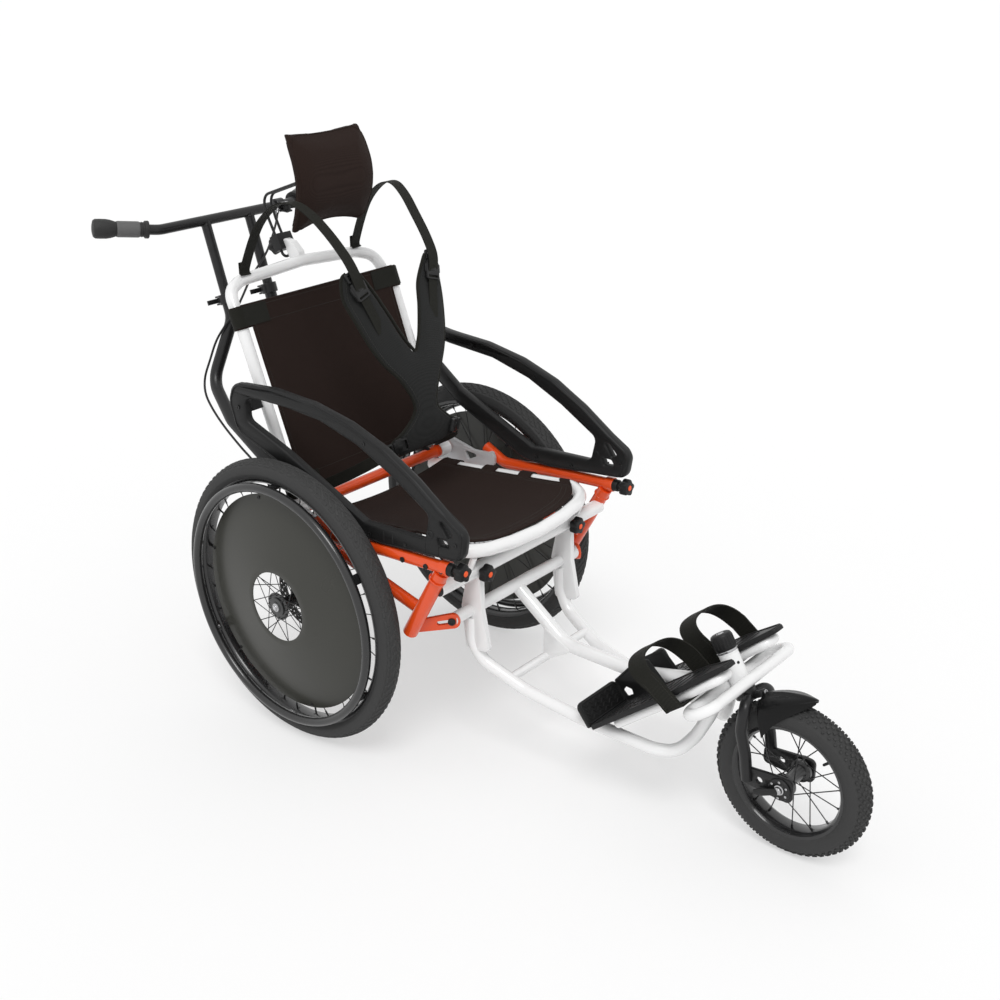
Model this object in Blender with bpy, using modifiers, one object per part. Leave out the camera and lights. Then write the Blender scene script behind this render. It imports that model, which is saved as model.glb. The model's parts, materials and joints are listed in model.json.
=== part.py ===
"""Sports wheelchair for one rider and one helper: two large spoked wheels with covers, one steered front
wheel, a sling seat on a tube frame, side guards, a footrest, a headrest and a push bar with a brake.

Metres, +Z up. The chair faces -Y, so its right side is at -X. All places below are given from the point
on the floor under the middle of the rear axle; the whole chair is then moved so that its footprint is
centred on the origin.
"""

import math

import bmesh
import bpy
from mathutils import Matrix, Vector

# Clearances
GAP = 0.0003
RUNNING = 0.0003

# Stance
REAR_WHEEL_RADIUS = 0.305
FRONT_WHEEL_RADIUS = 0.155
WHEELBASE = 1.001
TRACK = 0.6048

# Rear wheels, measured from the wheel's middle plane
REAR_TYRE_SECTION = 0.0237
TYRE_WALL = 0.0032
BEAD_ANGLE = math.radians(122)
RIM_DEPTH = 0.0117
REAR_RIM_HALF_WIDTH = 0.0195
HUB_OUTER_END = 0.0416
HUB_INNER_END = 0.0456
HUB_FLANGE_RADIUS = 0.0290
HUB_BODY_RADIUS = 0.0125
REAR_FLANGE_OUT = 0.0360
REAR_FLANGE_IN = 0.0285
AXLE_RADIUS = 0.0062
REAR_SPOKE_PAIRS = 3
SPOKE_RADIUS = 0.0012
SPOKE_STAGGER = 0.0016
SPOKE_SEAT = 0.0040
COVER_OUTER_RADIUS = 0.2345
COVER_HOLE_RADIUS = 0.0756
COVER_RISE = 0.0250
COVER_WALL = 0.0025
HANDRIM_RADIUS = 0.2549
HANDRIM_TUBE = 0.0095
HANDRIM_STANDOFF = 0.0346
HANDRIM_TABS = 6
ROTOR_RADIUS = 0.080
ROTOR_WALL = 0.0020
ROTOR_OFFSET = 0.0404
BUTTON_RADIUS = 0.0042
BUTTON_TRAVEL = 0.003
BUTTON_PROUD = 0.0030
RING_STEPS = 32

# Front wheel
FRONT_TYRE_SECTION = 0.0272
FRONT_RIM_HALF_WIDTH = 0.0232
FRONT_FLANGE = 0.0290
FRONT_FLANGE_RADIUS = 0.0220
FRONT_HUB_RADIUS = 0.0130
FRONT_AXLE_RADIUS = 0.0060
FRONT_SPOKE_PAIRS = 3

# Steering head: its lower end, and its lean from the upright
HEAD_Y = -0.889
HEAD_Z = 0.300
HEAD_LEAN = math.radians(31.7)
HEAD_LENGTH = 0.078
HEAD_RADIUS = 0.0190
STEERER_RADIUS = 0.0135
CAP_RADIUS = 0.0205
CAP_HEIGHT = 0.031
CROWN_RADIUS = 0.0210
CROWN_THICKNESS = 0.0160
SHOULDER_DROP = 0.0160
FORK_HALF_WIDTH = 0.0450
FORK_TUBE = 0.0110
FORK_OFFSET = 0.0260
DROPOUT_WALL = 0.0080
DROPOUT_RADIUS = 0.0240
FENDER_FACE = 0.0400
FENDER_LEAN = 0.0009
FENDER_FACE_LOW = 0.0206
FENDER_RADIUS = 0.1644
FENDER_TIP_RADIUS = 0.1780
FENDER_WIDTH = 0.0740
FENDER_SKIRT = 0.0620
FENDER_WALL = 0.0026
FENDER_TIP_ANGLE = math.radians(101)
BUMPER_TUBE = 0.0110
BUMPER_HALF_WIDTH = 0.1500
BUMPER_RISE = 0.0160
BUMPER_OFFSET = 0.0295

# Orange rear frame
RAIL_X = 0.2585
RAIL_TUBE = 0.0125
RAIL_FRONT = (-0.405, 0.488)
RAIL_BREAK = (-0.240, 0.477)
RAIL_LOW = (-0.105, 0.461)
RAIL_REAR = (-0.050, 0.487)
DOWN_TUBE_X = 0.257
DOWN_TUBE = 0.0150
DOWN_TUBE_TOP = (-0.385, 0.475)
DOWN_TUBE_FOOT = (-0.297, 0.318)
DIAGONAL_FOOT = (-0.327, 0.365)
DIAGONAL_BREAK = (-0.060, 0.412)
DIAGONAL_HEAD = (0.008, 0.424)
DIAGONAL_TUBE = 0.0125
CROSS_TUBE_Y = 0.050
CROSS_TUBE_Z = 0.470
CROSS_TUBE = 0.0125
PLATE_X = 0.2405
PLATE_WALL = 0.0080
AXLE_BOSS_RADIUS = 0.0170

# White front frame
UPPER_BAR_Y = -0.370
UPPER_BAR_Z = 0.432
UPPER_BAR = 0.0150
LOWER_BAR_Y = -0.355
LOWER_BAR_Z = 0.340
LOWER_BAR = 0.0125
LOWER_BAR_END = 0.198
SEAT_POST_X = 0.168
SEAT_POST_TOP = (-0.386, 0.484)
SEAT_POST = 0.0065
SIDE_TUBE = 0.0125
SIDE_TUBE_X = 0.143
SIDE_TUBE_LOW = 0.168
MIDDLE_TUBE = 0.0140
MIDDLE_TUBE_KNEE = (-0.479, 0.245)
MIDDLE_TUBE_REST = (-0.653, 0.245)
NECK_RISE = 0.016
NECK_SETBACK = 0.033
BRACE_Y = -0.440
BRACE_Z = 0.207
BRACE_TUBE = 0.0090
BRACE_END = 0.128
BRACE_WEB_WALL = 0.030
GUSSET_WALL = 0.0120
BRACKET_WALL = 0.0080
BRACKET_HALF_DEPTH = 0.0165
BRACKET_TILT = (0.0450, 0.0650)

# Knobs
KNOB_RADIUS = 0.0160
KNOB_LOBE = 0.0020
KNOB_LOBES = 5
KNOB_THICKNESS = 0.0180
KNOB_NECK = 0.0085
KNOB_STUD = 0.0035
STUD_LENGTH = 0.0110
RAIL_KNOB_REACH = 0.0230
BAR_KNOB_REACH = 0.0030
HEADREST_KNOB_REACH = 0.0040

# Seat
SEAT_TUBE = 0.0135
SEAT_X = 0.195
SEAT_FRONT_Y = -0.345
SEAT_FRONT_Z = 0.4885
SEAT_REAR_Y = 0.062
SEAT_REAR_Z = 0.4383
SEAT_NOSE_Y = -0.410
SEAT_NOSE_Z = 0.476
SLING_WALL = 0.0030
SEAT_SAG = 0.026
SEAT_SLING_REAR_Y = 0.020
SEAT_SLING_NOSE_GAP = 0.0015
SEAT_TAB_EDGES = (-0.0285, -0.1027, -0.1425, -0.2065, -0.2385)

# Backrest, hinged on the cross tube
BACK_X = 0.218
BACK_TUBE = 0.0125
BACK_SLEEVE_WALL = 0.0042
BACK_SLEEVE_WIDTH = 0.0300
BACK_SHOULDER = (0.186, 0.827)
BACK_TOP = (0.242, 0.919)
BACK_LUG_WALL = 0.016
BACK_SAG = 0.020
BACK_SLING_LOW_Z = 0.490
BACK_SLING_TOP_Z = 0.870
BACK_SLING_BAND = 0.042
FOLD_CLEARANCE = 0.0006

# Headrest
STEM_WIRE = 0.0030
STEM_HALF_GAUGE = 0.0095
STEM_FOOT = (0.292, 0.930)
STEM_RISE = (0.328, 0.998)
STEM_PEAK = (0.345, 1.045)
PIVOT_EYE = 0.0085
HEADREST_BACK_Y = 0.1485
HEADREST_PIVOT = (HEADREST_BACK_Y + PIVOT_EYE + GAP, 1.109)
HEADREST_HALF_WIDTH = 0.103
HEADREST_TOP_Z = 1.201
HEADREST_LOW_Z = 1.003
HEADREST_DEPTH = 0.026
HEADREST_FACE_Y = 0.156
HEADREST_CROWN = 0.033
CLAMP_WIDTH = 0.040
CLAMP_DEPTH = 0.026
CLAMP_HEIGHT = 0.034
CLAMP_RISE = 0.022
CLAMP_SETBACK = 0.004

# Push bar
PUSH_TUBE = 0.0135
PUSH_X = 0.061
PUSH_COLLAR = (0.432, 0.827)
PUSH_FOOT_X = 0.170
PUSH_SOCKET_DEPTH = 0.048
PUSH_COLLAR_RADIUS = 0.0180
PUSH_COLLAR_HEIGHT = 0.0220
BAR_TUBE = 0.0110
BAR_Y = 0.481
BAR_Z = 0.983
BAR_BEND_X = 0.182
GRIP_END = (0.300, 0.537, 0.998)
GRIP_LENGTH = 0.116
GRIP_RADIUS = 0.0155
GRIP_PALM_RADIUS = 0.0205
GRIP_WALL_END = 0.008
LEVER_LENGTH = 0.034
BRAKE_X = 0.150
BRAKE_LEVER_TUBE = 0.0058
BRAKE_PERCH_RADIUS = 0.0160
CABLE_RADIUS = 0.0025

# Side guards
GUARD_X = 0.256
GUARD_WIDTH = 0.024
GUARD_FLARE = 0.020
GUARD_FLARE_START_Y = 0.030
GUARD_FLARE_END_Y = 0.140
CRADLE_Z = 0.690
CRADLE_HEIGHT = 0.030
CRADLE_WALL = 0.007
CRADLE_OUTER_X = 0.2590

# Footrest: the heel edge of the sole, its rise and its sizes
HEEL_Y = -0.650
HEEL_Z = 0.190
SOLE_RISE = math.radians(39.3)
SOLE_LENGTH = 0.329
SOLE_WALL = 0.0080
SOLE_INNER_X = 0.0235
SOLE_OUTER_X = 0.1450
HEEL_LIP = 0.048
LOOP_TUBE = 0.0095
LOOP_INNER_X = 0.042
LOOP_OUTER_X = 0.119
CARRIER_ALONG = 0.182
SPINE_HALF_WIDTH = 0.018
STRAP_ALONG = 0.215
STRAP_WIDTH = 0.042
STRAP_WALL = 0.0030
STRAP_HEIGHT = 0.077
STRAP_LEAN = 0.040

# Harness
HARNESS_WALL = 0.0080
WEBBING_WIDTH = 0.026
WEBBING_WALL = 0.0030

FINISHES = {
    "white_paint": ((0.80, 0.80, 0.80), 0.25, 0.0),
    "orange_paint": ((0.78, 0.10, 0.014), 0.30, 0.0),
    "black_paint": ((0.025, 0.025, 0.026), 0.35, 0.0),
    "black_plastic": ((0.022, 0.022, 0.023), 0.55, 0.0),
    "grey_plastic": ((0.13, 0.13, 0.13), 0.60, 0.0),
    "tyre_rubber": ((0.045, 0.045, 0.045), 0.80, 0.0),
    "cover_plastic": ((0.055, 0.055, 0.048), 0.40, 0.0),
    "aluminium": ((0.62, 0.62, 0.62), 0.35, 1.0),
    "sling_fabric": ((0.022, 0.014, 0.011), 0.90, 0.0),
    "strap_webbing": ((0.019, 0.019, 0.014), 0.85, 0.0),
    "pad_foam": ((0.026, 0.017, 0.014), 0.90, 0.0),
}

for old in list(bpy.data.objects):
    bpy.data.objects.remove(old, do_unlink=True)

PARTS = bpy.data.collections.new("sports_wheelchair")
CUTTERS = bpy.data.collections.new("cutters")
bpy.context.scene.collection.children.link(PARTS)
bpy.context.scene.collection.children.link(CUTTERS)

CHAIR = bpy.data.objects.new("chair", None)
PARTS.objects.link(CHAIR)

RIGHT = -1
LEFT = 1
SIDES = {"right": RIGHT, "left": LEFT}


def bore_for(radius, sides):
    """The corner radius of a many-sided bore whose flats clear a round piece of the given radius."""
    return (radius + RUNNING) / math.cos(math.pi / sides)


# Paths and outlines

def rounded(corners, radius, closed=False, turn=math.radians(30)):
    """The corner points with each inner corner rounded by an arc. A corner may end in its own radius."""
    size = 2 if closed else 3
    points = [Vector(corner[:size]).to_3d() for corner in corners]
    radii = [corner[size] if len(corner) > size else radius for corner in corners]
    count = len(points)
    path = []
    for index, point in enumerate(points):
        if not closed and index in (0, count - 1):
            path.append(point)
            continue
        before = points[index - 1] - point
        after = points[(index + 1) % count] - point
        angle = math.pi - before.angle(after)
        reach = radii[index] * math.tan(angle / 2)
        reach = min(reach, 0.48 * before.length, 0.48 * after.length)
        if angle < math.radians(13) or reach < 1e-5:
            path.append(point)
            continue
        bow = reach / math.tan(angle / 2)
        start = point + before.normalized() * reach
        end = point + after.normalized() * reach
        middle = point + (before.normalized() + after.normalized()).normalized() * (bow / math.cos(angle / 2))
        steps = max(1, round(angle / turn))
        first = start - middle
        last = end - middle
        for step in range(steps + 1):
            share = step / steps
            weight = math.sin((1 - share) * angle) / math.sin(angle), math.sin(share * angle) / math.sin(angle)
            path.append(middle + first * weight[0] + last * weight[1])
    return path


def flowing(points, spacing):
    """Points a set spacing apart along one smooth curve through the given ones."""
    points = [Vector(point) for point in points]
    ends = [2 * points[0] - points[1]] + points + [2 * points[-1] - points[-2]]
    dense = []
    fine = 12
    for index in range(1, len(ends) - 2):
        a, b, c, d = ends[index - 1:index + 3]
        for step in range(fine):
            t = step / fine
            dense.append(0.5 * (2 * b + (c - a) * t + (2 * a - 5 * b + 4 * c - d) * t ** 2
                                + (3 * b - a - 3 * c + d) * t ** 3))
    dense.append(points[-1])
    lengths = [0.0]
    for first, second in zip(dense, dense[1:]):
        lengths.append(lengths[-1] + (second - first).length)
    count = max(2, round(lengths[-1] / spacing))
    path = []
    place = 0
    for step in range(count + 1):
        target = lengths[-1] * step / count
        while place < len(lengths) - 2 and lengths[place + 1] < target:
            place += 1
        span = lengths[place + 1] - lengths[place]
        share = (target - lengths[place]) / span if span else 0.0
        path.append(dense[place].lerp(dense[place + 1], min(1.0, share)))
    return path


def stretched(path, before=0.0, after=0.0):
    """The path with its first and last points moved outwards along it."""
    path = [Vector(point) for point in path]
    head = (path[0] - path[1]).normalized() * before
    tail = (path[-1] - path[-2]).normalized() * after
    path[0] = path[0] + head
    path[-1] = path[-1] + tail
    return path


def both_sides(half):
    """A path given from the right or left end to the middle plane, carried on to the other side."""
    other = [(-x, y, z) for x, y, z in reversed(half) if abs(x) > 1e-9]
    return list(half) + other


def ring_points(centre, radius, count, start=0.0):
    """Points of a circle in the plane of a flat outline."""
    turns = [start + 2 * math.pi * step / count for step in range(count)]
    return [(centre[0] + radius * math.cos(turn), centre[1] + radius * math.sin(turn)) for turn in turns]


# Shapes

def new_shape(name, data):
    """An object among the cutters, placed with the chair. It stays there unless it becomes a part."""
    shape = bpy.data.objects.new(name, data)
    CUTTERS.objects.link(shape)
    shape.parent = CHAIR
    return shape


def evaluated_mesh(shape):
    """The shape's mesh with its modifiers and curve settings worked out."""
    bpy.context.view_layer.update()
    graph = bpy.context.evaluated_depsgraph_get()
    return bpy.data.meshes.new_from_object(shape.evaluated_get(graph))


def weld_mesh(mesh):
    """Joins the loose caps and seams of a mesh and turns its faces outwards."""
    work = bmesh.new()
    work.from_mesh(mesh)
    bmesh.ops.remove_doubles(work, verts=work.verts, dist=1e-6)
    bmesh.ops.recalc_face_normals(work, faces=work.faces)
    work.to_mesh(mesh)
    work.free()


def solid(shape):
    """The mesh object of a curve or of a mesh with modifiers, in its place."""
    mesh = evaluated_mesh(shape)
    weld_mesh(mesh)
    result = new_shape(shape.name, mesh)
    result.matrix_world = shape.matrix_world
    bpy.data.objects.remove(shape)
    return result


def placed(shape, matrix):
    """The shape with its mesh moved by the matrix."""
    shape.data.transform(matrix)
    return shape


def tube(path, radius, sides=8, cyclic=False):
    """A round tube or rod along a path."""
    curve = bpy.data.curves.new("tube", "CURVE")
    curve.dimensions = "3D"
    curve.bevel_depth = radius
    curve.bevel_resolution = (sides - 4) // 2
    curve.use_fill_caps = True
    spline = curve.splines.new("POLY")
    spline.points.add(len(path) - 1)
    for point, place in zip(spline.points, path):
        point.co = (*place, 1.0)
    spline.use_cyclic_u = cyclic
    return solid(new_shape("tube", curve))


def plate(outline, thickness, holes=()):
    """A flat plate about the XY plane from an outline and its holes."""
    curve = bpy.data.curves.new("plate", "CURVE")
    curve.dimensions = "2D"
    curve.fill_mode = "BOTH"
    curve.extrude = thickness / 2
    for border in (outline, *holes):
        spline = curve.splines.new("POLY")
        spline.points.add(len(border) - 1)
        for point, place in zip(spline.points, border):
            point.co = (place[0], place[1], 0.0, 1.0)
        spline.use_cyclic_u = True
    return solid(new_shape("plate", curve))


STANDING = Matrix(((0, 0, 1, 0), (1, 0, 0, 0), (0, 1, 0, 0), (0, 0, 0, 1)))


def standing_plate(outline, thickness, x, holes=()):
    """A plate that stands fore and aft at x, with its outline given as (y, z)."""
    return placed(plate(outline, thickness, holes), Matrix.Translation((x, 0, 0)) @ STANDING)


def turned(profile, steps, ring=False):
    """A shape turned about Z from (radius, height) points, which run down the outer side."""
    mesh = bpy.data.meshes.new("turned")
    edges = [(index, index + 1) for index in range(len(profile) - 1)]
    if ring:
        edges.append((len(profile) - 1, 0))
    mesh.from_pydata([(radius, 0.0, height) for radius, height in profile], edges, [])
    shape = new_shape("turned", mesh)
    screw = shape.modifiers.new("turn", "SCREW")
    screw.steps = steps
    screw.render_steps = steps
    screw.use_merge_vertices = True
    screw.merge_threshold = 1e-5
    return solid(shape)


def box(low, high):
    """A block between two corners."""
    mesh = bpy.data.meshes.new("block")
    work = bmesh.new()
    bmesh.ops.create_cube(work, size=1.0)
    low, high = Vector(low), Vector(high)
    size = high - low
    bmesh.ops.scale(work, vec=size, verts=work.verts)
    bmesh.ops.translate(work, vec=(low + high) / 2, verts=work.verts)
    work.to_mesh(mesh)
    work.free()
    return new_shape("block", mesh)


def sheet(rows, thickness, closed=False, mirror=False, skip=None):
    """A sheet through a grid of points, made thick. With mirror, the first column lies on the middle plane."""
    width = len(rows[0])
    points = [Vector(point) for row in rows for point in row]
    faces = []
    for index in range(len(rows) if closed else len(rows) - 1):
        following = (index + 1) % len(rows)
        for column in range(width - 1):
            if skip and skip(index, column):
                continue
            faces.append((index * width + column, index * width + column + 1,
                          following * width + column + 1, following * width + column))
    mesh = bpy.data.meshes.new("sheet")
    mesh.from_pydata(points, [], faces)
    work = bmesh.new()
    work.from_mesh(mesh)
    loose = [vertex for vertex in work.verts if not vertex.link_faces]
    bmesh.ops.delete(work, geom=loose, context="VERTS")
    work.to_mesh(mesh)
    work.free()
    shape = new_shape("sheet", mesh)
    if mirror:
        halves = shape.modifiers.new("halves", "MIRROR")
        halves.merge_threshold = 1e-5
    thick = shape.modifiers.new("thick", "SOLIDIFY")
    thick.thickness = thickness
    thick.offset = 0.0
    thick.use_even_offset = True
    thick.use_quality_normals = True
    return solid(shape)


def band(path, across, width, thickness, closed=False):
    """A flat band along a path, as wide as given in the direction across."""
    across = Vector(across).normalized() * width / 2
    rows = [(Vector(point) - across, Vector(point) + across) for point in path]
    return sheet(rows, thickness, closed)


def along(direction, origin):
    """The matrix that stands local Z along a direction at an origin."""
    turn = Vector((0, 0, 1)).rotation_difference(Vector(direction).normalized())
    return Matrix.Translation(origin) @ turn.to_matrix().to_4x4()


def frame_of(x_axis, y_axis, origin):
    """The matrix of a frame from its first two axes, which are square to each other."""
    x_axis = Vector(x_axis).normalized()
    y_axis = Vector(y_axis).normalized()
    z_axis = x_axis.cross(y_axis)
    matrix = Matrix((x_axis, y_axis, z_axis)).transposed().to_4x4()
    return Matrix.Translation(origin) @ matrix


def fuse(base, *others):
    """Welds the other shapes into the base, so that all are one closed body."""
    for other in others:
        weld = base.modifiers.new("weld", "BOOLEAN")
        weld.operation = "UNION"
        weld.solver = "EXACT"
        weld.object = other
    result = solid(base)
    for other in others:
        bpy.data.objects.remove(other)
    return result


def cut(target, *tools):
    """Takes the tools' space out of the target. The tools stay as hidden cutters."""
    for tool in tools:
        notch = target.modifiers.new("cut", "BOOLEAN")
        notch.operation = "DIFFERENCE"
        notch.solver = "EXACT"
        notch.object = tool
    return target


# Parts

def placing(empty):
    """The matrix of an axis as measured from the chair, through all the axes that carry it."""
    matrix = empty.matrix_local.copy()
    while empty.parent is not CHAIR:
        empty = empty.parent
        matrix = empty.matrix_local @ matrix
    return matrix


def part(name, shape, finish, carrier=None):
    """Makes a shape a named part with its own material, hung on the chair or on a moving axis."""
    CUTTERS.objects.unlink(shape)
    PARTS.objects.link(shape)
    shape.name = name
    shape.data.name = name
    if carrier is not None:
        shape.parent = carrier
        shape.data.transform(placing(carrier).inverted())
    colour, roughness, metallic = FINISHES[finish]
    material = bpy.data.materials.new(f"{name}_{finish}")
    material.use_nodes = True
    surface = material.node_tree.nodes["Principled BSDF"]
    surface.inputs["Base Color"].default_value = (*colour, 1.0)
    surface.inputs["Roughness"].default_value = roughness
    surface.inputs["Metallic"].default_value = metallic
    material.diffuse_color = (*colour, 1.0)
    shape.data.materials.clear()
    shape.data.materials.append(material)
    shape.data.shade_smooth()
    shape.data.set_sharp_from_angle(angle=math.radians(35))
    return shape


def axis(name, place, direction=(0, 0, 1), carrier=None):
    """An empty on a joint's axis, with its local Z along the axis."""
    empty = bpy.data.objects.new(name, None)
    PARTS.objects.link(empty)
    empty.parent = carrier or CHAIR
    matrix = along(direction, place)
    if carrier is not None:
        matrix = placing(carrier).inverted() @ matrix
    empty.matrix_local = matrix
    empty.empty_display_size = 0.03
    bpy.context.view_layer.update()
    return empty


# Named lines that several parts share

UP = Vector((0, 0, 1))
STEER = Vector((0, math.sin(HEAD_LEAN), math.cos(HEAD_LEAN)))
STEER_FORWARD = Vector((0, -math.cos(HEAD_LEAN), math.sin(HEAD_LEAN)))
HEAD_FOOT = Vector((0, HEAD_Y, HEAD_Z))
FRONT_CENTRE = Vector((0, -WHEELBASE, FRONT_WHEEL_RADIUS))
SOLE_DIRECTION = Vector((0, -math.cos(SOLE_RISE), math.sin(SOLE_RISE)))
SOLE_NORMAL = Vector((0, math.sin(SOLE_RISE), math.cos(SOLE_RISE)))


def head_point(x, rise, forward):
    """A point near the steering axis, from the head tube's lower end."""
    return HEAD_FOOT + Vector((x, 0, 0)) + STEER * rise + STEER_FORWARD * forward


def sole_point(x, length, height):
    """A point on or over the footplate's sole, from the middle of its heel edge."""
    return Vector((x, HEEL_Y, HEEL_Z)) + SOLE_DIRECTION * length + SOLE_NORMAL * height


def rail_path(side):
    """The centre line of a side rail of the rear frame."""
    corners = [(side * RAIL_X, y, z) for y, z in (RAIL_FRONT, RAIL_BREAK, RAIL_LOW, RAIL_REAR)]
    return rounded(corners, 0.05)


def down_tube_path(side):
    """The centre line of a down tube, from inside its rail to its open foot."""
    return [Vector((side * DOWN_TUBE_X, *DOWN_TUBE_TOP)), Vector((side * DOWN_TUBE_X, *DOWN_TUBE_FOOT))]


def cross_tube_path(end):
    """The rear cross tube's centre line, out to x = end on both sides."""
    return [Vector((-end, CROSS_TUBE_Y, CROSS_TUBE_Z)), Vector((end, CROSS_TUBE_Y, CROSS_TUBE_Z))]


def seat_path():
    """The centre line of the seat's U-shaped tube, from one rear end round the front to the other."""
    half = [(SEAT_X, SEAT_REAR_Y, SEAT_REAR_Z), (SEAT_X, SEAT_FRONT_Y, SEAT_FRONT_Z),
            (SEAT_X - 0.020, -0.382, 0.4855), (SEAT_X - 0.055, -0.397, 0.4825),
            (SEAT_X - 0.115, -0.407, 0.4790), (0.0, SEAT_NOSE_Y, SEAT_NOSE_Z)]
    return rounded(both_sides(half), 0.05)


def back_direction():
    """The direction of the backrest's side tubes, up from the hinge."""
    return Vector((0, BACK_SHOULDER[0] - CROSS_TUBE_Y, BACK_SHOULDER[1] - CROSS_TUBE_Z)).normalized()


def back_path():
    """The centre line of the backrest's tube, from one hinge sleeve over the top bar to the other."""
    half = [(BACK_X, CROSS_TUBE_Y, CROSS_TUBE_Z), (BACK_X, *BACK_SHOULDER),
            (BACK_X - 0.012, BACK_TOP[0] - 0.008, BACK_TOP[1] - 0.024),
            (BACK_X - 0.054, BACK_TOP[0] + 0.006, BACK_TOP[1] - 0.012), (0.0, *BACK_TOP)]
    return rounded(both_sides(half), 0.045)


def middle_tube_path():
    """The centre line of the tube from the lower crossbar down and forward to the steering head."""
    corners = [(0, LOWER_BAR_Y, LOWER_BAR_Z - 0.006), (0, *MIDDLE_TUBE_KNEE), (0, *MIDDLE_TUBE_REST),
               head_point(0, NECK_RISE, -NECK_SETBACK)]
    return rounded(corners, 0.09)


def side_tube_path(side):
    """The centre line of a lower side tube, from the lower crossbar round the footrest to the head."""
    neck = head_point(side * 0.020, NECK_RISE - 0.004, -NECK_SETBACK - 0.001)
    corners = [(SIDE_TUBE_X, LOWER_BAR_Y - 0.001, LOWER_BAR_Z - 0.015), (SIDE_TUBE_X, LOWER_BAR_Y - 0.001, 0.270),
               (SIDE_TUBE_X - 0.005, -0.378, 0.232), (SIDE_TUBE_X - 0.025, -0.470, 0.190),
               (0.103, -0.600, SIDE_TUBE_LOW), (0.100, -0.766, SIDE_TUBE_LOW), (0.080, -0.805, SIDE_TUBE_LOW),
               (0.052, -0.826, 0.198), (0.033, -0.842, 0.240)]
    return rounded([(side * x, y, z) for x, y, z in corners] + [neck], 0.06)


def push_direction():
    """The direction down an upright of the push bar."""
    return Vector((0, PUSH_COLLAR[0] - BAR_Y, PUSH_COLLAR[1] - BAR_Z)).normalized()


def push_path(side):
    """The centre line of a lower push tube, from its collar to the rear cross tube."""
    top = Vector((side * PUSH_X, *PUSH_COLLAR))
    socket = top + push_direction() * (PUSH_SOCKET_DEPTH + 0.007)
    lower = [(side * 0.124, 0.422, 0.642), (side * 0.160, 0.322, 0.583), (side * 0.176, 0.207, 0.535),
             (side * PUSH_FOOT_X, CROSS_TUBE_Y, CROSS_TUBE_Z)]
    return rounded([top, socket] + lower, 0.06)


# Rear wheels

def tyre_profile(wheel_radius, section):
    """The C-shaped section of a tyre, open towards its rim."""
    centre = wheel_radius - section
    profile = []
    outer_steps = 6
    for step in range(outer_steps + 1):
        angle = BEAD_ANGLE - 2 * BEAD_ANGLE * step / outer_steps
        profile.append((centre + section * math.cos(angle), section * math.sin(angle)))
    inner = section - TYRE_WALL
    inner_steps = 3
    for step in range(inner_steps + 1):
        angle = -BEAD_ANGLE + 2 * BEAD_ANGLE * step / inner_steps
        profile.append((centre + inner * math.cos(angle), inner * math.sin(angle)))
    return profile


def bead_radius(wheel_radius, section):
    """The smallest radius of a tyre's bead."""
    return wheel_radius - section + section * math.cos(BEAD_ANGLE)


def rim_ring(wheel_radius, section, half_width, steps):
    """A rim that tapers inwards from the tyre's beads."""
    seat = bead_radius(wheel_radius, section) - GAP
    inner = seat - RIM_DEPTH
    profile = [(seat, half_width), (seat, -half_width), (inner, -0.6 * half_width), (inner, 0.6 * half_width)]
    return turned(profile, steps, ring=True)


def spoke_set(pairs, hub_radius, rim_radius, flanges):
    """Crossed spokes from both hub flanges to the rim. Each flange sends out its spokes in leading and
    trailing pairs, staggered by the flange's thickness so that they pass each other."""
    spokes = []
    pitch = math.pi / pairs
    for flange, offset in enumerate(flanges):
        for index in range(2 * pairs):
            leads = 1 if index % 2 else -1
            hub_turn = pitch * (index + 0.5 * flange)
            rim_turn = hub_turn + leads * 2 * pitch
            height = offset + leads * SPOKE_STAGGER
            start = Vector((hub_radius * math.cos(hub_turn), hub_radius * math.sin(hub_turn), height))
            end = Vector((rim_radius * math.cos(rim_turn), rim_radius * math.sin(rim_turn),
                          math.copysign(SPOKE_SEAT, offset) + leads * SPOKE_STAGGER))
            spokes.append(tube([start, end], SPOKE_RADIUS, sides=4))
    return spokes


def spoke_height(radius, hub_radius, rim_radius, offset):
    """How far a spoke's centre stands off the wheel's middle plane where it crosses a radius."""
    turn = 2 * math.pi / REAR_SPOKE_PAIRS
    low, high = 0.0, 1.0
    for _ in range(40):
        share = (low + high) / 2
        x = hub_radius * (1 - share) + rim_radius * share * math.cos(turn)
        y = rim_radius * share * math.sin(turn)
        if math.hypot(x, y) < radius:
            low = share
        else:
            high = share
    return SPOKE_STAGGER + offset * (1 - share) + SPOKE_SEAT * share


def rotor_plate():
    """A brake disc with five arms between its windows."""
    windows = [ring_points((0, 0), HUB_BODY_RADIUS, 12)]
    arms = 5
    for index in range(arms):
        middle = 2 * math.pi * index / arms
        corners = [(0.027, -0.36), (0.056, -0.50), (0.056, 0.50), (0.027, 0.36)]
        windows.append([(radius * math.cos(middle + turn), radius * math.sin(middle + turn))
                        for radius, turn in corners])
    return plate(ring_points((0, 0), ROTOR_RADIUS, 24), ROTOR_WALL, windows)


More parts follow.
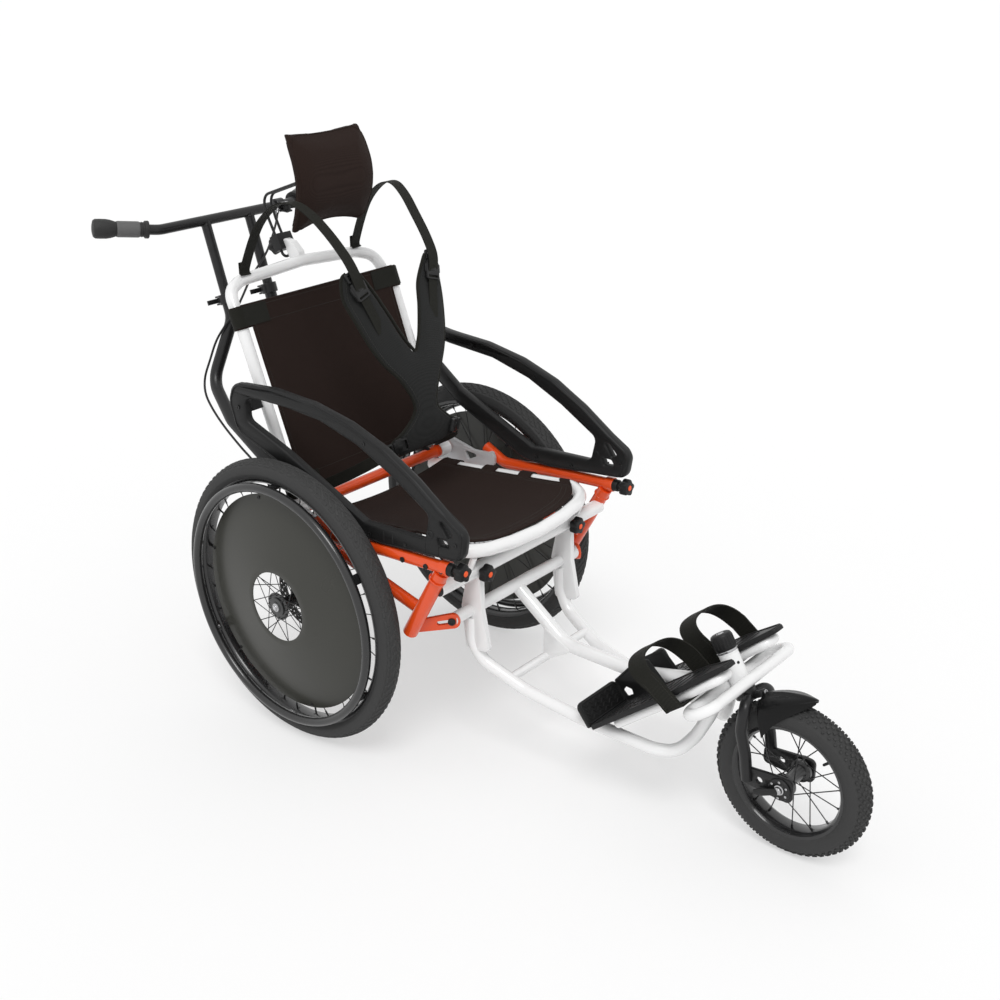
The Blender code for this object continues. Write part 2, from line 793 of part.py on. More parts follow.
def rear_wheel_body():
    """Rim, spokes, hub and brake disc of a rear wheel, about local Z, which points outwards."""
    seat = bead_radius(REAR_WHEEL_RADIUS, REAR_TYRE_SECTION) - GAP
    rim = rim_ring(REAR_WHEEL_RADIUS, REAR_TYRE_SECTION, REAR_RIM_HALF_WIDTH, RING_STEPS)
    bore = bore_for(AXLE_RADIUS, 12)
    hub = turned([(bore, HUB_OUTER_END), (HUB_FLANGE_RADIUS, HUB_OUTER_END),
                  (HUB_FLANGE_RADIUS, REAR_FLANGE_OUT - 0.004), (HUB_BODY_RADIUS, REAR_FLANGE_OUT - 0.007),
                  (HUB_BODY_RADIUS, -REAR_FLANGE_IN + 0.006), (HUB_FLANGE_RADIUS, -REAR_FLANGE_IN + 0.003),
                  (HUB_FLANGE_RADIUS, -REAR_FLANGE_IN - 0.003), (0.019, -REAR_FLANGE_IN - 0.006),
                  (0.019, -HUB_INNER_END), (bore, -HUB_INNER_END)], 12, ring=True)
    spokes = spoke_set(REAR_SPOKE_PAIRS, HUB_FLANGE_RADIUS - 0.003, seat - RIM_DEPTH + 0.002,
                       (REAR_FLANGE_OUT, -REAR_FLANGE_IN))
    rotor = placed(rotor_plate(), Matrix.Translation((0, 0, -ROTOR_OFFSET)))
    return fuse(fuse(hub, rotor), rim, *spokes)


def wheel_cover():
    """The shallow cone that covers the spokes, seated on them at its outer edge."""
    seat = bead_radius(REAR_WHEEL_RADIUS, REAR_TYRE_SECTION) - GAP
    low = spoke_height(COVER_OUTER_RADIUS, HUB_FLANGE_RADIUS - 0.003, seat - RIM_DEPTH + 0.002, REAR_FLANGE_OUT)
    low += SPOKE_RADIUS * 1.02 + GAP
    high = low + COVER_RISE
    return turned([(COVER_HOLE_RADIUS, high + COVER_WALL), (COVER_OUTER_RADIUS, low + COVER_WALL),
                   (COVER_OUTER_RADIUS, low), (COVER_HOLE_RADIUS, high)], RING_STEPS, ring=True)


def handrim():
    """The push ring with the tabs that stand on the rim's outer side."""
    bpy.ops.mesh.primitive_torus_add(major_radius=HANDRIM_RADIUS, minor_radius=HANDRIM_TUBE,
                                     major_segments=RING_STEPS, minor_segments=7)
    ring = bpy.context.object
    for collection in list(ring.users_collection):
        collection.objects.unlink(ring)
    CUTTERS.objects.link(ring)
    ring.parent = CHAIR
    ring.data.transform(Matrix.Translation((0, 0, HANDRIM_STANDOFF)))
    seat = bead_radius(REAR_WHEEL_RADIUS, REAR_TYRE_SECTION) - GAP
    slope = 0.4 * REAR_RIM_HALF_WIDTH / RIM_DEPTH
    rim_face = REAR_RIM_HALF_WIDTH * 0.7
    tabs = []
    for index in range(HANDRIM_TABS):
        turn = Matrix.Rotation(2 * math.pi * (index + 0.5) / HANDRIM_TABS, 4, "Z")
        tab = box((seat - 0.0125, -0.011, rim_face), (seat - 0.0032, 0.011, HANDRIM_STANDOFF))
        tabs.append(placed(tab, turn))
    joined = fuse(ring, *tabs)
    outer = seat + 0.002
    inner = seat - RIM_DEPTH - 0.004
    face = REAR_RIM_HALF_WIDTH + 1.3 * GAP
    guard_ring = turned([(outer, face + slope * 0.002), (outer, -0.02), (inner, -0.02),
                         (inner, face - slope * (seat - inner))], RING_STEPS, ring=True)
    cut(joined, guard_ring)
    trimmed = solid(joined)
    bpy.data.objects.remove(guard_ring)
    return trimmed


def axle_button():
    """The release button in the end of the axle, about local Z, which points outwards."""
    top = HUB_OUTER_END + BUTTON_PROUD
    return turned([(0.0, top + 0.001), (BUTTON_RADIUS - 0.001, top + 0.001), (BUTTON_RADIUS, top),
                   (BUTTON_RADIUS, HUB_OUTER_END - 0.006), (0.0, HUB_OUTER_END - 0.006)], 16)


def brake_caliper(side):
    """The caliper over the rear edge of the brake disc, seated on the axle plate."""
    inner = PLATE_X + PLATE_WALL / 2 + GAP
    outer = TRACK / 2 - ROTOR_OFFSET + 0.0062
    turn = Matrix.Rotation(math.radians(36), 4, "X")
    body = box((inner, 0.046, -0.024), (outer, 0.092, 0.024))
    disc = TRACK / 2 - ROTOR_OFFSET
    slot = box((disc - 0.0028, 0.030, -0.030), (disc + 0.0028, ROTOR_RADIUS + 0.002, 0.030))
    cut(body, slot)
    caliper = solid(body)
    bpy.data.objects.remove(slot)
    placed(caliper, Matrix.Translation((0, 0, REAR_WHEEL_RADIUS)) @ turn)
    if side == RIGHT:
        flip_side(caliper)
    return caliper


def flip_side(shape):
    """Turns a left-hand shape into the right-hand one."""
    work = bmesh.new()
    work.from_mesh(shape.data)
    bmesh.ops.scale(work, vec=(-1, 1, 1), verts=work.verts)
    bmesh.ops.reverse_faces(work, faces=work.faces)
    work.to_mesh(shape.data)
    work.free()


def build_rear_wheels():
    """Two rear wheels, each with tyre, wheel, cover, hand ring and release button, and two calipers."""
    for word, side in SIDES.items():
        centre = (side * TRACK / 2, 0, REAR_WHEEL_RADIUS)
        spin = axis(f"rear_wheel_axis_{word}", centre, (side, 0, 0))
        outward = placing(spin)
        tyre = turned(tyre_profile(REAR_WHEEL_RADIUS, REAR_TYRE_SECTION), RING_STEPS, ring=True)
        part(f"rear_tyre_{word}", placed(tyre, outward), "tyre_rubber", spin)
        part(f"rear_wheel_{word}", placed(rear_wheel_body(), outward), "black_paint", spin)
        part(f"wheel_cover_{word}", placed(wheel_cover(), outward), "cover_plastic", spin)
        part(f"handrim_{word}", placed(handrim(), outward), "black_paint", spin)
        part(f"axle_button_{word}", placed(axle_button(), outward), "aluminium", spin)
        part(f"brake_caliper_{word}", brake_caliper(side), "black_plastic")


# Rear frame

def slotted_bracket(side):
    """The slotted lug from the down tube forward and inward to the lower crossbar's end."""
    reach = Vector((-BRACKET_TILT[0], -BRACKET_TILT[1], 0.016)).normalized()
    upright = (UP - reach * UP.dot(reach)).normalized()
    end = Vector((LOWER_BAR_END + 0.002, LOWER_BAR_Y, LOWER_BAR_Z - 0.002))
    length = 0.086
    depth = BRACKET_HALF_DEPTH
    outline = rounded([(-length, -depth + 0.004), (depth, -depth, depth), (depth, depth, depth),
                       (-length, depth - 0.004)], 0.0, closed=True)
    slot = rounded([(-0.030, -0.0045), (0.006, -0.0045), (0.006, 0.0045), (-0.030, 0.0045)], 0.0044, closed=True)
    lug = placed(plate(outline, BRACKET_WALL, [slot]), frame_of(reach, upright, end))
    if side == RIGHT:
        flip_side(lug)
    return lug


def build_rear_frame():
    """The orange side frames, the cross tube behind the seat and the plates that hold the axles."""
    for word, side in SIDES.items():
        rail = tube(rail_path(side), RAIL_TUBE)
        down = tube(down_tube_path(side), DOWN_TUBE)
        diagonal_x = PLATE_X - PLATE_WALL / 2 - GAP - DIAGONAL_TUBE
        diagonal = tube([Vector((side * (DOWN_TUBE_X - 0.0125), *DIAGONAL_FOOT)),
                         Vector((side * diagonal_x, *DIAGONAL_BREAK)),
                         Vector((side * diagonal_x, *DIAGONAL_HEAD))], DIAGONAL_TUBE)
        frame = fuse(rail, down, diagonal, slotted_bracket(side))
        heading = rail_heading()
        front = Vector((side * RAIL_X, *RAIL_FRONT))
        bore = tube([front + heading * 0.004, front - heading * (STUD_LENGTH + 0.003)],
                    bore_for(KNOB_STUD, 12), sides=12)
        part(f"rear_frame_{word}", cut(frame, bore), "orange_paint")
        part(f"axle_plate_{word}", axle_plate(side), "aluminium")
    tube_end = PLATE_X - PLATE_WALL / 2 - GAP
    cross = tube(cross_tube_path(tube_end), CROSS_TUBE)
    lugs = []
    for side in (RIGHT, LEFT):
        low = seat_height_at(CROSS_TUBE_Y) + 0.004
        lugs.append(box((side * SEAT_X - 0.006, CROSS_TUBE_Y - 0.009, low),
                        (side * SEAT_X + 0.006, CROSS_TUBE_Y + 0.009, CROSS_TUBE_Z)))
    cross = fuse(cross, *lugs)
    part("rear_cross_tube", cut(cross, tube(seat_path(), SEAT_TUBE + GAP)), "orange_paint")


def rail_heading():
    """The direction in which a side rail's front end points."""
    return Vector((0, RAIL_FRONT[0] - RAIL_BREAK[0], RAIL_FRONT[1] - RAIL_BREAK[1])).normalized()


def seat_height_at(y):
    """The height of the seat tube's centre on its straight side."""
    share = (y - SEAT_FRONT_Y) / (SEAT_REAR_Y - SEAT_FRONT_Y)
    return SEAT_FRONT_Z + share * (SEAT_REAR_Z - SEAT_FRONT_Z)


def axle_plate(side):
    """The plate that joins rail, cross tube and axle, with its axle boss and the stub axle."""
    outline = rounded([(-0.092, 0.486, 0.011), (-0.030, 0.480, 0.020), (0.036, 0.494, 0.020), (0.076, 0.486, 0.020),
                       (0.084, 0.345, 0.020), (0.032, 0.279, 0.026), (-0.026, 0.279, 0.024),
                       (-0.034, 0.420, 0.040), (-0.092, 0.460, 0.011)], 0.0, closed=True)
    windows = [rounded([(-0.048, 0.471), (-0.002, 0.474), (-0.012, 0.452)], 0.004, closed=True),
               rounded([(0.030, 0.442), (0.062, 0.442), (0.046, 0.400)], 0.005, closed=True)]
    body = standing_plate(outline, PLATE_WALL, side * PLATE_X, windows)
    hub_face = TRACK / 2 - HUB_INNER_END - GAP
    boss = tube([(side * PLATE_X, 0, REAR_WHEEL_RADIUS), (side * hub_face, 0, REAR_WHEEL_RADIUS)],
                AXLE_BOSS_RADIUS, sides=12)
    axle_end = TRACK / 2 + HUB_OUTER_END + 0.001
    stub = tube([(side * PLATE_X, 0, REAR_WHEEL_RADIUS), (side * axle_end, 0, REAR_WHEEL_RADIUS)],
                AXLE_RADIUS, sides=12)
    rail_y, rail_z = RAIL_LOW[0] + 0.030, RAIL_LOW[1] + 0.014
    spacer = tube([(side * PLATE_X, rail_y, rail_z), (side * RAIL_X, rail_y, rail_z)], 0.010)
    joined = fuse(body, boss, stub, spacer)
    button_bore = tube([(side * (TRACK / 2 + HUB_OUTER_END - 0.0065 - BUTTON_TRAVEL), 0, REAR_WHEEL_RADIUS),
                        (side * (axle_end + 0.01), 0, REAR_WHEEL_RADIUS)], bore_for(BUTTON_RADIUS, 12), sides=12)
    return cut(joined, tube(rail_path(side), RAIL_TUBE + GAP), button_bore)


# White front frame

def gusset(side):
    """The tapered strut from the upper crossbar round the lower one to the side tube."""
    outline = rounded([(-0.350, UPPER_BAR_Z - 0.010), (-0.384, UPPER_BAR_Z - 0.010), (-0.386, 0.350),
                       (-0.404, 0.262), (-0.346, 0.250), (-0.334, 0.345)], 0.010, closed=True)
    return standing_plate(outline, GUSSET_WALL, side * SIDE_TUBE_X)


def cross_bar(end, y, z, radius, sides=8):
    """A bar across the chair, out to x = end on both sides."""
    return tube([(-end, y, z), (end, y, z)], radius, sides)


def knob_seat_cutter(side):
    """The hole in the upper crossbar for a knob's stud."""
    return tube([(side * SIDE_TUBE_X, UPPER_BAR_Y - UPPER_BAR - 0.004, UPPER_BAR_Z),
                 (side * SIDE_TUBE_X, UPPER_BAR_Y - UPPER_BAR + STUD_LENGTH + 0.002, UPPER_BAR_Z)],
                bore_for(KNOB_STUD, 12), sides=12)


def build_front_frame():
    """The white frame between the seat and the steering head."""
    end = DOWN_TUBE_X - 0.004
    upper = cross_bar(end, UPPER_BAR_Y, UPPER_BAR_Z, UPPER_BAR)
    posts = []
    for side in (RIGHT, LEFT):
        foot = (side * SEAT_POST_X, UPPER_BAR_Y, UPPER_BAR_Z)
        posts.append(tube([foot, (side * SEAT_POST_X, *SEAT_POST_TOP)], SEAT_POST))
    upper = fuse(upper, *posts)
    cut(upper, tube(down_tube_path(RIGHT), DOWN_TUBE + GAP), tube(down_tube_path(LEFT), DOWN_TUBE + GAP),
        knob_seat_cutter(RIGHT), knob_seat_cutter(LEFT), tube(seat_path(), SEAT_TUBE + GAP))
    part("upper_crossbar", upper, "white_paint")

    lower = cross_bar(LOWER_BAR_END, LOWER_BAR_Y, LOWER_BAR_Z, LOWER_BAR)
    middle = tube(middle_tube_path(), MIDDLE_TUBE)
    brace = cross_bar(BRACE_END, BRACE_Y, BRACE_Z, BRACE_TUBE)
    web = standing_plate([(BRACE_Y + 0.006, BRACE_Z), (BRACE_Y - 0.010, BRACE_Z - 0.002),
                          (-0.505, 0.240), (-0.435, 0.274)], BRACE_WEB_WALL, 0.0)
    centre = fuse(middle, lower, web, brace)
    loop_gap = tube(bumper_path(), BUMPER_TUBE + GAP, cyclic=True)
    cut(centre, bracket_clearance(RIGHT), bracket_clearance(LEFT), loop_gap)
    part("middle_tube", centre, "white_paint")

    for word, side in SIDES.items():
        body = fuse(tube(side_tube_path(side), SIDE_TUBE), gusset(side))
        lower_gap = cross_bar(LOWER_BAR_END, LOWER_BAR_Y, LOWER_BAR_Z, LOWER_BAR + GAP)
        upper_gap = cross_bar(LOWER_BAR_END, UPPER_BAR_Y, UPPER_BAR_Z, UPPER_BAR + GAP)
        brace_gap = cross_bar(BRACE_END + GAP, BRACE_Y, BRACE_Z, BRACE_TUBE + GAP)
        loop_gap = tube(bumper_path(), BUMPER_TUBE + GAP, cyclic=True)
        middle_gap = tube(stretched(middle_tube_path(), after=0.04), MIDDLE_TUBE + 2 * GAP)
        cut(body, lower_gap, upper_gap, brace_gap, loop_gap, middle_gap)
        part(f"side_tube_{word}", body, "white_paint")

    part("head_tube", steering_head(), "white_paint")


def bracket_clearance(side):
    """The space of a slotted bracket, filled and a gap larger, beyond the lower crossbar's end."""
    reach = Vector((-BRACKET_TILT[0], -BRACKET_TILT[1], 0.016)).normalized()
    upright = (UP - reach * UP.dot(reach)).normalized()
    end = Vector((LOWER_BAR_END + 0.002, LOWER_BAR_Y, LOWER_BAR_Z - 0.002))
    block = box((-0.06, -0.04, -0.03), (0.06, 0.04, BRACKET_WALL / 2 + GAP))
    placed(block, frame_of(reach, upright, end))
    if side == RIGHT:
        flip_side(block)
    return block


def bumper_path():
    """The centre line of the narrow loop round the steering head."""
    half_gap = BUMPER_OFFSET
    path = []
    steps = 6
    for side in (LEFT, RIGHT):
        for step in range(steps + 1):
            turn = math.pi * step / steps
            forward = half_gap * math.cos(turn) * side
            out = side * (BUMPER_HALF_WIDTH - half_gap + half_gap * math.sin(turn))
            path.append(head_point(out, BUMPER_RISE, forward))
    return path


def steering_head():
    """The head tube with its bore, and the bumper loop welded round it."""
    head = tube([head_point(0, 0, 0), head_point(0, HEAD_LENGTH, 0)], HEAD_RADIUS, sides=12)
    loop = tube(bumper_path(), BUMPER_TUBE, cyclic=True)
    joined = fuse(head, loop)
    bore = tube([head_point(0, -0.02, 0), head_point(0, HEAD_LENGTH + 0.02, 0)], bore_for(STEERER_RADIUS, 12),
                sides=12)
    return cut(joined, bore)


# Fork, fender and front wheel

def dropout(side):
    """The plate from a fork leg's foot forward to the front axle."""
    foot = (-0.934, FRONT_WHEEL_RADIUS - 0.005)
    y, z = -WHEELBASE, FRONT_WHEEL_RADIUS
    outline = rounded([(foot[0] + 0.014, foot[1] - 0.014), (foot[0] + 0.014, foot[1] + 0.020),
                       (y, z + DROPOUT_RADIUS, 0.020), (y - DROPOUT_RADIUS, z + DROPOUT_RADIUS, DROPOUT_RADIUS),
                       (y - DROPOUT_RADIUS, z - DROPOUT_RADIUS, DROPOUT_RADIUS), (y, z - DROPOUT_RADIUS, 0.020)],
                      0.010, closed=True)
    return standing_plate(outline, DROPOUT_WALL, side * (FORK_HALF_WIDTH - 0.004))


def fork_body():
    """Crown, steerer, both legs with their shoulders, dropouts, the fender's lug and the front axle."""
    crown = tube([head_point(0, -GAP, 0), head_point(0, -GAP - CROWN_THICKNESS, 0)], CROWN_RADIUS, sides=12)
    steerer = tube([head_point(0, -0.012, 0), head_point(0, HEAD_LENGTH + 0.020, 0)], STEERER_RADIUS, sides=12)
    lug = box((-0.009, 0.0, 0.010), (0.009, FENDER_FACE + FENDER_LEAN - FENDER_WALL / 2 - GAP, 0.021))
    placed(lug, frame_of((1, 0, 0), STEER_FORWARD, HEAD_FOOT))
    pieces = [steerer, lug]
    for side in (RIGHT, LEFT):
        x = side * FORK_HALF_WIDTH
        shoulder = (*head_point(x, -SHOULDER_DROP, FORK_OFFSET),)
        path = rounded([head_point(0, -SHOULDER_DROP, 0.002), shoulder, (x, -0.914, 0.242), (x, -0.926, 0.197),
                        (x, -0.934, 0.146)], 0.05)
        pieces.append(tube(path, FORK_TUBE))
        pieces.append(dropout(side))
    axle_end = FORK_HALF_WIDTH + 0.006
    pieces.append(tube([(-axle_end, -WHEELBASE, FRONT_WHEEL_RADIUS), (axle_end, -WHEELBASE, FRONT_WHEEL_RADIUS)],
                       FRONT_AXLE_RADIUS, sides=12))
    return fuse(crown, *pieces)


def turn_at(forward, radius):
    """The angle about the front axle, from the rear upwards, of a point so far in front of the steering axis."""
    heading = math.atan2(STEER_FORWARD.z, STEER_FORWARD.y)
    axle_forward = (FRONT_CENTRE - HEAD_FOOT).dot(STEER_FORWARD)
    return heading - math.acos((forward - axle_forward) / radius)


def fender():
    """The fender over the front tyre, from its upright rear edge to its pointed tip, with skirts."""
    rows = []
    count = 6
    columns = ((0.0, 0.0), (0.55, 0.05), (0.90, 0.22), (1.0, 0.55), (1.0, 1.0))
    for step in range(count + 1):
        share = step / count
        top = FENDER_RADIUS + (FENDER_TIP_RADIUS - FENDER_RADIUS) * share ** 1.5
        half = FENDER_WIDTH / 2 * (1 - 0.90 * share ** 3)
        skirt = FENDER_SKIRT * (1 - share) ** 0.75 + 0.006
        row = []
        for across, down in columns:
            radius = top - skirt * down
            start = turn_at(FENDER_FACE + (FENDER_FACE_LOW - FENDER_FACE) * down, radius)
            angle = start + (FENDER_TIP_ANGLE - start) * share
            row.append(FRONT_CENTRE + Vector((half * across, radius * math.cos(angle), radius * math.sin(angle))))
        rows.append(row)
    return sheet(rows, FENDER_WALL, mirror=True)


def front_wheel_body():
    """Rim, spokes and hub of the front wheel, about local Z."""
    seat = bead_radius(FRONT_WHEEL_RADIUS, FRONT_TYRE_SECTION) - GAP
    rim = rim_ring(FRONT_WHEEL_RADIUS, FRONT_TYRE_SECTION, FRONT_RIM_HALF_WIDTH, 28)
    bore = bore_for(FRONT_AXLE_RADIUS, 12)
    end = FORK_HALF_WIDTH - 0.004 - DROPOUT_WALL / 2 - GAP
    hub = turned([(bore, end), (FRONT_HUB_RADIUS, end), (FRONT_FLANGE_RADIUS, FRONT_FLANGE + 0.003),
                  (FRONT_FLANGE_RADIUS, FRONT_FLANGE - 0.003), (FRONT_HUB_RADIUS, FRONT_FLANGE - 0.006),
                  (FRONT_HUB_RADIUS, -FRONT_FLANGE + 0.006), (FRONT_FLANGE_RADIUS, -FRONT_FLANGE + 0.003),
                  (FRONT_FLANGE_RADIUS, -FRONT_FLANGE - 0.003), (FRONT_HUB_RADIUS, -end), (bore, -end)],
                 12, ring=True)
    spokes = spoke_set(FRONT_SPOKE_PAIRS, FRONT_FLANGE_RADIUS - 0.003, seat - RIM_DEPTH + 0.002,
                       (FRONT_FLANGE, -FRONT_FLANGE))
    return fuse(fuse(rim, *spokes), hub)


def steering_cap():
    """The black lock cap on the steerer's end, about local Z."""
    bore = bore_for(STEERER_RADIUS, 14)
    return turned([(0.0, CAP_HEIGHT), (CAP_RADIUS - 0.003, CAP_HEIGHT), (CAP_RADIUS, CAP_HEIGHT - 0.003),
                   (CAP_RADIUS, 0.0), (bore, 0.0), (bore, 0.021), (0.0, 0.021)], 14)


def build_steering():
    """Fork, fender and front wheel on the steering axis, with the lock cap on top."""
    steer = axis("steering_axis", HEAD_FOOT, STEER)
    part("fork", fork_body(), "black_paint", steer)
    part("fender", fender(), "black_plastic", steer)
    turn = axis("steering_cap_axis", head_point(0, HEAD_LENGTH + GAP, 0), STEER, steer)
    part("steering_cap", placed(steering_cap(), placing(turn)), "black_plastic", turn)
    spin = axis("front_wheel_axis", FRONT_CENTRE, (1, 0, 0), steer)
    tyre = turned(tyre_profile(FRONT_WHEEL_RADIUS, FRONT_TYRE_SECTION), 28, ring=True)
    part("front_tyre", placed(tyre, placing(spin)), "tyre_rubber", spin)
    part("front_wheel", placed(front_wheel_body(), placing(spin)), "black_paint", spin)


# Knobs

def lobed_outline(radius, lobe):
    """The outline of a hand knob, with lobes round its edge."""
    count = KNOB_LOBES * 3
    points = []
    for index in range(count):
        turn = 2 * math.pi * index / count
        reach = radius + lobe * math.cos(KNOB_LOBES * turn)
        points.append((reach * math.cos(turn), reach * math.sin(turn)))
    return points


def hand_knob(reach, collar_radius, stud_length):
    """A knob about local Z: its stud goes down below zero, its collar and neck rise to the lobed head."""
    head = placed(plate(lobed_outline(KNOB_RADIUS, KNOB_LOBE), KNOB_THICKNESS),
                  Matrix.Translation((0, 0, reach + KNOB_THICKNESS / 2)))
    stem = [(0.0, reach + 0.004), (KNOB_NECK, reach + 0.004)]
    if reach > 0.02:
        stem += [(KNOB_NECK, 0.014), (collar_radius, 0.014)]
        stem += [(collar_radius, GAP)]
    else:
        stem += [(KNOB_NECK, GAP)]
    stem += [(KNOB_STUD, GAP), (KNOB_STUD, -stud_length), (0.0, -stud_length)]
    return fuse(head, turned(stem, 8))


def build_knobs():
    """The four hand knobs at the front corners of the seat."""
    heading = rail_heading()
    for word, side in SIDES.items():
        front = Vector((side * RAIL_X, *RAIL_FRONT))
        turn = axis(f"rail_knob_axis_{word}", front, heading)
        knob = placed(hand_knob(RAIL_KNOB_REACH, RAIL_TUBE, STUD_LENGTH), placing(turn))
        part(f"rail_knob_{word}", knob, "black_plastic", turn)
        face = Vector((side * SIDE_TUBE_X, UPPER_BAR_Y - UPPER_BAR, UPPER_BAR_Z))
        turn = axis(f"bar_knob_axis_{word}", face, (0, -1, 0))
        knob = placed(hand_knob(BAR_KNOB_REACH, KNOB_NECK, STUD_LENGTH), placing(turn))
        part(f"bar_knob_{word}", knob, "black_plastic", turn)


# Seat and backrest

def sling(rows, tube_x, tube_radius, bare_bands):
    """A sling between two side tubes. Each row gives a point of the tube's centre line, the direction
    that faces the rider, and the sag there. The edges go round the tubes, except in the bare bands."""
    hug = tube_radius + 3 * GAP + SLING_WALL / 2
    lip = tube_x - tube_radius - 0.004
    wrap_step = 36
    wrap = (tube_radius + GAP) / math.cos(math.radians(wrap_step / 2)) + SLING_WALL / 2
    flat_shares = (0.0, 0.4, 0.75, 1.0)
    grid = []
    for (y, z), normal, sag, shift in rows:
        normal = Vector((0, *normal)).normalized()
        ease = math.atan2(2 * sag, tube_x)
        edge = tube_x - hug * math.sin(ease)
        row = []
        for x in [share * lip for share in flat_shares] + [edge]:
            height = hug * math.cos(ease) - sag * (1 - (x / edge) ** 2)
            row.append(Vector((x, y, z)) + normal * height + shift(x))
        for turn in range(5):
            angle = math.radians(wrap_step * turn)
            row.append(Vector((tube_x + wrap * math.sin(angle), y, z)) + normal * wrap * math.cos(angle))
        grid.append(row)
    last_flat = len(flat_shares) - 1

    def bare(index, column):
        return index in bare_bands and column >= last_flat

    return sheet(grid, SLING_WALL, mirror=True, skip=bare)


def seat_sling():
    """The seat's sling, with three cut-outs over each side tube."""
    nose = SEAT_NOSE_Y + SEAT_TUBE + SEAT_SLING_NOSE_GAP
    side_front = SEAT_FRONT_Y + 0.004
    rows = []
    for y in (SEAT_SLING_REAR_Y, *SEAT_TAB_EDGES, -0.290, side_front):
        share = (y - SEAT_SLING_REAR_Y) / (side_front - SEAT_SLING_REAR_Y)
        reach = share ** 3 * (nose - side_front)

        def shift(x, reach=reach):
            return Vector((0, reach * max(0.0, 1 - (x / 0.175) ** 2), 0))

        sag = SEAT_SAG * (1 - 0.35 * abs(2 * share - 1) ** 3)
        rows.append(((y, seat_height_at(y)), (0.122, 1.0), sag, shift))
    return sling(rows, SEAT_X, SEAT_TUBE, (1, 3, 5, 6))


def back_sling():
    """The backrest's sling, held round the side tubes at its top and bottom bands."""
    direction = back_direction()

    def centre(z):
        share = (z - CROSS_TUBE_Z) / direction.z
        return (CROSS_TUBE_Y + share * direction.y, z)

    low, top, width = BACK_SLING_LOW_Z, BACK_SLING_TOP_Z, BACK_SLING_BAND
    heights = [low, low + width]
    inner_steps = 6
    for step in range(1, inner_steps):
        heights.append(low + width + (top - low - 2 * width) * step / inner_steps)
    heights += [top - width, top]
    rows = []
    for z in heights:
        share = (z - low) / (top - low)
        sag = BACK_SAG * (0.12 + 0.88 * math.sin(math.pi * (0.06 + 0.80 * share)))
        rows.append((centre(z), (-direction.z, direction.y), sag, lambda x: Vector()))
    return sling(rows, BACK_X, BACK_TUBE, tuple(range(1, len(heights) - 2)))


def backrest_frame():
    """The backrest's tube with its hinge sleeves and the lug for the headrest clamp."""
    frame = tube(back_path(), BACK_TUBE)
    pieces = []
    sleeve = CROSS_TUBE + RUNNING + BACK_SLEEVE_WALL
    for side in (RIGHT, LEFT):
        start = side * (BACK_X - BACK_SLEEVE_WIDTH / 2)
        end = side * (BACK_X + BACK_SLEEVE_WIDTH / 2)
        pieces.append(tube([(start, CROSS_TUBE_Y, CROSS_TUBE_Z), (end, CROSS_TUBE_Y, CROSS_TUBE_Z)],
                           sleeve, sides=12))
    back, top = BACK_TOP
    lug_outline = [(back - 0.004, top - 0.004), (back - 0.002, top + 0.020), (back + 0.020, top + 0.039),
                   (back + 0.048, top + 0.043), (back + 0.038, top + 0.019), (back + 0.026, top - 0.002)]
    lug = standing_plate(rounded(lug_outline, 0.004, closed=True), BACK_LUG_WALL, 0.0)
    frame = fuse(frame, *pieces, lug)
    bore = tube(cross_tube_path(BACK_X + BACK_SLEEVE_WIDTH), bore_for(CROSS_TUBE, 12), sides=12)
    return cut(frame, bore, clamp_block(GAP))


def stem_direction():
    """The direction up the straight foot of the headrest's stem."""
    return Vector((0, STEM_RISE[0] - STEM_FOOT[0], STEM_RISE[1] - STEM_FOOT[1])).normalized()


def clamp_middle():
    """The middle of the headrest clamp, and the direction out of its rear face."""
    up = stem_direction()
    back = Vector((0, up.z, -up.y))
    return Vector((0, *STEM_FOOT)) + up * CLAMP_RISE - back * CLAMP_SETBACK, back


def clamp_block(spare=0.0):
    """The headrest clamp's outer block, larger all round by the spare."""
    middle, back = clamp_middle()
    half = (CLAMP_WIDTH / 2 + spare, CLAMP_DEPTH / 2 + spare, CLAMP_HEIGHT / 2 + spare)
    block = box(tuple(-size for size in half), half)
    return placed(block, frame_of((1, 0, 0), -back, middle))


def stem_path(x_half):
    """The headrest stem's two wires as one closed line, from the foot's bend up to the pivot eye."""
    side_view = rounded([(0, *STEM_FOOT), (0, *STEM_RISE), (0, *STEM_PEAK), (0, HEADREST_PIVOT[0] + 0.006,
                        HEADREST_PIVOT[1])], 0.030)
    up = [Vector((x_half, point.y, point.z)) for point in side_view]
    down = [Vector((-x_half, point.y, point.z)) for point in reversed(side_view)]
    foot_bend = Vector((0, *STEM_FOOT)) - stem_direction() * x_half
    return up + down + [foot_bend]


def headrest_pad():
    """The headrest: bowed forward at mid height, scooped along its lower edge, flat where its pivot sits."""
    rows = []
    levels = 5
    columns = 3
    for level in range(levels + 1):
        rise = level / levels
        row = []
        for column in range(columns + 1):
            across = column / columns
            half = HEADREST_HALF_WIDTH * (0.82 + 0.18 * math.sin(math.pi * (0.20 + 0.55 * rise)))
            scoop = 1 - across ** 2
            low = HEADREST_LOW_Z + 0.018 * scoop
            z = low + (HEADREST_TOP_Z - 0.006 * scoop - low) * rise
            face = HEADREST_FACE_Y - HEADREST_CROWN * math.sin(math.pi * rise)
            row.append((half * across, face + HEADREST_DEPTH / 2, z))
        rows.append(row)
    pad = sheet(rows, HEADREST_DEPTH, mirror=True)
    edge = pad.modifiers.new("soft_edge", "BEVEL")
    edge.width = 0.010
    edge.segments = 1
    edge.limit_method = "ANGLE"
    edge.angle_limit = math.radians(50)
    pad = solid(pad)
    seat = box((-0.030, HEADREST_BACK_Y, HEADREST_PIVOT[1] - 0.020),
               (0.030, HEADREST_BACK_Y + 0.100, HEADREST_PIVOT[1] + 0.020))
    return cut(pad, seat)


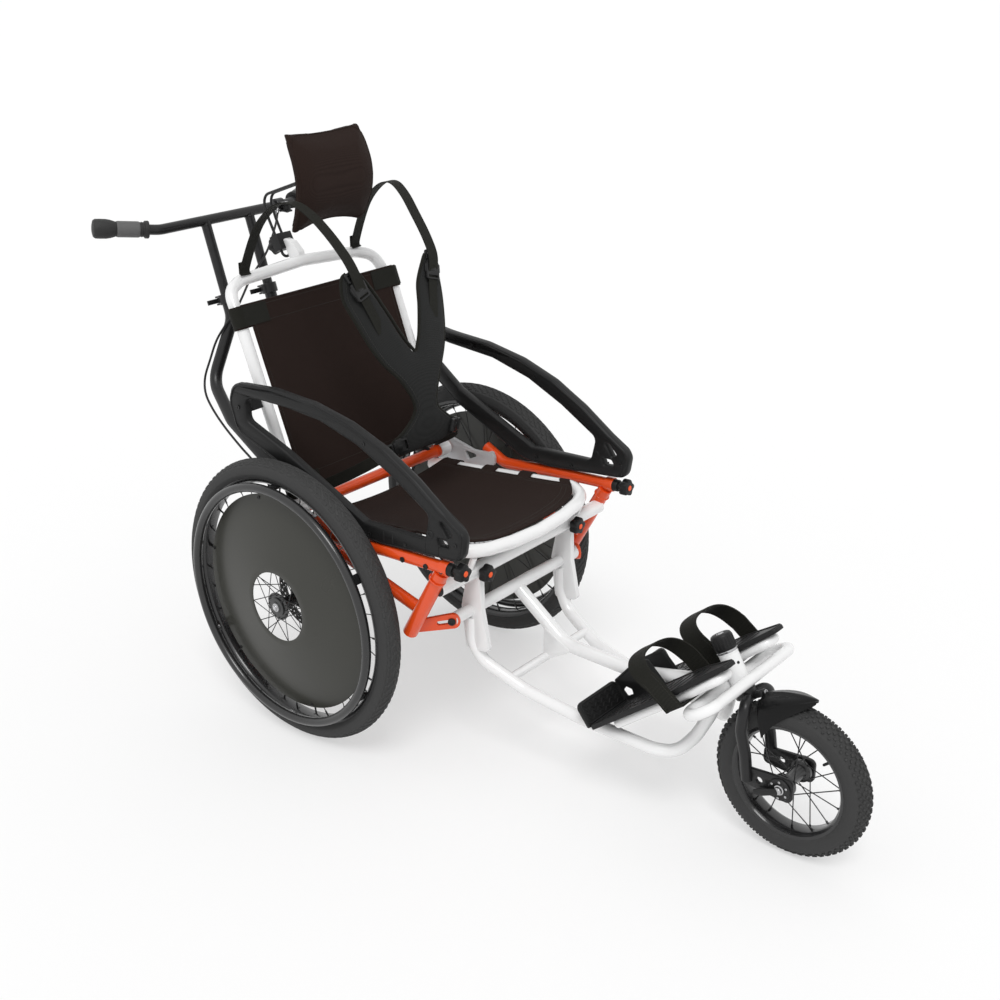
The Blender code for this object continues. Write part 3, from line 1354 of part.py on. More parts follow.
def build_seat():
    """The seat's tube and sling."""
    part("seat_frame", tube(seat_path(), SEAT_TUBE), "white_paint")
    part("seat_sling", seat_sling(), "sling_fabric")


def build_backrest():
    """The backrest with its sling and headrest, on the hinge at the cross tube. Returns the hinge."""
    hinge = axis("backrest_axis", (0, CROSS_TUBE_Y, CROSS_TUBE_Z), (1, 0, 0))
    part("backrest_frame", backrest_frame(), "white_paint", hinge)
    part("backrest_sling", back_sling(), "sling_fabric", hinge)

    wires = []
    foot = Vector((0, *STEM_FOOT)) - stem_direction() * 0.03
    top = Vector((0, *STEM_RISE))
    for side in (RIGHT, LEFT):
        shift = Vector((side * STEM_HALF_GAUGE, 0, 0))
        wires.append(tube([foot + shift, top + shift], STEM_WIRE + GAP, sides=8))
    middle, back = clamp_middle()
    knob_face = middle + back * CLAMP_DEPTH / 2
    knob_bore = tube([knob_face + back * 0.004, knob_face - back * (STUD_LENGTH + 0.002)],
                     bore_for(KNOB_STUD, 12), sides=12)
    clamp = cut(clamp_block(), *wires, knob_bore)
    part("headrest_clamp", clamp, "black_plastic", hinge)

    slide = axis("headrest_slide", Vector((0, *STEM_FOOT)), stem_direction(), hinge)
    tilt = axis("headrest_tilt_axis", Vector((0, *HEADREST_PIVOT)), (1, 0, 0), slide)
    stem = tube(stem_path(STEM_HALF_GAUGE), STEM_WIRE, sides=8, cyclic=True)
    eye = tube([(-0.013, *HEADREST_PIVOT), (0.013, *HEADREST_PIVOT)], PIVOT_EYE, sides=12)
    stem = fuse(stem, eye)
    part("headrest_stem", stem, "black_paint", slide)
    part("headrest_pad", headrest_pad(), "pad_foam", tilt)
    turn = axis("headrest_knob_axis", knob_face, back, hinge)
    knob = placed(hand_knob(HEADREST_KNOB_REACH, KNOB_NECK, STUD_LENGTH), placing(turn))
    part("headrest_knob", knob, "black_plastic", turn)
    return hinge


# Side guards

def guard_outline():
    """The guard's outer edge, from the rear corner over the arched top and round the nose."""
    corners = [(0.030, 0.5785), (0.150, 0.6420, 0.030), (0.166, 0.7000, 0.030), (0.150, 0.7400, 0.030),
               (0.060, 0.7410), (-0.060, 0.7365), (-0.160, 0.7190), (-0.250, 0.6890), (-0.330, 0.6460),
               (-0.402, 0.5965), (-0.4510, 0.5680, 0.022), (-0.4420, 0.5140, 0.024), (-0.240, 0.4885), (-0.170, 0.4885)]
    return rounded(corners, 0.090, closed=True, turn=math.radians(16))


def guard_openings():
    """The guard's main opening under the arm, and the two between the ribs of its nose."""
    main = rounded([(0.020, 0.6130), (0.118, 0.6640), (0.118, 0.7120), (0.050, 0.7130), (-0.080, 0.7045),
                    (-0.180, 0.6790), (-0.270, 0.6390), (-0.362, 0.5860), (-0.350, 0.5330), (-0.190, 0.5240)],
                   0.014, closed=True)
    upper = rounded([(-0.386, 0.5800), (-0.397, 0.5810), (-0.418, 0.5600), (-0.406, 0.5525)], 0.003, closed=True)
    lower = rounded([(-0.379, 0.5460), (-0.404, 0.5460), (-0.412, 0.5340), (-0.386, 0.5310)], 0.003, closed=True)
    return [main, upper, lower]


def side_guard(side):
    """A guard that stands on its rail and flares outwards at the rear, where it meets the cradle."""
    guard = standing_plate(guard_outline(), GUARD_WIDTH, GUARD_X, guard_openings())
    for vertex in guard.data.vertices:
        share = (vertex.co.y - GUARD_FLARE_START_Y) / (GUARD_FLARE_END_Y - GUARD_FLARE_START_Y)
        share = min(1.0, max(0.0, share))
        vertex.co.x += GUARD_FLARE * share * share * (3 - 2 * share)
    if side == RIGHT:
        flip_side(guard)
    return cut(guard, tube(stretched(rail_path(side), before=0.08), RAIL_TUBE + GAP))


def cradle(side):
    """The cradle on the guard's inner side that the backrest tube leans into, open to the front."""
    direction = back_direction()
    reach = (CRADLE_Z - CROSS_TUBE_Z) / direction.z
    centre = Vector((BACK_X, CROSS_TUBE_Y + reach * direction.y, CRADLE_Z))
    hold = BACK_TUBE + FOLD_CLEARANCE
    back = Vector((0, direction.z, -direction.y))
    inner = -hold - CRADLE_WALL
    block = box((inner, -hold * 0.35, -CRADLE_HEIGHT / 2),
                (CRADLE_OUTER_X - BACK_X, hold + CRADLE_WALL, CRADLE_HEIGHT / 2))
    channel = tube([(0, 0, -0.03), (0, 0, 0.03)], bore_for(hold - RUNNING, 12), sides=12)
    mouth = box((-hold, -0.04, -0.03), (hold, 0.0, 0.03))
    cut(block, channel, mouth)
    body = solid(block)
    bpy.data.objects.remove(channel)
    bpy.data.objects.remove(mouth)
    placed(body, frame_of((1, 0, 0), back, centre))
    if side == RIGHT:
        flip_side(body)
    return body


def build_guards():
    """Both side guards, and the cradles behind the backrest."""
    for word, side in SIDES.items():
        part(f"side_guard_{word}", side_guard(side), "black_plastic")
        part(f"backrest_cradle_{word}", cradle(side), "black_plastic")


# Push bar

def bar_path():
    """The centre line of the push bar, from one grip's end to the other."""
    x, y, z = GRIP_END
    half = [(x, y, z), (BAR_BEND_X, BAR_Y, BAR_Z), (0.0, BAR_Y, BAR_Z)]
    return rounded(both_sides(half), 0.04)


def grip_direction(side):
    """The direction outwards along a grip."""
    x, y, z = GRIP_END
    return Vector((side * (x - BAR_BEND_X), y - BAR_Y, z - BAR_Z)).normalized()


def hand_grip():
    """A grip about local Z, which points outwards from the bar's end at zero."""
    bore = bore_for(BAR_TUBE, 12)
    tip = GRIP_WALL_END
    low = tip - GRIP_LENGTH
    return turned([(0.0, tip), (GRIP_PALM_RADIUS - 0.008, tip), (GRIP_PALM_RADIUS, tip - 0.008),
                   (GRIP_PALM_RADIUS, tip - 0.032), (GRIP_RADIUS, tip - 0.048), (GRIP_RADIUS, low + 0.010),
                   (GRIP_RADIUS + 0.003, low + 0.008), (GRIP_RADIUS + 0.003, low), (bore, low),
                   (bore, GAP), (0.0, GAP)], 12)


def handlebar():
    """The push bar with both uprights and the brake lever's perch."""
    bar = tube(bar_path(), BAR_TUBE)
    pieces = []
    for side in (RIGHT, LEFT):
        top = Vector((side * PUSH_X, BAR_Y, BAR_Z))
        foot = Vector((side * PUSH_X, *PUSH_COLLAR)) + push_direction() * (PUSH_SOCKET_DEPTH - 0.004)
        pieces.append(tube([top, foot], BAR_TUBE))
    pieces.append(tube([(BRAKE_X - 0.011, BAR_Y, BAR_Z), (BRAKE_X + 0.011, BAR_Y, BAR_Z)],
                       BRAKE_PERCH_RADIUS, sides=12))
    pivot = brake_pivot()
    for height in (-0.0085, 0.0085):
        ear = box((BRAKE_X - 0.009, pivot.y - 0.008, pivot.z + height - 0.0022),
                  (BRAKE_X + 0.009, BAR_Y, pivot.z + height + 0.0022))
        pieces.append(ear)
    pin = tube([pivot + UP * -0.0095, pivot + UP * 0.0095], 0.0026, sides=10)
    pieces.append(pin)
    return fuse(bar, *pieces)


def brake_pivot():
    """The pivot of the brake lever, in front of the bar."""
    return Vector((BRAKE_X, BAR_Y - 0.030, BAR_Z))


def brake_lever():
    """The brake lever, which reaches outwards in front of the left grip."""
    pivot = brake_pivot()
    eye = tube([pivot + UP * -0.0059, pivot + UP * 0.0059], 0.0085, sides=12)
    path = rounded([pivot + Vector((0.003, 0, 0)), pivot + Vector((0.045, -0.010, 0)), pivot + Vector((0.105, 0.006, 0.004)),
                    pivot + Vector((0.142, 0.030, 0.010))], 0.05)
    blade = tube(path, BRAKE_LEVER_TUBE)
    lever = fuse(eye, blade)
    pin_bore = tube([pivot + UP * -0.02, pivot + UP * 0.02], bore_for(0.0026, 10), sides=10)
    return cut(lever, pin_bore)


def push_tube(side):
    """A lower push tube with its socket and clamp collar, and the lugs of the clamp's lever."""
    top = Vector((side * PUSH_X, *PUSH_COLLAR))
    down = push_direction()
    body = tube(push_path(side), PUSH_TUBE)
    collar = tube([top, top + down * PUSH_COLLAR_HEIGHT], PUSH_COLLAR_RADIUS, sides=12)
    hinge = lever_pivot(side)
    ears = []
    for height in (-0.0082, 0.0082):
        middle = hinge - down * height
        ear = box((-0.0075, -0.0060, -0.0020), (0.0075, 0.0115, 0.0020))
        ears.append(placed(ear, frame_of((1, 0, 0), down.cross(Vector((1, 0, 0))), middle)))
    pin = tube([hinge + down * -0.0095, hinge + down * 0.0095], 0.0022, sides=8)
    joined = fuse(body, collar, *ears, pin)
    socket = tube([top - down * 0.01, top + down * PUSH_SOCKET_DEPTH], bore_for(BAR_TUBE, 12), sides=12)
    cross = tube(cross_tube_path(0.23), CROSS_TUBE + GAP)
    return cut(joined, socket, cross)


def lever_pivot(side):
    """The pivot of a quick-release lever, behind its collar."""
    down = push_direction()
    top = Vector((side * PUSH_X, *PUSH_COLLAR))
    behind = down.cross(Vector((1, 0, 0))).normalized()
    if behind.y < 0:
        behind = -behind
    return top + down * (PUSH_COLLAR_HEIGHT / 2) + behind * (PUSH_COLLAR_RADIUS + 0.008)


def release_lever(side):
    """A quick-release lever: a cam on its pin, and a flat handle that lies to the chair's right."""
    down = push_direction()
    pivot = lever_pivot(side)
    cam = tube([pivot - down * 0.0058, pivot + down * 0.0058], 0.0065, sides=12)
    handle = box((-LEVER_LENGTH, -0.0022, -0.0052), (0.0, 0.0022, 0.0052))
    placed(handle, frame_of((1, 0, 0), down.cross(Vector((1, 0, 0))), pivot))
    lever = fuse(cam, handle)
    bore = tube([pivot - down * 0.02, pivot + down * 0.02], bore_for(0.0022, 8), sides=8)
    return cut(lever, bore)


CABLE_ROUTE = [
    (0.1370, 0.4695, 0.9735), (0.121, 0.458, 0.9530), (0.090, 0.444, 0.9180), (0.061, 0.435, 0.8900),
    (0.010, 0.425, 0.8530), (-0.036, 0.407, 0.8180), (-0.066, 0.400, 0.7900), (-0.087, 0.412, 0.7620),
    (-0.099, 0.431, 0.7280), (-0.116, 0.437, 0.6880), (-0.134, 0.438, 0.6500), (-0.147, 0.424, 0.6200),
    (-0.160, 0.388, 0.5960), (-0.173, 0.335, 0.5700), (-0.186, 0.270, 0.5440), (-0.194, 0.210, 0.5180),
    (-0.203, 0.155, 0.4800), (-0.220, 0.124, 0.4350), (-0.240, 0.104, 0.3950), (-0.2560, 0.0762, 0.3612),
]


def build_push_bar():
    """The lower push tubes, the sliding push bar with its grips, the levers and the brake cable."""
    slide = axis("handlebar_slide", Vector((0, *PUSH_COLLAR)), -push_direction())
    part("handlebar", handlebar(), "black_paint", slide)
    for word, side in SIDES.items():
        part(f"push_tube_{word}", push_tube(side), "black_paint")
        turn = axis(f"release_lever_axis_{word}", lever_pivot(side), -push_direction())
        part(f"release_lever_{word}", release_lever(side), "black_plastic", turn)
        x, y, z = GRIP_END
        grip = placed(hand_grip(), along(grip_direction(side), (side * x, y, z)))
        part(f"grip_{word}", grip, "grey_plastic", slide)
    turn = axis("brake_lever_axis", brake_pivot(), UP, slide)
    part("brake_lever", brake_lever(), "black_paint", turn)
    cable = tube(flowing(CABLE_ROUTE, 0.0150), CABLE_RADIUS, sides=8)
    part("brake_cable", cable, "black_plastic")


# Footrest

def footplate(side):
    """A footplate: a flat sole with a pointed toe, a hexagonal hole and a heel lip."""
    inner, outer = SOLE_INNER_X, SOLE_OUTER_X
    middle = (inner + outer) / 2
    outline = rounded([(inner, 0.0, 0.006), (outer, 0.0, 0.006), (outer, 0.205, 0.10), (middle + 0.014, SOLE_LENGTH, 0.010),
                       (middle - 0.014, SOLE_LENGTH, 0.010), (inner, 0.225, 0.10)], 0.006, closed=True)
    hexagon = ring_points((middle, 0.085), 0.011, 6)
    sole = placed(plate(outline, SOLE_WALL, [hexagon]),
                  frame_of((1, 0, 0), SOLE_DIRECTION, sole_point(0, 0, -SOLE_WALL / 2)))
    lip = box((inner, -SOLE_WALL, -0.002), (outer, 0.001, HEEL_LIP))
    matrix = Matrix((Vector((1, 0, 0)), SOLE_DIRECTION, SOLE_NORMAL)).transposed().to_4x4()
    lip.data.transform(Matrix.Translation((0, HEEL_Y, HEEL_Z)) @ matrix)
    work = bmesh.new()
    work.from_mesh(lip.data)
    bmesh.ops.recalc_face_normals(work, faces=work.faces)
    work.to_mesh(lip.data)
    work.free()
    joined = fuse(sole, lip)
    if side == RIGHT:
        flip_side(joined)
    return joined


def loop_depth():
    """The height of the loops' centre line under the sole."""
    return -SOLE_WALL - GAP - LOOP_TUBE


def loop_path(side):
    """The centre line of the hairpin loop under one sole."""
    depth = loop_depth()
    corners = [(LOOP_INNER_X, 0.045), (LOOP_INNER_X, 0.205), (0.066, 0.300), (0.100, 0.300),
               (LOOP_OUTER_X, 0.205), (LOOP_OUTER_X, 0.045)]
    return rounded([sole_point(side * x, length, depth) for x, length in corners], 0.016)


def footrest_frame():
    """The two loops, the bar that joins them, the spine plate between the soles and the clamp
    block on the middle tube."""
    depth = loop_depth()
    pieces = []
    for side in (RIGHT, LEFT):
        pieces.append(tube(loop_path(side), LOOP_TUBE))
    bar = tube([sole_point(-LOOP_OUTER_X, CARRIER_ALONG, depth), sole_point(LOOP_OUTER_X, CARRIER_ALONG, depth)],
               LOOP_TUBE)
    spine = box((-SPINE_HALF_WIDTH, CARRIER_ALONG - 0.085, -SOLE_WALL),
                (SPINE_HALF_WIDTH, CARRIER_ALONG + 0.012, 0.0))
    web = box((-0.010, CARRIER_ALONG - 0.010, depth), (0.010, CARRIER_ALONG + 0.010, -SOLE_WALL + 0.001))
    foot = sole_point(0, CARRIER_ALONG, depth)
    block = box((-0.0175, foot.y - 0.017, foot.z - 0.045), (0.0175, foot.y + 0.017, foot.z))
    matrix = Matrix((Vector((1, 0, 0)), SOLE_DIRECTION, SOLE_NORMAL)).transposed().to_4x4()
    place = Matrix.Translation((0, HEEL_Y, HEEL_Z)) @ matrix
    for piece in (spine, web):
        piece.data.transform(place)
        weld_mesh(piece.data)
    frame = fuse(bar, *pieces, spine, web, block)
    return cut(frame, tube(middle_tube_path(), MIDDLE_TUBE + GAP))


def strap_path(side):
    """The closed line of a foot strap: under the loops, up both edges of the sole and over the foot."""
    inner = SOLE_INNER_X - GAP - STRAP_WALL / 2
    outer = SOLE_OUTER_X + GAP + STRAP_WALL / 2
    under = loop_depth() - LOOP_TUBE - GAP - STRAP_WALL / 2
    middle = (inner + outer) / 2
    half = (outer - inner) / 2
    shoulder = STRAP_HEIGHT + 0.008
    corners = [(inner, under), (inner, 0.004), (inner - 0.001, 0.050), (middle - 0.62 * half, shoulder),
               (middle, STRAP_HEIGHT), (middle + 0.62 * half, shoulder), (outer + 0.001, 0.050), (outer, 0.004),
               (outer, under)]
    path = rounded([(x, height) for x, height in corners], 0.045, closed=True, turn=math.radians(20))
    lean = STRAP_LEAN / STRAP_HEIGHT
    return [sole_point(side * point.x, STRAP_ALONG - lean * max(0.0, point.y), point.y) for point in path]


def build_footrest():
    """The footrest, which slides along the middle tube: frame, footplates and foot straps."""
    heading = Vector((0, *MIDDLE_TUBE_REST)) - head_point(0, NECK_RISE, -NECK_SETBACK)
    slide = axis("footrest_slide", sole_point(0, CARRIER_ALONG, loop_depth()), heading)
    part("footrest_frame", footrest_frame(), "white_paint", slide)
    for word, side in SIDES.items():
        part(f"footplate_{word}", footplate(side), "black_plastic", slide)
        strap = band(strap_path(side), SOLE_DIRECTION, STRAP_WIDTH, STRAP_WALL, closed=True)
        part(f"foot_strap_{word}", strap, "strap_webbing", slide)


# Harness

def harness_vest():
    """The padded chest piece: two shoulder pads that meet over the chest and spread again at the waist."""
    levels = [(0.948, 0.086, 0.134, -0.037), (0.905, 0.060, 0.136, -0.043), (0.862, 0.043, 0.124, -0.060),
              (0.812, 0.026, 0.107, -0.077), (0.775, 0.000, 0.088, -0.089), (0.735, 0.000, 0.057, -0.102),
              (0.690, 0.000, 0.034, -0.110), (0.662, 0.000, 0.034, -0.112), (0.634, 0.000, 0.062, -0.114),
              (0.608, 0.000, 0.098, -0.112), (0.590, 0.000, 0.092, -0.108), (0.574, 0.000, 0.052, -0.100)]
    rows = []
    columns = 3
    for z, inner, outer, y in levels:
        rows.append([(inner + (outer - inner) * column / columns, y + 0.9 * (inner + (outer - inner) * column
                      / columns) ** 2, z) for column in range(columns + 1)])
    return sheet(rows, HARNESS_WALL, mirror=True)


WEBBING_ROUTE = [
    (0.1097, -0.0342, 0.9498), (0.1145, -0.0140, 0.9840), (0.122, 0.0200, 1.0280), (0.132, 0.0600, 1.0640),
    (0.141, 0.1000, 1.0810), (0.147, 0.1450, 1.0680), (0.152, 0.1950, 1.0200), (0.158, 0.2440, 0.9120),
]


def shoulder_webbing(side):
    """The strap from the top bar over the shoulder to the vest's buckle."""
    route = [(side * x, y, z) for x, y, z in WEBBING_ROUTE]
    strap = band(flowing(route, 0.022), (1, 0, 0), WEBBING_WIDTH, WEBBING_WALL)
    return cut(strap, tube(back_path(), BACK_TUBE + GAP))


def build_harness(hinge):
    """The harness, which moves with the backrest."""
    part("harness_vest", harness_vest(), "strap_webbing", hinge)
    for word, side in SIDES.items():
        part(f"shoulder_webbing_{word}", shoulder_webbing(side), "strap_webbing", hinge)


def centre_footprint():
    """Moves the chair so that the middle of its bounding box stands over the origin."""
    bpy.context.view_layer.update()
    graph = bpy.context.evaluated_depsgraph_get()
    lows, highs = [], []
    for shape in PARTS.objects:
        if shape.type != "MESH":
            continue
        found = shape.evaluated_get(graph)
        places = [found.matrix_world @ vertex.co for vertex in found.data.vertices]
        lows.append(min(place.y for place in places))
        highs.append(max(place.y for place in places))
    CHAIR.location.y = -(min(lows) + max(highs)) / 2
    bpy.context.view_layer.update()


def hide_cutters():
    """Marks the cutting shapes, which aren't parts."""
    for number, tool in enumerate(CUTTERS.objects):
        tool.name = f"cutter_{number:02d}"
        tool.hide_render = True
        tool.display_type = "WIRE"


build_rear_frame()
build_front_frame()
build_rear_wheels()
build_steering()
build_knobs()
build_seat()
backrest_hinge = build_backrest()
build_guards()
build_push_bar()
build_footrest()
build_harness(backrest_hinge)
centre_footprint()
hide_cutters()
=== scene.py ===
"""The finished look of a sports wheelchair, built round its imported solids.

Metres, +Z up, and the chair faces -Y, so its right side is at -X. Places in the builders below are given
from the point on the floor under the middle of the rear axle; settle() moves each piece to the solids' frame.
"""

import json
import math

import bmesh
import bpy
from bpy.props import FloatProperty, FloatVectorProperty, IntProperty, PointerProperty
from mathutils import Matrix, Vector

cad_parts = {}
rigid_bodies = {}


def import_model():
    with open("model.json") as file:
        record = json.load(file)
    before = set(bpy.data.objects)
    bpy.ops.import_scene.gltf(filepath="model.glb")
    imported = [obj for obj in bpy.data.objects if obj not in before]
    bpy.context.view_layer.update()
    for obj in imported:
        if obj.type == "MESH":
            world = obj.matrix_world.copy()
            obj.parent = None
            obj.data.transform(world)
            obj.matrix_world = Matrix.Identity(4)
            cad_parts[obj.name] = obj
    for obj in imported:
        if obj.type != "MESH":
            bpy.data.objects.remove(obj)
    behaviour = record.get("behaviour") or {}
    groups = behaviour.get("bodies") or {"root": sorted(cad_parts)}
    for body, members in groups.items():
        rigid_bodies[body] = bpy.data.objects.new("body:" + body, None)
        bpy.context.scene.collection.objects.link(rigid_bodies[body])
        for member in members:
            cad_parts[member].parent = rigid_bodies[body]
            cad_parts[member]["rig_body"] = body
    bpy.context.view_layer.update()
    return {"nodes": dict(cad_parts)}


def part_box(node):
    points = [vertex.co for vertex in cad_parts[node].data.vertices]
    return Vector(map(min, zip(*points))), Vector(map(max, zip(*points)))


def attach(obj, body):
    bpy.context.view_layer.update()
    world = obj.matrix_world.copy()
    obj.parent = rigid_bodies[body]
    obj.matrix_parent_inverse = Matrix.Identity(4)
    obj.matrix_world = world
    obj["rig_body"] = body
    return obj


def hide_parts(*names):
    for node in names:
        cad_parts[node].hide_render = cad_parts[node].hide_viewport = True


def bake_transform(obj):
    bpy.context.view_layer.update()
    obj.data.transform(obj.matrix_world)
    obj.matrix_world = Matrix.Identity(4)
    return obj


bl_info = {
    "name": "Sports wheelchair",
    "version": (1, 0, 0),
    "blender": (4, 5, 0),
    "location": "3D View > Sidebar > Wheelchair",
    "description": "Builds the surfaces of a sports wheelchair round its solids",
    "category": "Object",
}

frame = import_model()
NODES = frame["nodes"]

UP = Vector((0, 0, 1))
ACROSS = Vector((1, 0, 0))
RIGHT = -1
LEFT = 1
SIDES = {"right": RIGHT, "left": LEFT}


def node_middle(name):
    """The middle of a solid's box."""
    low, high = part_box(name)
    return (low + high) / 2


AXLE_Y = node_middle("rear_tyre_left").y
TO_SOLIDS = Matrix.Translation((0, AXLE_Y, 0))

# Points closer than this become one
MERGE = 0.00001

# Rear wheels, from the wheel's middle plane
REAR_RADIUS = 0.305
REAR_SECTION = 0.0237
REAR_PLANE = 0.3024
REAR_RIM_HALF = 0.0195
FLANGE = 0.0290
FLANGE_OUT = 0.0360
FLANGE_IN = 0.0285
ROTOR_OFFSET = 0.0404
ROTOR_RADIUS = 0.080
COVER_RADIUS = 0.2345
COVER_HOLE = 0.0756
COVER_LOW = 0.0098
COVER_RISE = 0.0250
HANDRIM_RADIUS = 0.2549
HANDRIM_TUBE = 0.0095
HANDRIM_STANDOFF = 0.0346
BEAD_ANGLE = math.radians(122)
TYRE_WALL = 0.0032
RIM_DEPTH = 0.0117
BEAD_GAP = 0.0003
REAR_BLOCKS = 90

# Front wheel and steering
FRONT_RADIUS = 0.155
FRONT_SECTION = 0.0272
FRONT_RIM_HALF = 0.0232
FRONT_AXLE = Vector((0, -1.001, FRONT_RADIUS))
FRONT_FLANGE = 0.0290
FRONT_BLOCKS = 60
HEAD_FOOT = Vector((0, -0.889, 0.300))
HEAD_LEAN = math.radians(31.7)
STEER = Vector((0, math.sin(HEAD_LEAN), math.cos(HEAD_LEAN)))
STEER_FORWARD = Vector((0, -math.cos(HEAD_LEAN), math.sin(HEAD_LEAN)))
HEAD_LENGTH = 0.078

# Frame tubes
RAIL_X = 0.2585
SEAT_X = 0.195
SEAT_TUBE = 0.0135
SEAT_REAR_Y = 0.062
SEAT_REAR_Z = 0.4383
SEAT_FRONT_Y = -0.345
SEAT_FRONT_Z = 0.4885
BACK_X = 0.218
BACK_TUBE = 0.0125
HINGE_Y = 0.050
HINGE_Z = 0.470
PUSH_X = 0.061
PUSH_COLLAR = (0.432, 0.827)
BAR_Y = 0.481
BAR_Z = 0.983
BRAKE_X = 0.150

# Footrest
HEEL_Y = -0.650
HEEL_Z = 0.190
SOLE_RISE = math.radians(39.3)
SOLE_DIRECTION = Vector((0, -math.cos(SOLE_RISE), math.sin(SOLE_RISE)))
SOLE_NORMAL = Vector((0, math.sin(SOLE_RISE), math.cos(SOLE_RISE)))
SOLE_WALL = 0.0080
SOLE_INNER_X = 0.0235
SOLE_OUTER_X = 0.1450
SOLE_LENGTH = 0.329
LOOP_TUBE = 0.0095
SIDE_WALL = 0.0036

# Photograph's viewpoint, in the builders' frame
CAMERA_PLACE = Vector((-1.90388, -1.92937, 1.60522))
CAMERA_YAW = math.radians(49.6)
CAMERA_PITCH = math.radians(-23.59)
CAMERA_ROLL = math.radians(-0.42)
CAMERA_FOCAL = 48.8
CAMERA_SENSOR = 36.0
NEAREST = 0.05
FARTHEST = 60


class WheelchairColours(bpy.types.PropertyGroup):
    """Colours of the finishes."""

    white: FloatVectorProperty(name="White", description="Gloss coat of the seat and front frame",
                               subtype="COLOR", default=(0.86, 0.86, 0.86), min=0, max=1)
    orange: FloatVectorProperty(name="Orange", description="Gloss coat of the side frames",
                                subtype="COLOR", default=(0.76, 0.072, 0.008), min=0, max=1)
    black: FloatVectorProperty(name="Black", description="Satin coat of fork, push bar and rims",
                               subtype="COLOR", default=(0.0110, 0.0110, 0.0115), min=0, max=1)
    plastic: FloatVectorProperty(name="Plastic", description="Moulded black parts",
                                 subtype="COLOR", default=(0.0110, 0.0110, 0.0112), min=0, max=1)
    cover: FloatVectorProperty(name="Wheel cover", description="Discs over the rear spokes",
                               subtype="COLOR", default=(0.036, 0.036, 0.030), min=0, max=1)
    rubber: FloatVectorProperty(name="Rubber", description="Tyres and grips",
                                subtype="COLOR", default=(0.036, 0.036, 0.036), min=0, max=1)
    fabric: FloatVectorProperty(name="Fabric", description="Seat, backrest and headrest cloth",
                                subtype="COLOR", default=(0.020, 0.0118, 0.0096), min=0, max=1)
    webbing: FloatVectorProperty(name="Webbing", description="Straps and the harness",
                                 subtype="COLOR", default=(0.0135, 0.0135, 0.0108), min=0, max=1)
    vest: FloatVectorProperty(name="Chest piece", description="Padded cloth of the harness",
                              subtype="COLOR", default=(0.0185, 0.0190, 0.0188), min=0, max=1)
    accent: FloatVectorProperty(name="Knob cap", description="Caps in the middle of the hand knobs",
                                subtype="COLOR", default=(0.90, 0.10, 0.014), min=0, max=1)
    insert: FloatVectorProperty(name="Grip insert", description="Grey middle of the hand grips",
                                subtype="COLOR", default=(0.10, 0.10, 0.10), min=0, max=1)
    metal: FloatVectorProperty(name="Metal", description="Bare aluminium and steel",
                               subtype="COLOR", default=(0.60, 0.60, 0.61), min=0, max=1)


class WheelchairSizes(bpy.types.PropertyGroup):
    """Sizes of the details that the solids leave out."""

    rear_spokes: IntProperty(name="Rear spokes", description="Spokes in each rear wheel", default=32,
                             min=16, max=48)
    front_spokes: IntProperty(name="Front spokes", description="Spokes in the front wheel", default=20,
                              min=12, max=36)
    spoke: FloatProperty(name="Spoke radius", description="Radius of a spoke", default=0.0010,
                         min=0.0006, max=0.002, unit="LENGTH")
    tread: FloatProperty(name="Tread height", description="Height of the front tyre's blocks",
                         default=0.0030, min=0.001, max=0.005, unit="LENGTH")
    thread: FloatProperty(name="Thread pitch", description="Distance between threads of the cloth",
                          default=0.0012, min=0.0005, max=0.004, unit="LENGTH")
    stitch: FloatProperty(name="Stitch length", description="Length of a sewn stitch", default=0.0040,
                          min=0.002, max=0.01, unit="LENGTH")


# Selecting and shaping

def only(piece):
    """Selects one piece and nothing else, in object mode."""
    if bpy.context.object and bpy.context.object.mode != "OBJECT":
        bpy.ops.object.mode_set(mode="OBJECT")
    bpy.ops.object.select_all(action="DESELECT")
    piece.select_set(True)
    bpy.context.view_layer.objects.active = piece


def clear_selection():
    """Leaves object mode with nothing selected."""
    if bpy.context.object and bpy.context.object.mode != "OBJECT":
        bpy.ops.object.mode_set(mode="OBJECT")
    bpy.ops.object.select_all(action="DESELECT")


def edit(piece):
    """Opens a piece in edit mode with everything in it selected."""
    only(piece)
    bpy.ops.object.mode_set(mode="EDIT")
    bpy.ops.mesh.select_mode(type="VERT")
    bpy.ops.mesh.select_all(action="SELECT")


def leave():
    """Back to object mode."""
    bpy.ops.object.mode_set(mode="OBJECT")


def clean(piece):
    """Merges doubled points and turns every face outwards."""
    edit(piece)
    bpy.ops.mesh.remove_doubles(threshold=MERGE)
    bpy.ops.mesh.dissolve_degenerate(threshold=MERGE)
    bpy.ops.mesh.select_all(action="SELECT")
    bpy.ops.mesh.normals_make_consistent(inside=False)
    leave()
    return piece


def modified(piece, kind, **values):
    """Adds a modifier with the given values and applies it."""
    only(piece)
    bpy.ops.object.modifier_add(type=kind)
    modifier = piece.modifiers[-1]
    for name, value in values.items():
        setattr(modifier, name, value)
    bpy.ops.object.modifier_apply(modifier=modifier.name)
    return piece


def smoothed(piece, degrees=40):
    """Smooth shading except over sharper edges."""
    only(piece)
    bpy.ops.object.shade_smooth_by_angle(angle=math.radians(degrees))
    return piece


def joined(name, pieces):
    """The pieces as one object."""
    clear_selection()
    for piece in pieces:
        piece.select_set(True)
    bpy.context.view_layer.objects.active = pieces[0]
    if len(pieces) > 1:
        bpy.ops.object.join()
    pieces[0].name = name
    return pieces[0]


def moved(piece, matrix):
    """Moves a piece's mesh and leaves its object at the origin."""
    piece.data.transform(matrix)
    if matrix.to_3x3().determinant() < 0:
        edit(piece)
        bpy.ops.mesh.flip_normals()
        leave()
    return piece


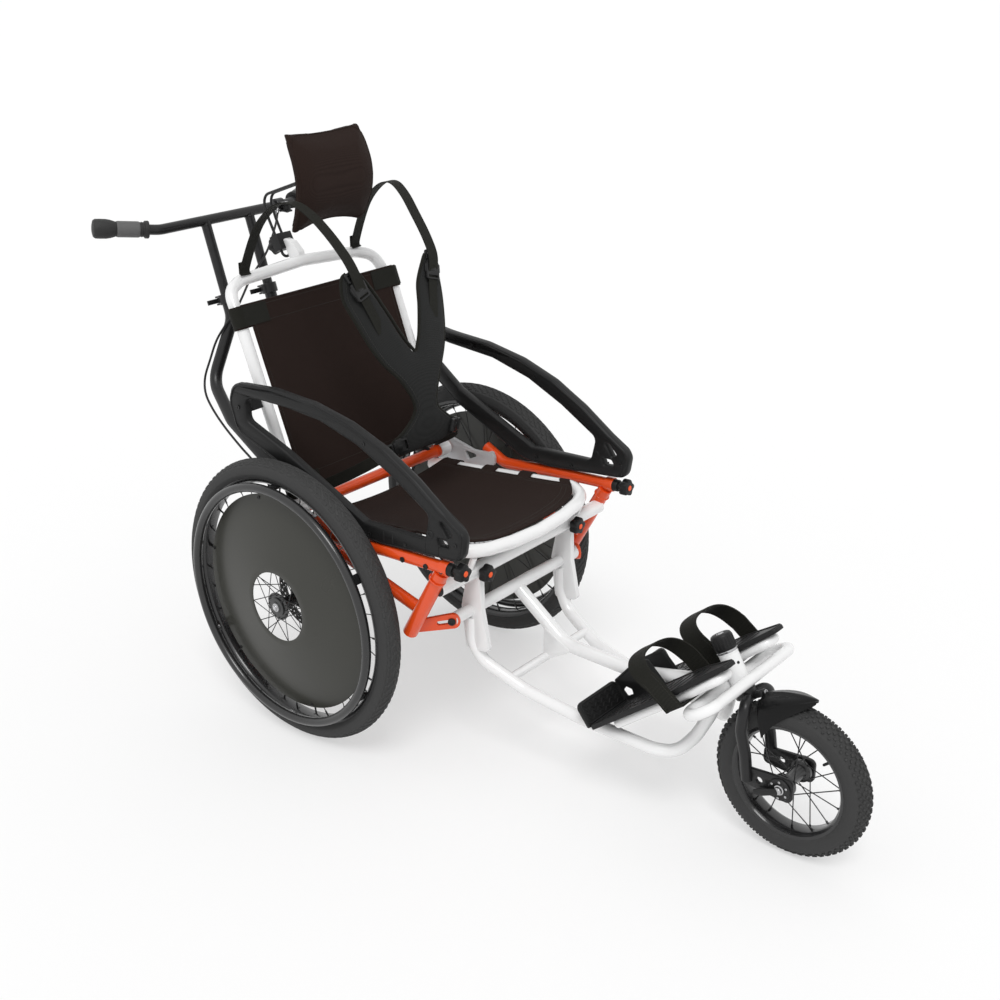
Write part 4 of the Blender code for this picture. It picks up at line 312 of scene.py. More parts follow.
def applied(piece):
    """Applies place, turn and scale to the mesh."""
    only(piece)
    bpy.ops.object.transform_apply(location=True, rotation=True, scale=True)
    return piece


def copy_of(piece, name):
    """Another object with its own copy of the mesh."""
    twin = piece.copy()
    twin.data = piece.data.copy()
    twin.name = name
    bpy.context.scene.collection.objects.link(twin)
    return twin


def mirrored_copy(piece, name):
    """The same piece on the chair's other side."""
    return moved(copy_of(piece, name), Matrix.Diagonal((-1, 1, 1, 1)))


def along(direction, origin=(0, 0, 0)):
    """The matrix that turns +Z to the direction and moves the origin."""
    turn = Vector(direction).normalized().to_track_quat("Z", "Y").to_matrix().to_4x4()
    return Matrix.Translation(origin) @ turn


def frame_of(x_axis, y_axis, origin):
    """The matrix with the given X and Y directions and origin."""
    x_axis = Vector(x_axis).normalized()
    z_axis = x_axis.cross(Vector(y_axis)).normalized()
    y_axis = z_axis.cross(x_axis)
    matrix = Matrix((x_axis, y_axis, z_axis)).transposed().to_4x4()
    return Matrix.Translation(origin) @ matrix


# Paths

def rounded(corners, radius, closed=False, turn=math.radians(9)):
    """The corner points with each inner corner rounded by an arc. A corner may end in its own radius."""
    size = 2 if closed else 3
    points = [Vector(corner[:size]).to_3d() for corner in corners]
    radii = [corner[size] if len(corner) > size else radius for corner in corners]
    count = len(points)
    path = []
    for index, point in enumerate(points):
        if not closed and index in (0, count - 1):
            path.append(point)
            continue
        before = points[index - 1] - point
        after = points[(index + 1) % count] - point
        angle = math.pi - before.angle(after)
        reach = min(radii[index] * math.tan(angle / 2), 0.48 * before.length, 0.48 * after.length)
        if angle < math.radians(2) or reach < 1e-5:
            path.append(point)
            continue
        bow = reach / math.tan(angle / 2)
        start = point + before.normalized() * reach
        end = point + after.normalized() * reach
        outwards = (before.normalized() + after.normalized()).normalized()
        middle = point + outwards * (bow / math.cos(angle / 2))
        steps = max(2, round(angle / turn))
        for step in range(steps + 1):
            share = step / steps
            lead = math.sin((1 - share) * angle) / math.sin(angle)
            trail = math.sin(share * angle) / math.sin(angle)
            path.append(middle + (start - middle) * lead + (end - middle) * trail)
    return path


def flowing(points, spacing):
    """Points a set spacing apart along one smooth curve through the given ones."""
    points = [Vector(point) for point in points]
    ends = [2 * points[0] - points[1]] + points + [2 * points[-1] - points[-2]]
    dense = []
    fine = 12
    for index in range(1, len(ends) - 2):
        a, b, c, d = ends[index - 1:index + 3]
        for step in range(fine):
            t = step / fine
            dense.append(0.5 * (2 * b + (c - a) * t + (2 * a - 5 * b + 4 * c - d) * t ** 2
                                + (3 * b - a - 3 * c + d) * t ** 3))
    dense.append(points[-1])
    lengths = running_lengths(dense)
    count = max(2, round(lengths[-1] / spacing))
    return [point_at(dense, lengths, lengths[-1] * step / count) for step in range(count + 1)]


def running_lengths(path):
    """How far along the path each of its points lies."""
    lengths = [0.0]
    for first, second in zip(path, path[1:]):
        lengths.append(lengths[-1] + (second - first).length)
    return lengths


def point_at(path, lengths, target):
    """The point so far along a path."""
    place = 0
    while place < len(lengths) - 2 and lengths[place + 1] < target:
        place += 1
    span = lengths[place + 1] - lengths[place]
    share = (target - lengths[place]) / span if span else 0.0
    return path[place].lerp(path[place + 1], max(0.0, min(1.0, share)))


def evenly(path, spacing):
    """Points a set spacing apart along a path of straight steps."""
    lengths = running_lengths(path)
    count = max(2, round(lengths[-1] / spacing))
    return [point_at(path, lengths, lengths[-1] * step / count) for step in range(count + 1)]


def ring_points(centre, radius, count, start=0.0):
    """Points round a circle."""
    return [(centre[0] + radius * math.cos(start + 2 * math.pi * index / count),
             centre[1] + radius * math.sin(start + 2 * math.pi * index / count)) for index in range(count)]


def head_point(x, rise, forward):
    """A point near the steering axis, from the head tube's lower end."""
    return HEAD_FOOT + Vector((x, 0, 0)) + STEER * rise + STEER_FORWARD * forward


def sole_point(x, length, height):
    """A point on or over the footplate's sole, from the middle of its heel edge."""
    return Vector((x, HEEL_Y, HEEL_Z)) + SOLE_DIRECTION * length + SOLE_NORMAL * height


def both_halves(half):
    """A path from one side to the middle, followed by its mirror image."""
    return half + [(-x, y, z) for x, y, z in reversed(half[:-1])]


# Shapes

def outline_curve(name, loops, closed=True):
    """A curve object through loops of points."""
    clear_selection()
    bpy.ops.curve.primitive_bezier_curve_add()
    piece = bpy.context.object
    piece.name = name
    data = piece.data
    data.splines.clear()
    for loop in loops:
        spline = data.splines.new("POLY")
        spline.points.add(len(loop) - 1)
        for point, place in zip(spline.points, loop):
            place = Vector(place).to_3d()
            point.co = (place.x, place.y, place.z, 1)
        spline.use_cyclic_u = closed
    return piece


def pipe(name, path, radius, sides=20, closed=False):
    """A round tube along a path, with closed ends."""
    piece = outline_curve(name, [path], closed)
    data = piece.data
    data.dimensions = "3D"
    data.bevel_depth = radius
    data.bevel_resolution = (sides - 4) // 2
    data.use_fill_caps = not closed
    only(piece)
    bpy.ops.object.convert(target="MESH")
    return clean(bpy.context.object)


def plate(name, outline, thickness, holes=(), soft=0.0008):
    """A flat plate in the XY plane with soft edges, centred on z = 0."""
    piece = outline_curve(name, [outline, *holes])
    data = piece.data
    data.dimensions = "2D"
    data.fill_mode = "BOTH"
    data.extrude = thickness / 2 - soft
    data.bevel_depth = soft
    data.bevel_resolution = 1
    data.offset = -soft
    only(piece)
    bpy.ops.object.convert(target="MESH")
    return clean(bpy.context.object)


def standing(piece, x):
    """Turns a plate drawn in (y, z) upright, at the given x."""
    return moved(piece, frame_of((0, 1, 0), (0, 0, 1), (x, 0, 0)))


def lathe(name, profile, steps=64):
    """A closed profile of (radius, height) points, spun about Z."""
    clear_selection()
    bpy.ops.mesh.primitive_circle_add(vertices=len(profile), radius=1.0)
    piece = bpy.context.object
    piece.name = name
    for vertex, (radius, height) in zip(piece.data.vertices, profile):
        vertex.co = (radius, 0.0, height)
    edit(piece)
    bpy.ops.mesh.spin(steps=steps, angle=2 * math.pi, center=(0, 0, 0), axis=(0, 0, 1),
                      use_auto_merge=True)
    leave()
    return clean(piece)


def block(name, low, high, soft=0.001, segments=2):
    """A box between two corners with soft edges."""
    low, high = Vector(low), Vector(high)
    clear_selection()
    bpy.ops.mesh.primitive_cube_add(size=1.0, location=(low + high) / 2, scale=high - low)
    piece = applied(bpy.context.object)
    piece.name = name
    edit(piece)
    bpy.ops.mesh.bevel(offset=soft, segments=segments, affect="EDGES")
    leave()
    return piece


def grid(name, columns, rows, place, metric, skip=None):
    """A sheet of columns by rows faces, whose points come from place(u, v). Its UV map is in metres."""
    clear_selection()
    bpy.ops.mesh.primitive_grid_add(x_subdivisions=columns, y_subdivisions=rows, size=1.0)
    piece = bpy.context.object
    piece.name = name
    shares = []
    for vertex in piece.data.vertices:
        u, v = vertex.co.x + 0.5, vertex.co.y + 0.5
        shares.append((u, v))
        vertex.co = place(u, v)
    layer = piece.data.uv_layers.active or piece.data.uv_layers.new(name="cloth")
    for loop in piece.data.loops:
        u, v = shares[loop.vertex_index]
        layer.data[loop.index].uv = (u * metric[0], v * metric[1])
    if skip:
        edit(piece)
        bpy.ops.mesh.select_all(action="DESELECT")
        leave()
        for face in piece.data.polygons:
            u = sum(shares[index][0] for index in face.vertices) / len(face.vertices)
            v = sum(shares[index][1] for index in face.vertices) / len(face.vertices)
            face.select = bool(skip(u, v))
        bpy.ops.object.mode_set(mode="EDIT")
        bpy.ops.mesh.select_mode(type="FACE")
        bpy.ops.mesh.delete(type="FACE")
        leave()
    return piece


def thick(piece, wall):
    """Gives a sheet its wall, half to each side."""
    modified(piece, "SOLIDIFY", thickness=wall, offset=0.0)
    bpy.ops.object.shade_smooth()
    return piece


def ribbon(name, path, across, width, wall, columns=6):
    """A flat strap along a path, as wide as said in the direction across it."""
    lengths = running_lengths(path)
    count = len(path) - 1

    def place(u, v):
        index = min(count, round(v * count))
        before = path[max(0, index - 1)]
        after = path[min(count, index + 1)]
        heading = (after - before).normalized()
        side = (across - heading * across.dot(heading)).normalized()
        return path[index] + side * ((u - 0.5) * width)

    piece = grid(name, columns, count, place, (width, lengths[-1]))
    modified(piece, "SOLIDIFY", thickness=wall, offset=0.0)
    edit(piece)
    bpy.ops.mesh.normals_make_consistent(inside=False)
    leave()
    return smoothed(piece, 60)


def scattered(name, template, matrices):
    """One mesh with a copy of the template at each matrix. The template is removed."""
    work = bmesh.new()
    for matrix in matrices:
        start = len(work.verts)
        work.from_mesh(template.data)
        work.verts.ensure_lookup_table()
        for index in range(start, len(work.verts)):
            vertex = work.verts[index]
            vertex.co = matrix @ vertex.co
    mesh = bpy.data.meshes.new(name)
    work.to_mesh(mesh)
    work.free()
    piece = bpy.data.objects.new(name, mesh)
    bpy.context.scene.collection.objects.link(piece)
    bpy.data.objects.remove(template)
    return piece


STITCH_PITCH = 1.45
STITCH_RADIUS = 0.00042


def stitches(name, path, lift, normal):
    """A row of sewn stitches on a path, standing a little proud along the normal."""
    length = bpy.context.scene.wheelchair_sizes.stitch
    points = evenly(path, length * STITCH_PITCH)
    clear_selection()
    bpy.ops.mesh.primitive_cylinder_add(vertices=6, radius=STITCH_RADIUS, depth=length)
    template = bpy.context.object
    edit(template)
    bpy.ops.mesh.bevel(offset=0.0002, segments=1, affect="EDGES")
    leave()
    places = []
    for first, second in zip(points, points[1:]):
        middle = (first + second) / 2
        out = Vector(normal(middle)) if callable(normal) else Vector(normal)
        places.append(along(second - first, middle + out * lift))
    return scattered(name, template, places)


def bolt(name, radius, height):
    """A socket-head bolt about Z with its head's underside at zero."""
    clear_selection()
    bpy.ops.mesh.primitive_cylinder_add(vertices=24, radius=radius, depth=height,
                                        location=(0, 0, height / 2))
    piece = applied(bpy.context.object)
    piece.name = name
    edit(piece)
    bpy.ops.mesh.select_all(action="DESELECT")
    leave()
    for face in piece.data.polygons:
        face.select = face.normal.z > 0.9
    bpy.ops.object.mode_set(mode="EDIT")
    bpy.ops.mesh.select_mode(type="FACE")
    bpy.ops.mesh.inset(thickness=radius * 0.16, depth=0.0)
    bpy.ops.mesh.inset(thickness=radius * 0.26, depth=0.0)
    bpy.ops.mesh.extrude_region_move(TRANSFORM_OT_translate={"value": (0, 0, -height * 0.55)})
    leave()
    modified(piece, "BEVEL", width=radius * 0.09, segments=2, limit_method="ANGLE",
             angle_limit=math.radians(40))
    return smoothed(piece, 35)


def softened(node, name, width=0.0010, segments=2, degrees=35):
    """A copy of a solid's mesh with its points merged and its edges softened."""
    source = NODES[node]
    piece = bpy.data.objects.new(name, source.data.copy())
    bpy.context.scene.collection.objects.link(piece)
    piece.data.materials.clear()
    edit(piece)
    bpy.ops.mesh.remove_doubles(threshold=MERGE)
    bpy.ops.mesh.dissolve_limited(angle_limit=math.radians(1.0))
    leave()
    if width:
        modified(piece, "BEVEL", width=width, segments=segments, limit_method="ANGLE",
                 angle_limit=math.radians(degrees), use_clamp_overlap=True)
    return moved(smoothed(piece, degrees), TO_SOLIDS.inverted())


def settle(piece, finish, node, stands_for=(), rides=True):
    """Finishes a piece: its material, its place among the solids, the body of the solid that it belongs
    to, and the solids that it is shown instead of."""
    piece.data.materials.clear()
    piece.data.materials.append(finish_for(finish))
    piece.data.transform(TO_SOLIDS)
    piece.data.update()
    if rides:
        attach(piece, NODES[node]["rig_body"])
    if stands_for:
        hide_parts(*stands_for)
    return piece


def dressed(piece, finish, node):
    """Finishes a piece that is shown instead of its solid."""
    return settle(piece, finish, node, (node,))


def paired(piece, name, finish, node, stands=False):
    """Finishes a left-hand piece and its mirror image on the right. The node's name may hold the side."""
    right = mirrored_copy(piece, f"{name}_right")
    piece.name = f"{name}_left"
    pair = []
    for word, one in (("left", piece), ("right", right)):
        target = node.format(word)
        pair.append(settle(one, finish, target, (target,) if stands else ()))
    return pair


# Finishes


def new_group(name, inputs, outputs):
    """An empty shader node group with float inputs (name, default) and outputs (name, kind)."""
    group = bpy.data.node_groups.new(name, "ShaderNodeTree")
    for label, default in inputs:
        if default is None:
            group.interface.new_socket(label, in_out="INPUT", socket_type="NodeSocketVector")
        else:
            socket = group.interface.new_socket(label, in_out="INPUT", socket_type="NodeSocketFloat")
            socket.default_value = default
    for label, kind in outputs:
        group.interface.new_socket(label, in_out="OUTPUT", socket_type=kind)
    start = group.nodes.new("NodeGroupInput")
    end = group.nodes.new("NodeGroupOutput")
    return group, start, end


def node_in(tree, kind, links=(), **values):
    """A node with inputs linked from sockets, or set to values, by index or name."""
    made = tree.nodes.new(kind)
    for name, value in values.items():
        setattr(made, name, value)
    for index, source in links:
        if isinstance(source, bpy.types.NodeSocket):
            tree.links.new(source, made.inputs[index])
        else:
            made.inputs[index].default_value = source
    return made


def maths(tree, operation, *sources):
    """A Math node's output."""
    return node_in(tree, "ShaderNodeMath", list(enumerate(sources)), operation=operation).outputs[0]


def grain_group():
    """Fine bump and slow variation, as on moulded plastic, paint and rubber."""
    group, start, end = new_group("surface_grain",
                                  [("Vector", None), ("Fine scale", 900.0), ("Slow scale", 9.0),
                                   ("Depth", 0.1)],
                                  [("Variation", "NodeSocketFloat"), ("Normal", "NodeSocketVector")])
    fine = node_in(group, "ShaderNodeTexNoise", [("Vector", start.outputs[0]), ("Scale", start.outputs[1]),
                                                 ("Detail", 2.0)])
    slow = node_in(group, "ShaderNodeTexNoise", [("Vector", start.outputs[0]), ("Scale", start.outputs[2]),
                                                 ("Detail", 4.0)])
    bump = node_in(group, "ShaderNodeBump", [("Strength", start.outputs[3]), ("Distance", 0.001),
                                             ("Height", fine.outputs["Fac"])])
    group.links.new(slow.outputs["Fac"], end.inputs[0])
    group.links.new(bump.outputs[0], end.inputs[1])
    return group


def wear_group():
    """A mask that is bright on worn outer edges."""
    group, start, end = new_group("edge_wear", [("Vector", None), ("Amount", 0.5)],
                                  [("Mask", "NodeSocketFloat")])
    geometry = group.nodes.new("ShaderNodeNewGeometry")
    edges = node_in(group, "ShaderNodeMapRange", [(0, geometry.outputs["Pointiness"]), (1, 0.53), (2, 0.62),
                                                  (3, 0.0), (4, 1.0)])
    patches = node_in(group, "ShaderNodeTexNoise", [("Vector", start.outputs[0]), ("Scale", 60.0),
                                                    ("Detail", 5.0)])
    broken = node_in(group, "ShaderNodeMapRange", [(0, patches.outputs["Fac"]), (1, 0.45), (2, 0.65),
                                                   (3, 0.0), (4, 1.0)])
    mask = maths(group, "MULTIPLY", maths(group, "MULTIPLY", edges.outputs[0], broken.outputs[0]),
                 start.outputs[1])
    group.links.new(mask, end.inputs[0])
    return group


def weave_group():
    """Plain weave: threads across and along that pass over and under each other."""
    group, start, end = new_group("plain_weave", [("Vector", None), ("Across", 800.0), ("Along", 800.0),
                                                  ("Depth", 0.4)],
                                  [("Thread", "NodeSocketFloat"), ("Normal", "NodeSocketVector")])
    split = node_in(group, "ShaderNodeSeparateXYZ", [(0, start.outputs[0])])
    across = maths(group, "MULTIPLY", split.outputs[0], start.outputs[1])
    along_it = maths(group, "MULTIPLY", split.outputs[1], start.outputs[2])
    warp = maths(group, "ABSOLUTE", maths(group, "SINE", maths(group, "MULTIPLY", across, math.pi)))
    weft = maths(group, "ABSOLUTE", maths(group, "SINE", maths(group, "MULTIPLY", along_it, math.pi)))
    cell = maths(group, "ADD", maths(group, "FLOOR", across), maths(group, "FLOOR", along_it))
    parity = maths(group, "FLOORED_MODULO", cell, 2.0)
    over = maths(group, "MULTIPLY", warp, parity)
    under = maths(group, "MULTIPLY", weft, maths(group, "SUBTRACT", 1.0, parity))
    height = maths(group, "ADD", over, under)
    bump = node_in(group, "ShaderNodeBump", [("Strength", start.outputs[3]), ("Distance", 0.0006),
                                             ("Height", height)])
    # The Thread output is the threads' height; cloth_finish paints shade and highlight into the colour from
    # it, as well as bumping with it
    group.links.new(height, end.inputs[0])
    group.links.new(bump.outputs[0], end.inputs[1])
    return group


GROUPS = {}
FINISHES = {}

# How far the roughness varies, how fuzzy cloth is, and how worn edges change dark and pale colours
ROUGH_SPREAD = 0.12
CLOTH_FUZZ = 0.25
WORN_DARK = 2.6
WORN_PALE = 0.72


def group_node(tree, name, builder, links):
    """A shared group, built the first time, placed in a material with its own values."""
    if name not in GROUPS:
        GROUPS[name] = builder()
    return node_in(tree, "ShaderNodeGroup", links, node_tree=GROUPS[name])


def blend_colours(tree, factor, first, second):
    """A colour mixed by a factor that changes over the surface."""
    mix = tree.nodes.new("ShaderNodeMix")
    mix.data_type = "RGBA"
    tree.links.new(factor, mix.inputs[0])
    for index, colour in ((6, first), (7, second)):
        if isinstance(colour, bpy.types.NodeSocket):
            tree.links.new(colour, mix.inputs[index])
        else:
            mix.inputs[index].default_value = (*colour, 1.0)
    return mix.outputs[2]


def empty_material(name):
    """A material with its shader, its tree and the object's own coordinates."""
    material = bpy.data.materials.new(name)
    material.use_nodes = True
    tree = material.node_tree
    shader = tree.nodes["Principled BSDF"]
    place = tree.nodes.new("ShaderNodeTexCoord")
    return material, tree, shader, place


def scaled(colour, factor):
    """A colour made lighter or darker."""
    return tuple(min(1.0, channel * factor) for channel in colour)


def hard_finish(name, colour, roughness, fine=900.0, depth=0.05, metallic=0.0, coat=0.0, wear=0.0,
                shade=0.10, anisotropic=0.0, specular=0.5, slow=9.0):
    """Paint, plastic, rubber or metal, with grain, slow variation and worn edges."""
    material, tree, shader, place = empty_material(name)
    grain = group_node(tree, "surface_grain", grain_group,
                       [("Vector", place.outputs["Object"]), ("Fine scale", fine), ("Slow scale", slow),
                        ("Depth", depth)])
    base = blend_colours(tree, grain.outputs[0], scaled(colour, 1 - shade), scaled(colour, 1 + shade))
    rough = node_in(tree, "ShaderNodeMapRange", [(0, grain.outputs[0]), (1, 0.25), (2, 0.75),
                                                 (3, roughness * (1 - ROUGH_SPREAD)),
                                                 (4, roughness * (1 + ROUGH_SPREAD))])
    rough_socket = rough.outputs[0]
    if wear:
        worn = group_node(tree, "edge_wear", wear_group,
                          [("Vector", place.outputs["Object"]), ("Amount", wear)])
        base = blend_colours(tree, worn.outputs[0], base,
                             scaled(colour, WORN_DARK if max(colour) < 0.3 else WORN_PALE))
        rough_socket = maths(tree, "ADD", rough_socket, maths(tree, "MULTIPLY", worn.outputs[0], 0.15))
    tree.links.new(base, shader.inputs["Base Color"])
    tree.links.new(rough_socket, shader.inputs["Roughness"])
    tree.links.new(grain.outputs[1], shader.inputs["Normal"])
    shader.inputs["Metallic"].default_value = metallic
    shader.inputs["Coat Weight"].default_value = coat
    shader.inputs["Coat Roughness"].default_value = 0.06
    shader.inputs["Specular IOR Level"].default_value = specular
    shader.inputs["Anisotropic"].default_value = anisotropic
    return material


def cloth_finish(name, colour, across, along_it, depth, sheen, roughness=0.85, mapped=True):
    """Woven cloth: threads on the piece's own map in metres, or on its place where it has no map. Its colour
    has painted shade in the gaps between threads and a painted highlight on their crests.
    """
    material, tree, shader, place = empty_material(name)
    source = place.outputs["UV"] if mapped else place.outputs["Object"]
    weave = group_node(tree, "plain_weave", weave_group,
                       [("Vector", source), ("Across", across), ("Along", along_it), ("Depth", depth)])
    grain = group_node(tree, "surface_grain", grain_group,
                       [("Vector", place.outputs["Object"]), ("Fine scale", 1800.0), ("Slow scale", 14.0),
                        ("Depth", CLOTH_FUZZ)])
    # Painted shade and highlight: the colour runs from 0.55 of the cloth's colour down in the gaps between
    # threads to 1.30 of it on their crests, following the weave's height
    thread = blend_colours(tree, weave.outputs[0], scaled(colour, 0.55), scaled(colour, 1.30))
    base = blend_colours(tree, grain.outputs[0], thread, scaled(colour, 1.12))
    tree.links.new(base, shader.inputs["Base Color"])
    tree.links.new(weave.outputs[1], shader.inputs["Normal"])
    rough = node_in(tree, "ShaderNodeMapRange", [(0, weave.outputs[0]), (1, 0.0), (2, 1.0),
                                                 (3, min(1.0, roughness + 0.08)), (4, roughness - 0.06)])
    tree.links.new(rough.outputs[0], shader.inputs["Roughness"])
    shader.inputs["Sheen Weight"].default_value = sheen
    shader.inputs["Sheen Roughness"].default_value = 0.5
    shader.inputs["Specular IOR Level"].default_value = 0.10
    return material


def finish_for(name):
    """The material of a finish, made once."""
    if name in FINISHES:
        return FINISHES[name]
    colours = bpy.context.scene.wheelchair_colours
    pitch = bpy.context.scene.wheelchair_sizes.thread
    recipes = {
        "white": lambda: hard_finish("white_gloss", colours.white, 0.22, fine=420, depth=0.008, coat=0.6,
                                     wear=0.05, shade=0.02),
        "orange": lambda: hard_finish("orange_gloss", colours.orange, 0.30, fine=420, depth=0.008, coat=0.4,
                                      wear=0.06, shade=0.05, specular=0.35),
        "accent": lambda: hard_finish("knob_cap_orange", colours.accent, 0.45, fine=700, depth=0.05),
        "black": lambda: hard_finish("black_satin", colours.black, 0.36, fine=500, depth=0.03, coat=0.1,
                                     wear=0.2, specular=0.3),
        "rim": lambda: hard_finish("rim_black", colours.black, 0.27, fine=500, depth=0.03, coat=0.3,
                                   wear=0.2),
        "spoke_black": lambda: hard_finish("spoke_black", colours.black, 0.30, fine=800, depth=0.02),
        "plastic": lambda: hard_finish("moulded_black", colours.plastic, 0.46, fine=1500, depth=0.14,
                                       wear=0.25, shade=0.15, specular=0.25),
        "fender": lambda: hard_finish("fender_shell", scaled(colours.plastic, 0.4), 0.26, fine=900,
                                      depth=0.04,
                                      wear=0.1, specular=0.18),
        "cap": lambda: hard_finish("smooth_black", colours.plastic, 0.36, fine=900, depth=0.06, shade=0.10,
                                   specular=0.3),
        "cable": lambda: hard_finish("cable_jacket", colours.plastic, 0.40, fine=900, depth=0.05,
                                     specular=0.3),
        "grey": lambda: hard_finish("moulded_grey", scaled(colours.insert, 1.5), 0.55, fine=1200, depth=0.12),
        "insert": lambda: hard_finish("grip_insert", colours.insert, 0.62, fine=1500, depth=0.35),
        "cover": lambda: hard_finish("cover_sheet", colours.cover, 0.30, fine=420, depth=0.02, coat=0.05,
                                     shade=0.06, slow=5.0, specular=0.3),
        "rubber": lambda: hard_finish("tyre_tread", colours.rubber, 0.74, fine=1300, depth=0.35, shade=0.22,
                                      specular=0.35, wear=0.3),
        "grip": lambda: hard_finish("grip_rubber", scaled(colours.rubber, 0.55), 0.62, fine=1700, depth=0.40,
                                    specular=0.4),
        "metal": lambda: hard_finish("spun_aluminium", colours.metal, 0.30, fine=1400, depth=0.05,
                                     metallic=1.0, shade=0.06, anisotropic=0.4),
        "alloy": lambda: hard_finish("cast_alloy", colours.metal, 0.48, fine=700, depth=0.10, metallic=0.35,
                                     shade=0.06),
        "steel": lambda: hard_finish("bolt_steel", scaled(colours.metal, 0.8), 0.25, fine=900, depth=0.03,
                                     metallic=1.0, shade=0.08),
        "disc": lambda: hard_finish("brake_disc_steel", scaled(colours.metal, 0.95), 0.24, fine=1600,
                                    depth=0.05, metallic=1.0, anisotropic=0.6, shade=0.08),
        "spoke": lambda: hard_finish("spoke_steel", scaled(colours.metal, 0.9), 0.22, fine=900, depth=0.01,
                                     metallic=1.0),
        "sling": lambda: cloth_finish("sling_cloth", colours.fabric, 1 / pitch, 1 / pitch, 0.45, 0.02),
        "pad": lambda: cloth_finish("pad_cover", colours.fabric, 1 / pitch, 1 / pitch, 0.25, 0.03,
                                    mapped=False),
        "webbing": lambda: cloth_finish("strap_webbing", colours.webbing, 0.45 / pitch, 1.6 / pitch, 0.6,
                                        0.03,
                                        roughness=0.72),
        "vest": lambda: cloth_finish("harness_cloth", colours.vest, 0.8 / pitch, 0.8 / pitch, 0.45, 0.04,
                                     mapped=False),
        "thread": lambda: hard_finish("sewing_thread", scaled(colours.webbing, 2.2), 0.65, fine=2500,
                                      depth=0.3),
    }
    FINISHES[name] = recipes[name]()
    return FINISHES[name]


# Frame

BRACKET_REACH = Vector((-0.045, -0.065, 0.016)).normalized()
RAIL_BOLTS = ((-0.297, 0.4790), (-0.357, 0.4830), (-0.396, 0.4855))


def rail_path():
    """The centre line of the left side rail."""
    return rounded([(RAIL_X, -0.405, 0.488), (RAIL_X, -0.240, 0.477), (RAIL_X, -0.105, 0.461),
                    (RAIL_X, -0.050, 0.487)], 0.05)


def bead(name, centre, axis, radius, size=0.0016):
    """A weld bead: a rippled ring round a joint."""
    steps = 64
    points = []
    turned = along(axis, centre)
    for index in range(steps):
        angle = 2 * math.pi * index / steps
        wave = size * 0.12 * math.sin(index * math.pi / 2)
        points.append(turned @ Vector(((radius + wave) * math.cos(angle), (radius + wave) * math.sin(angle),
                                       wave * 0.6)))
    return smoothed(pipe(name, points, size, 8, closed=True), 70)


def end_plug(name, place, direction, radius):
    """A domed plug pressed into the end of a tube."""
    cap = lathe(name, [(0.0, 0.0022), (radius * 0.6, 0.0019), (radius * 0.92, 0.0010), (radius, 0.0),
                       (radius * 0.96, -0.0012), (0.0, -0.0012)], 32)
    return moved(smoothed(cap, 45), along(direction, place))


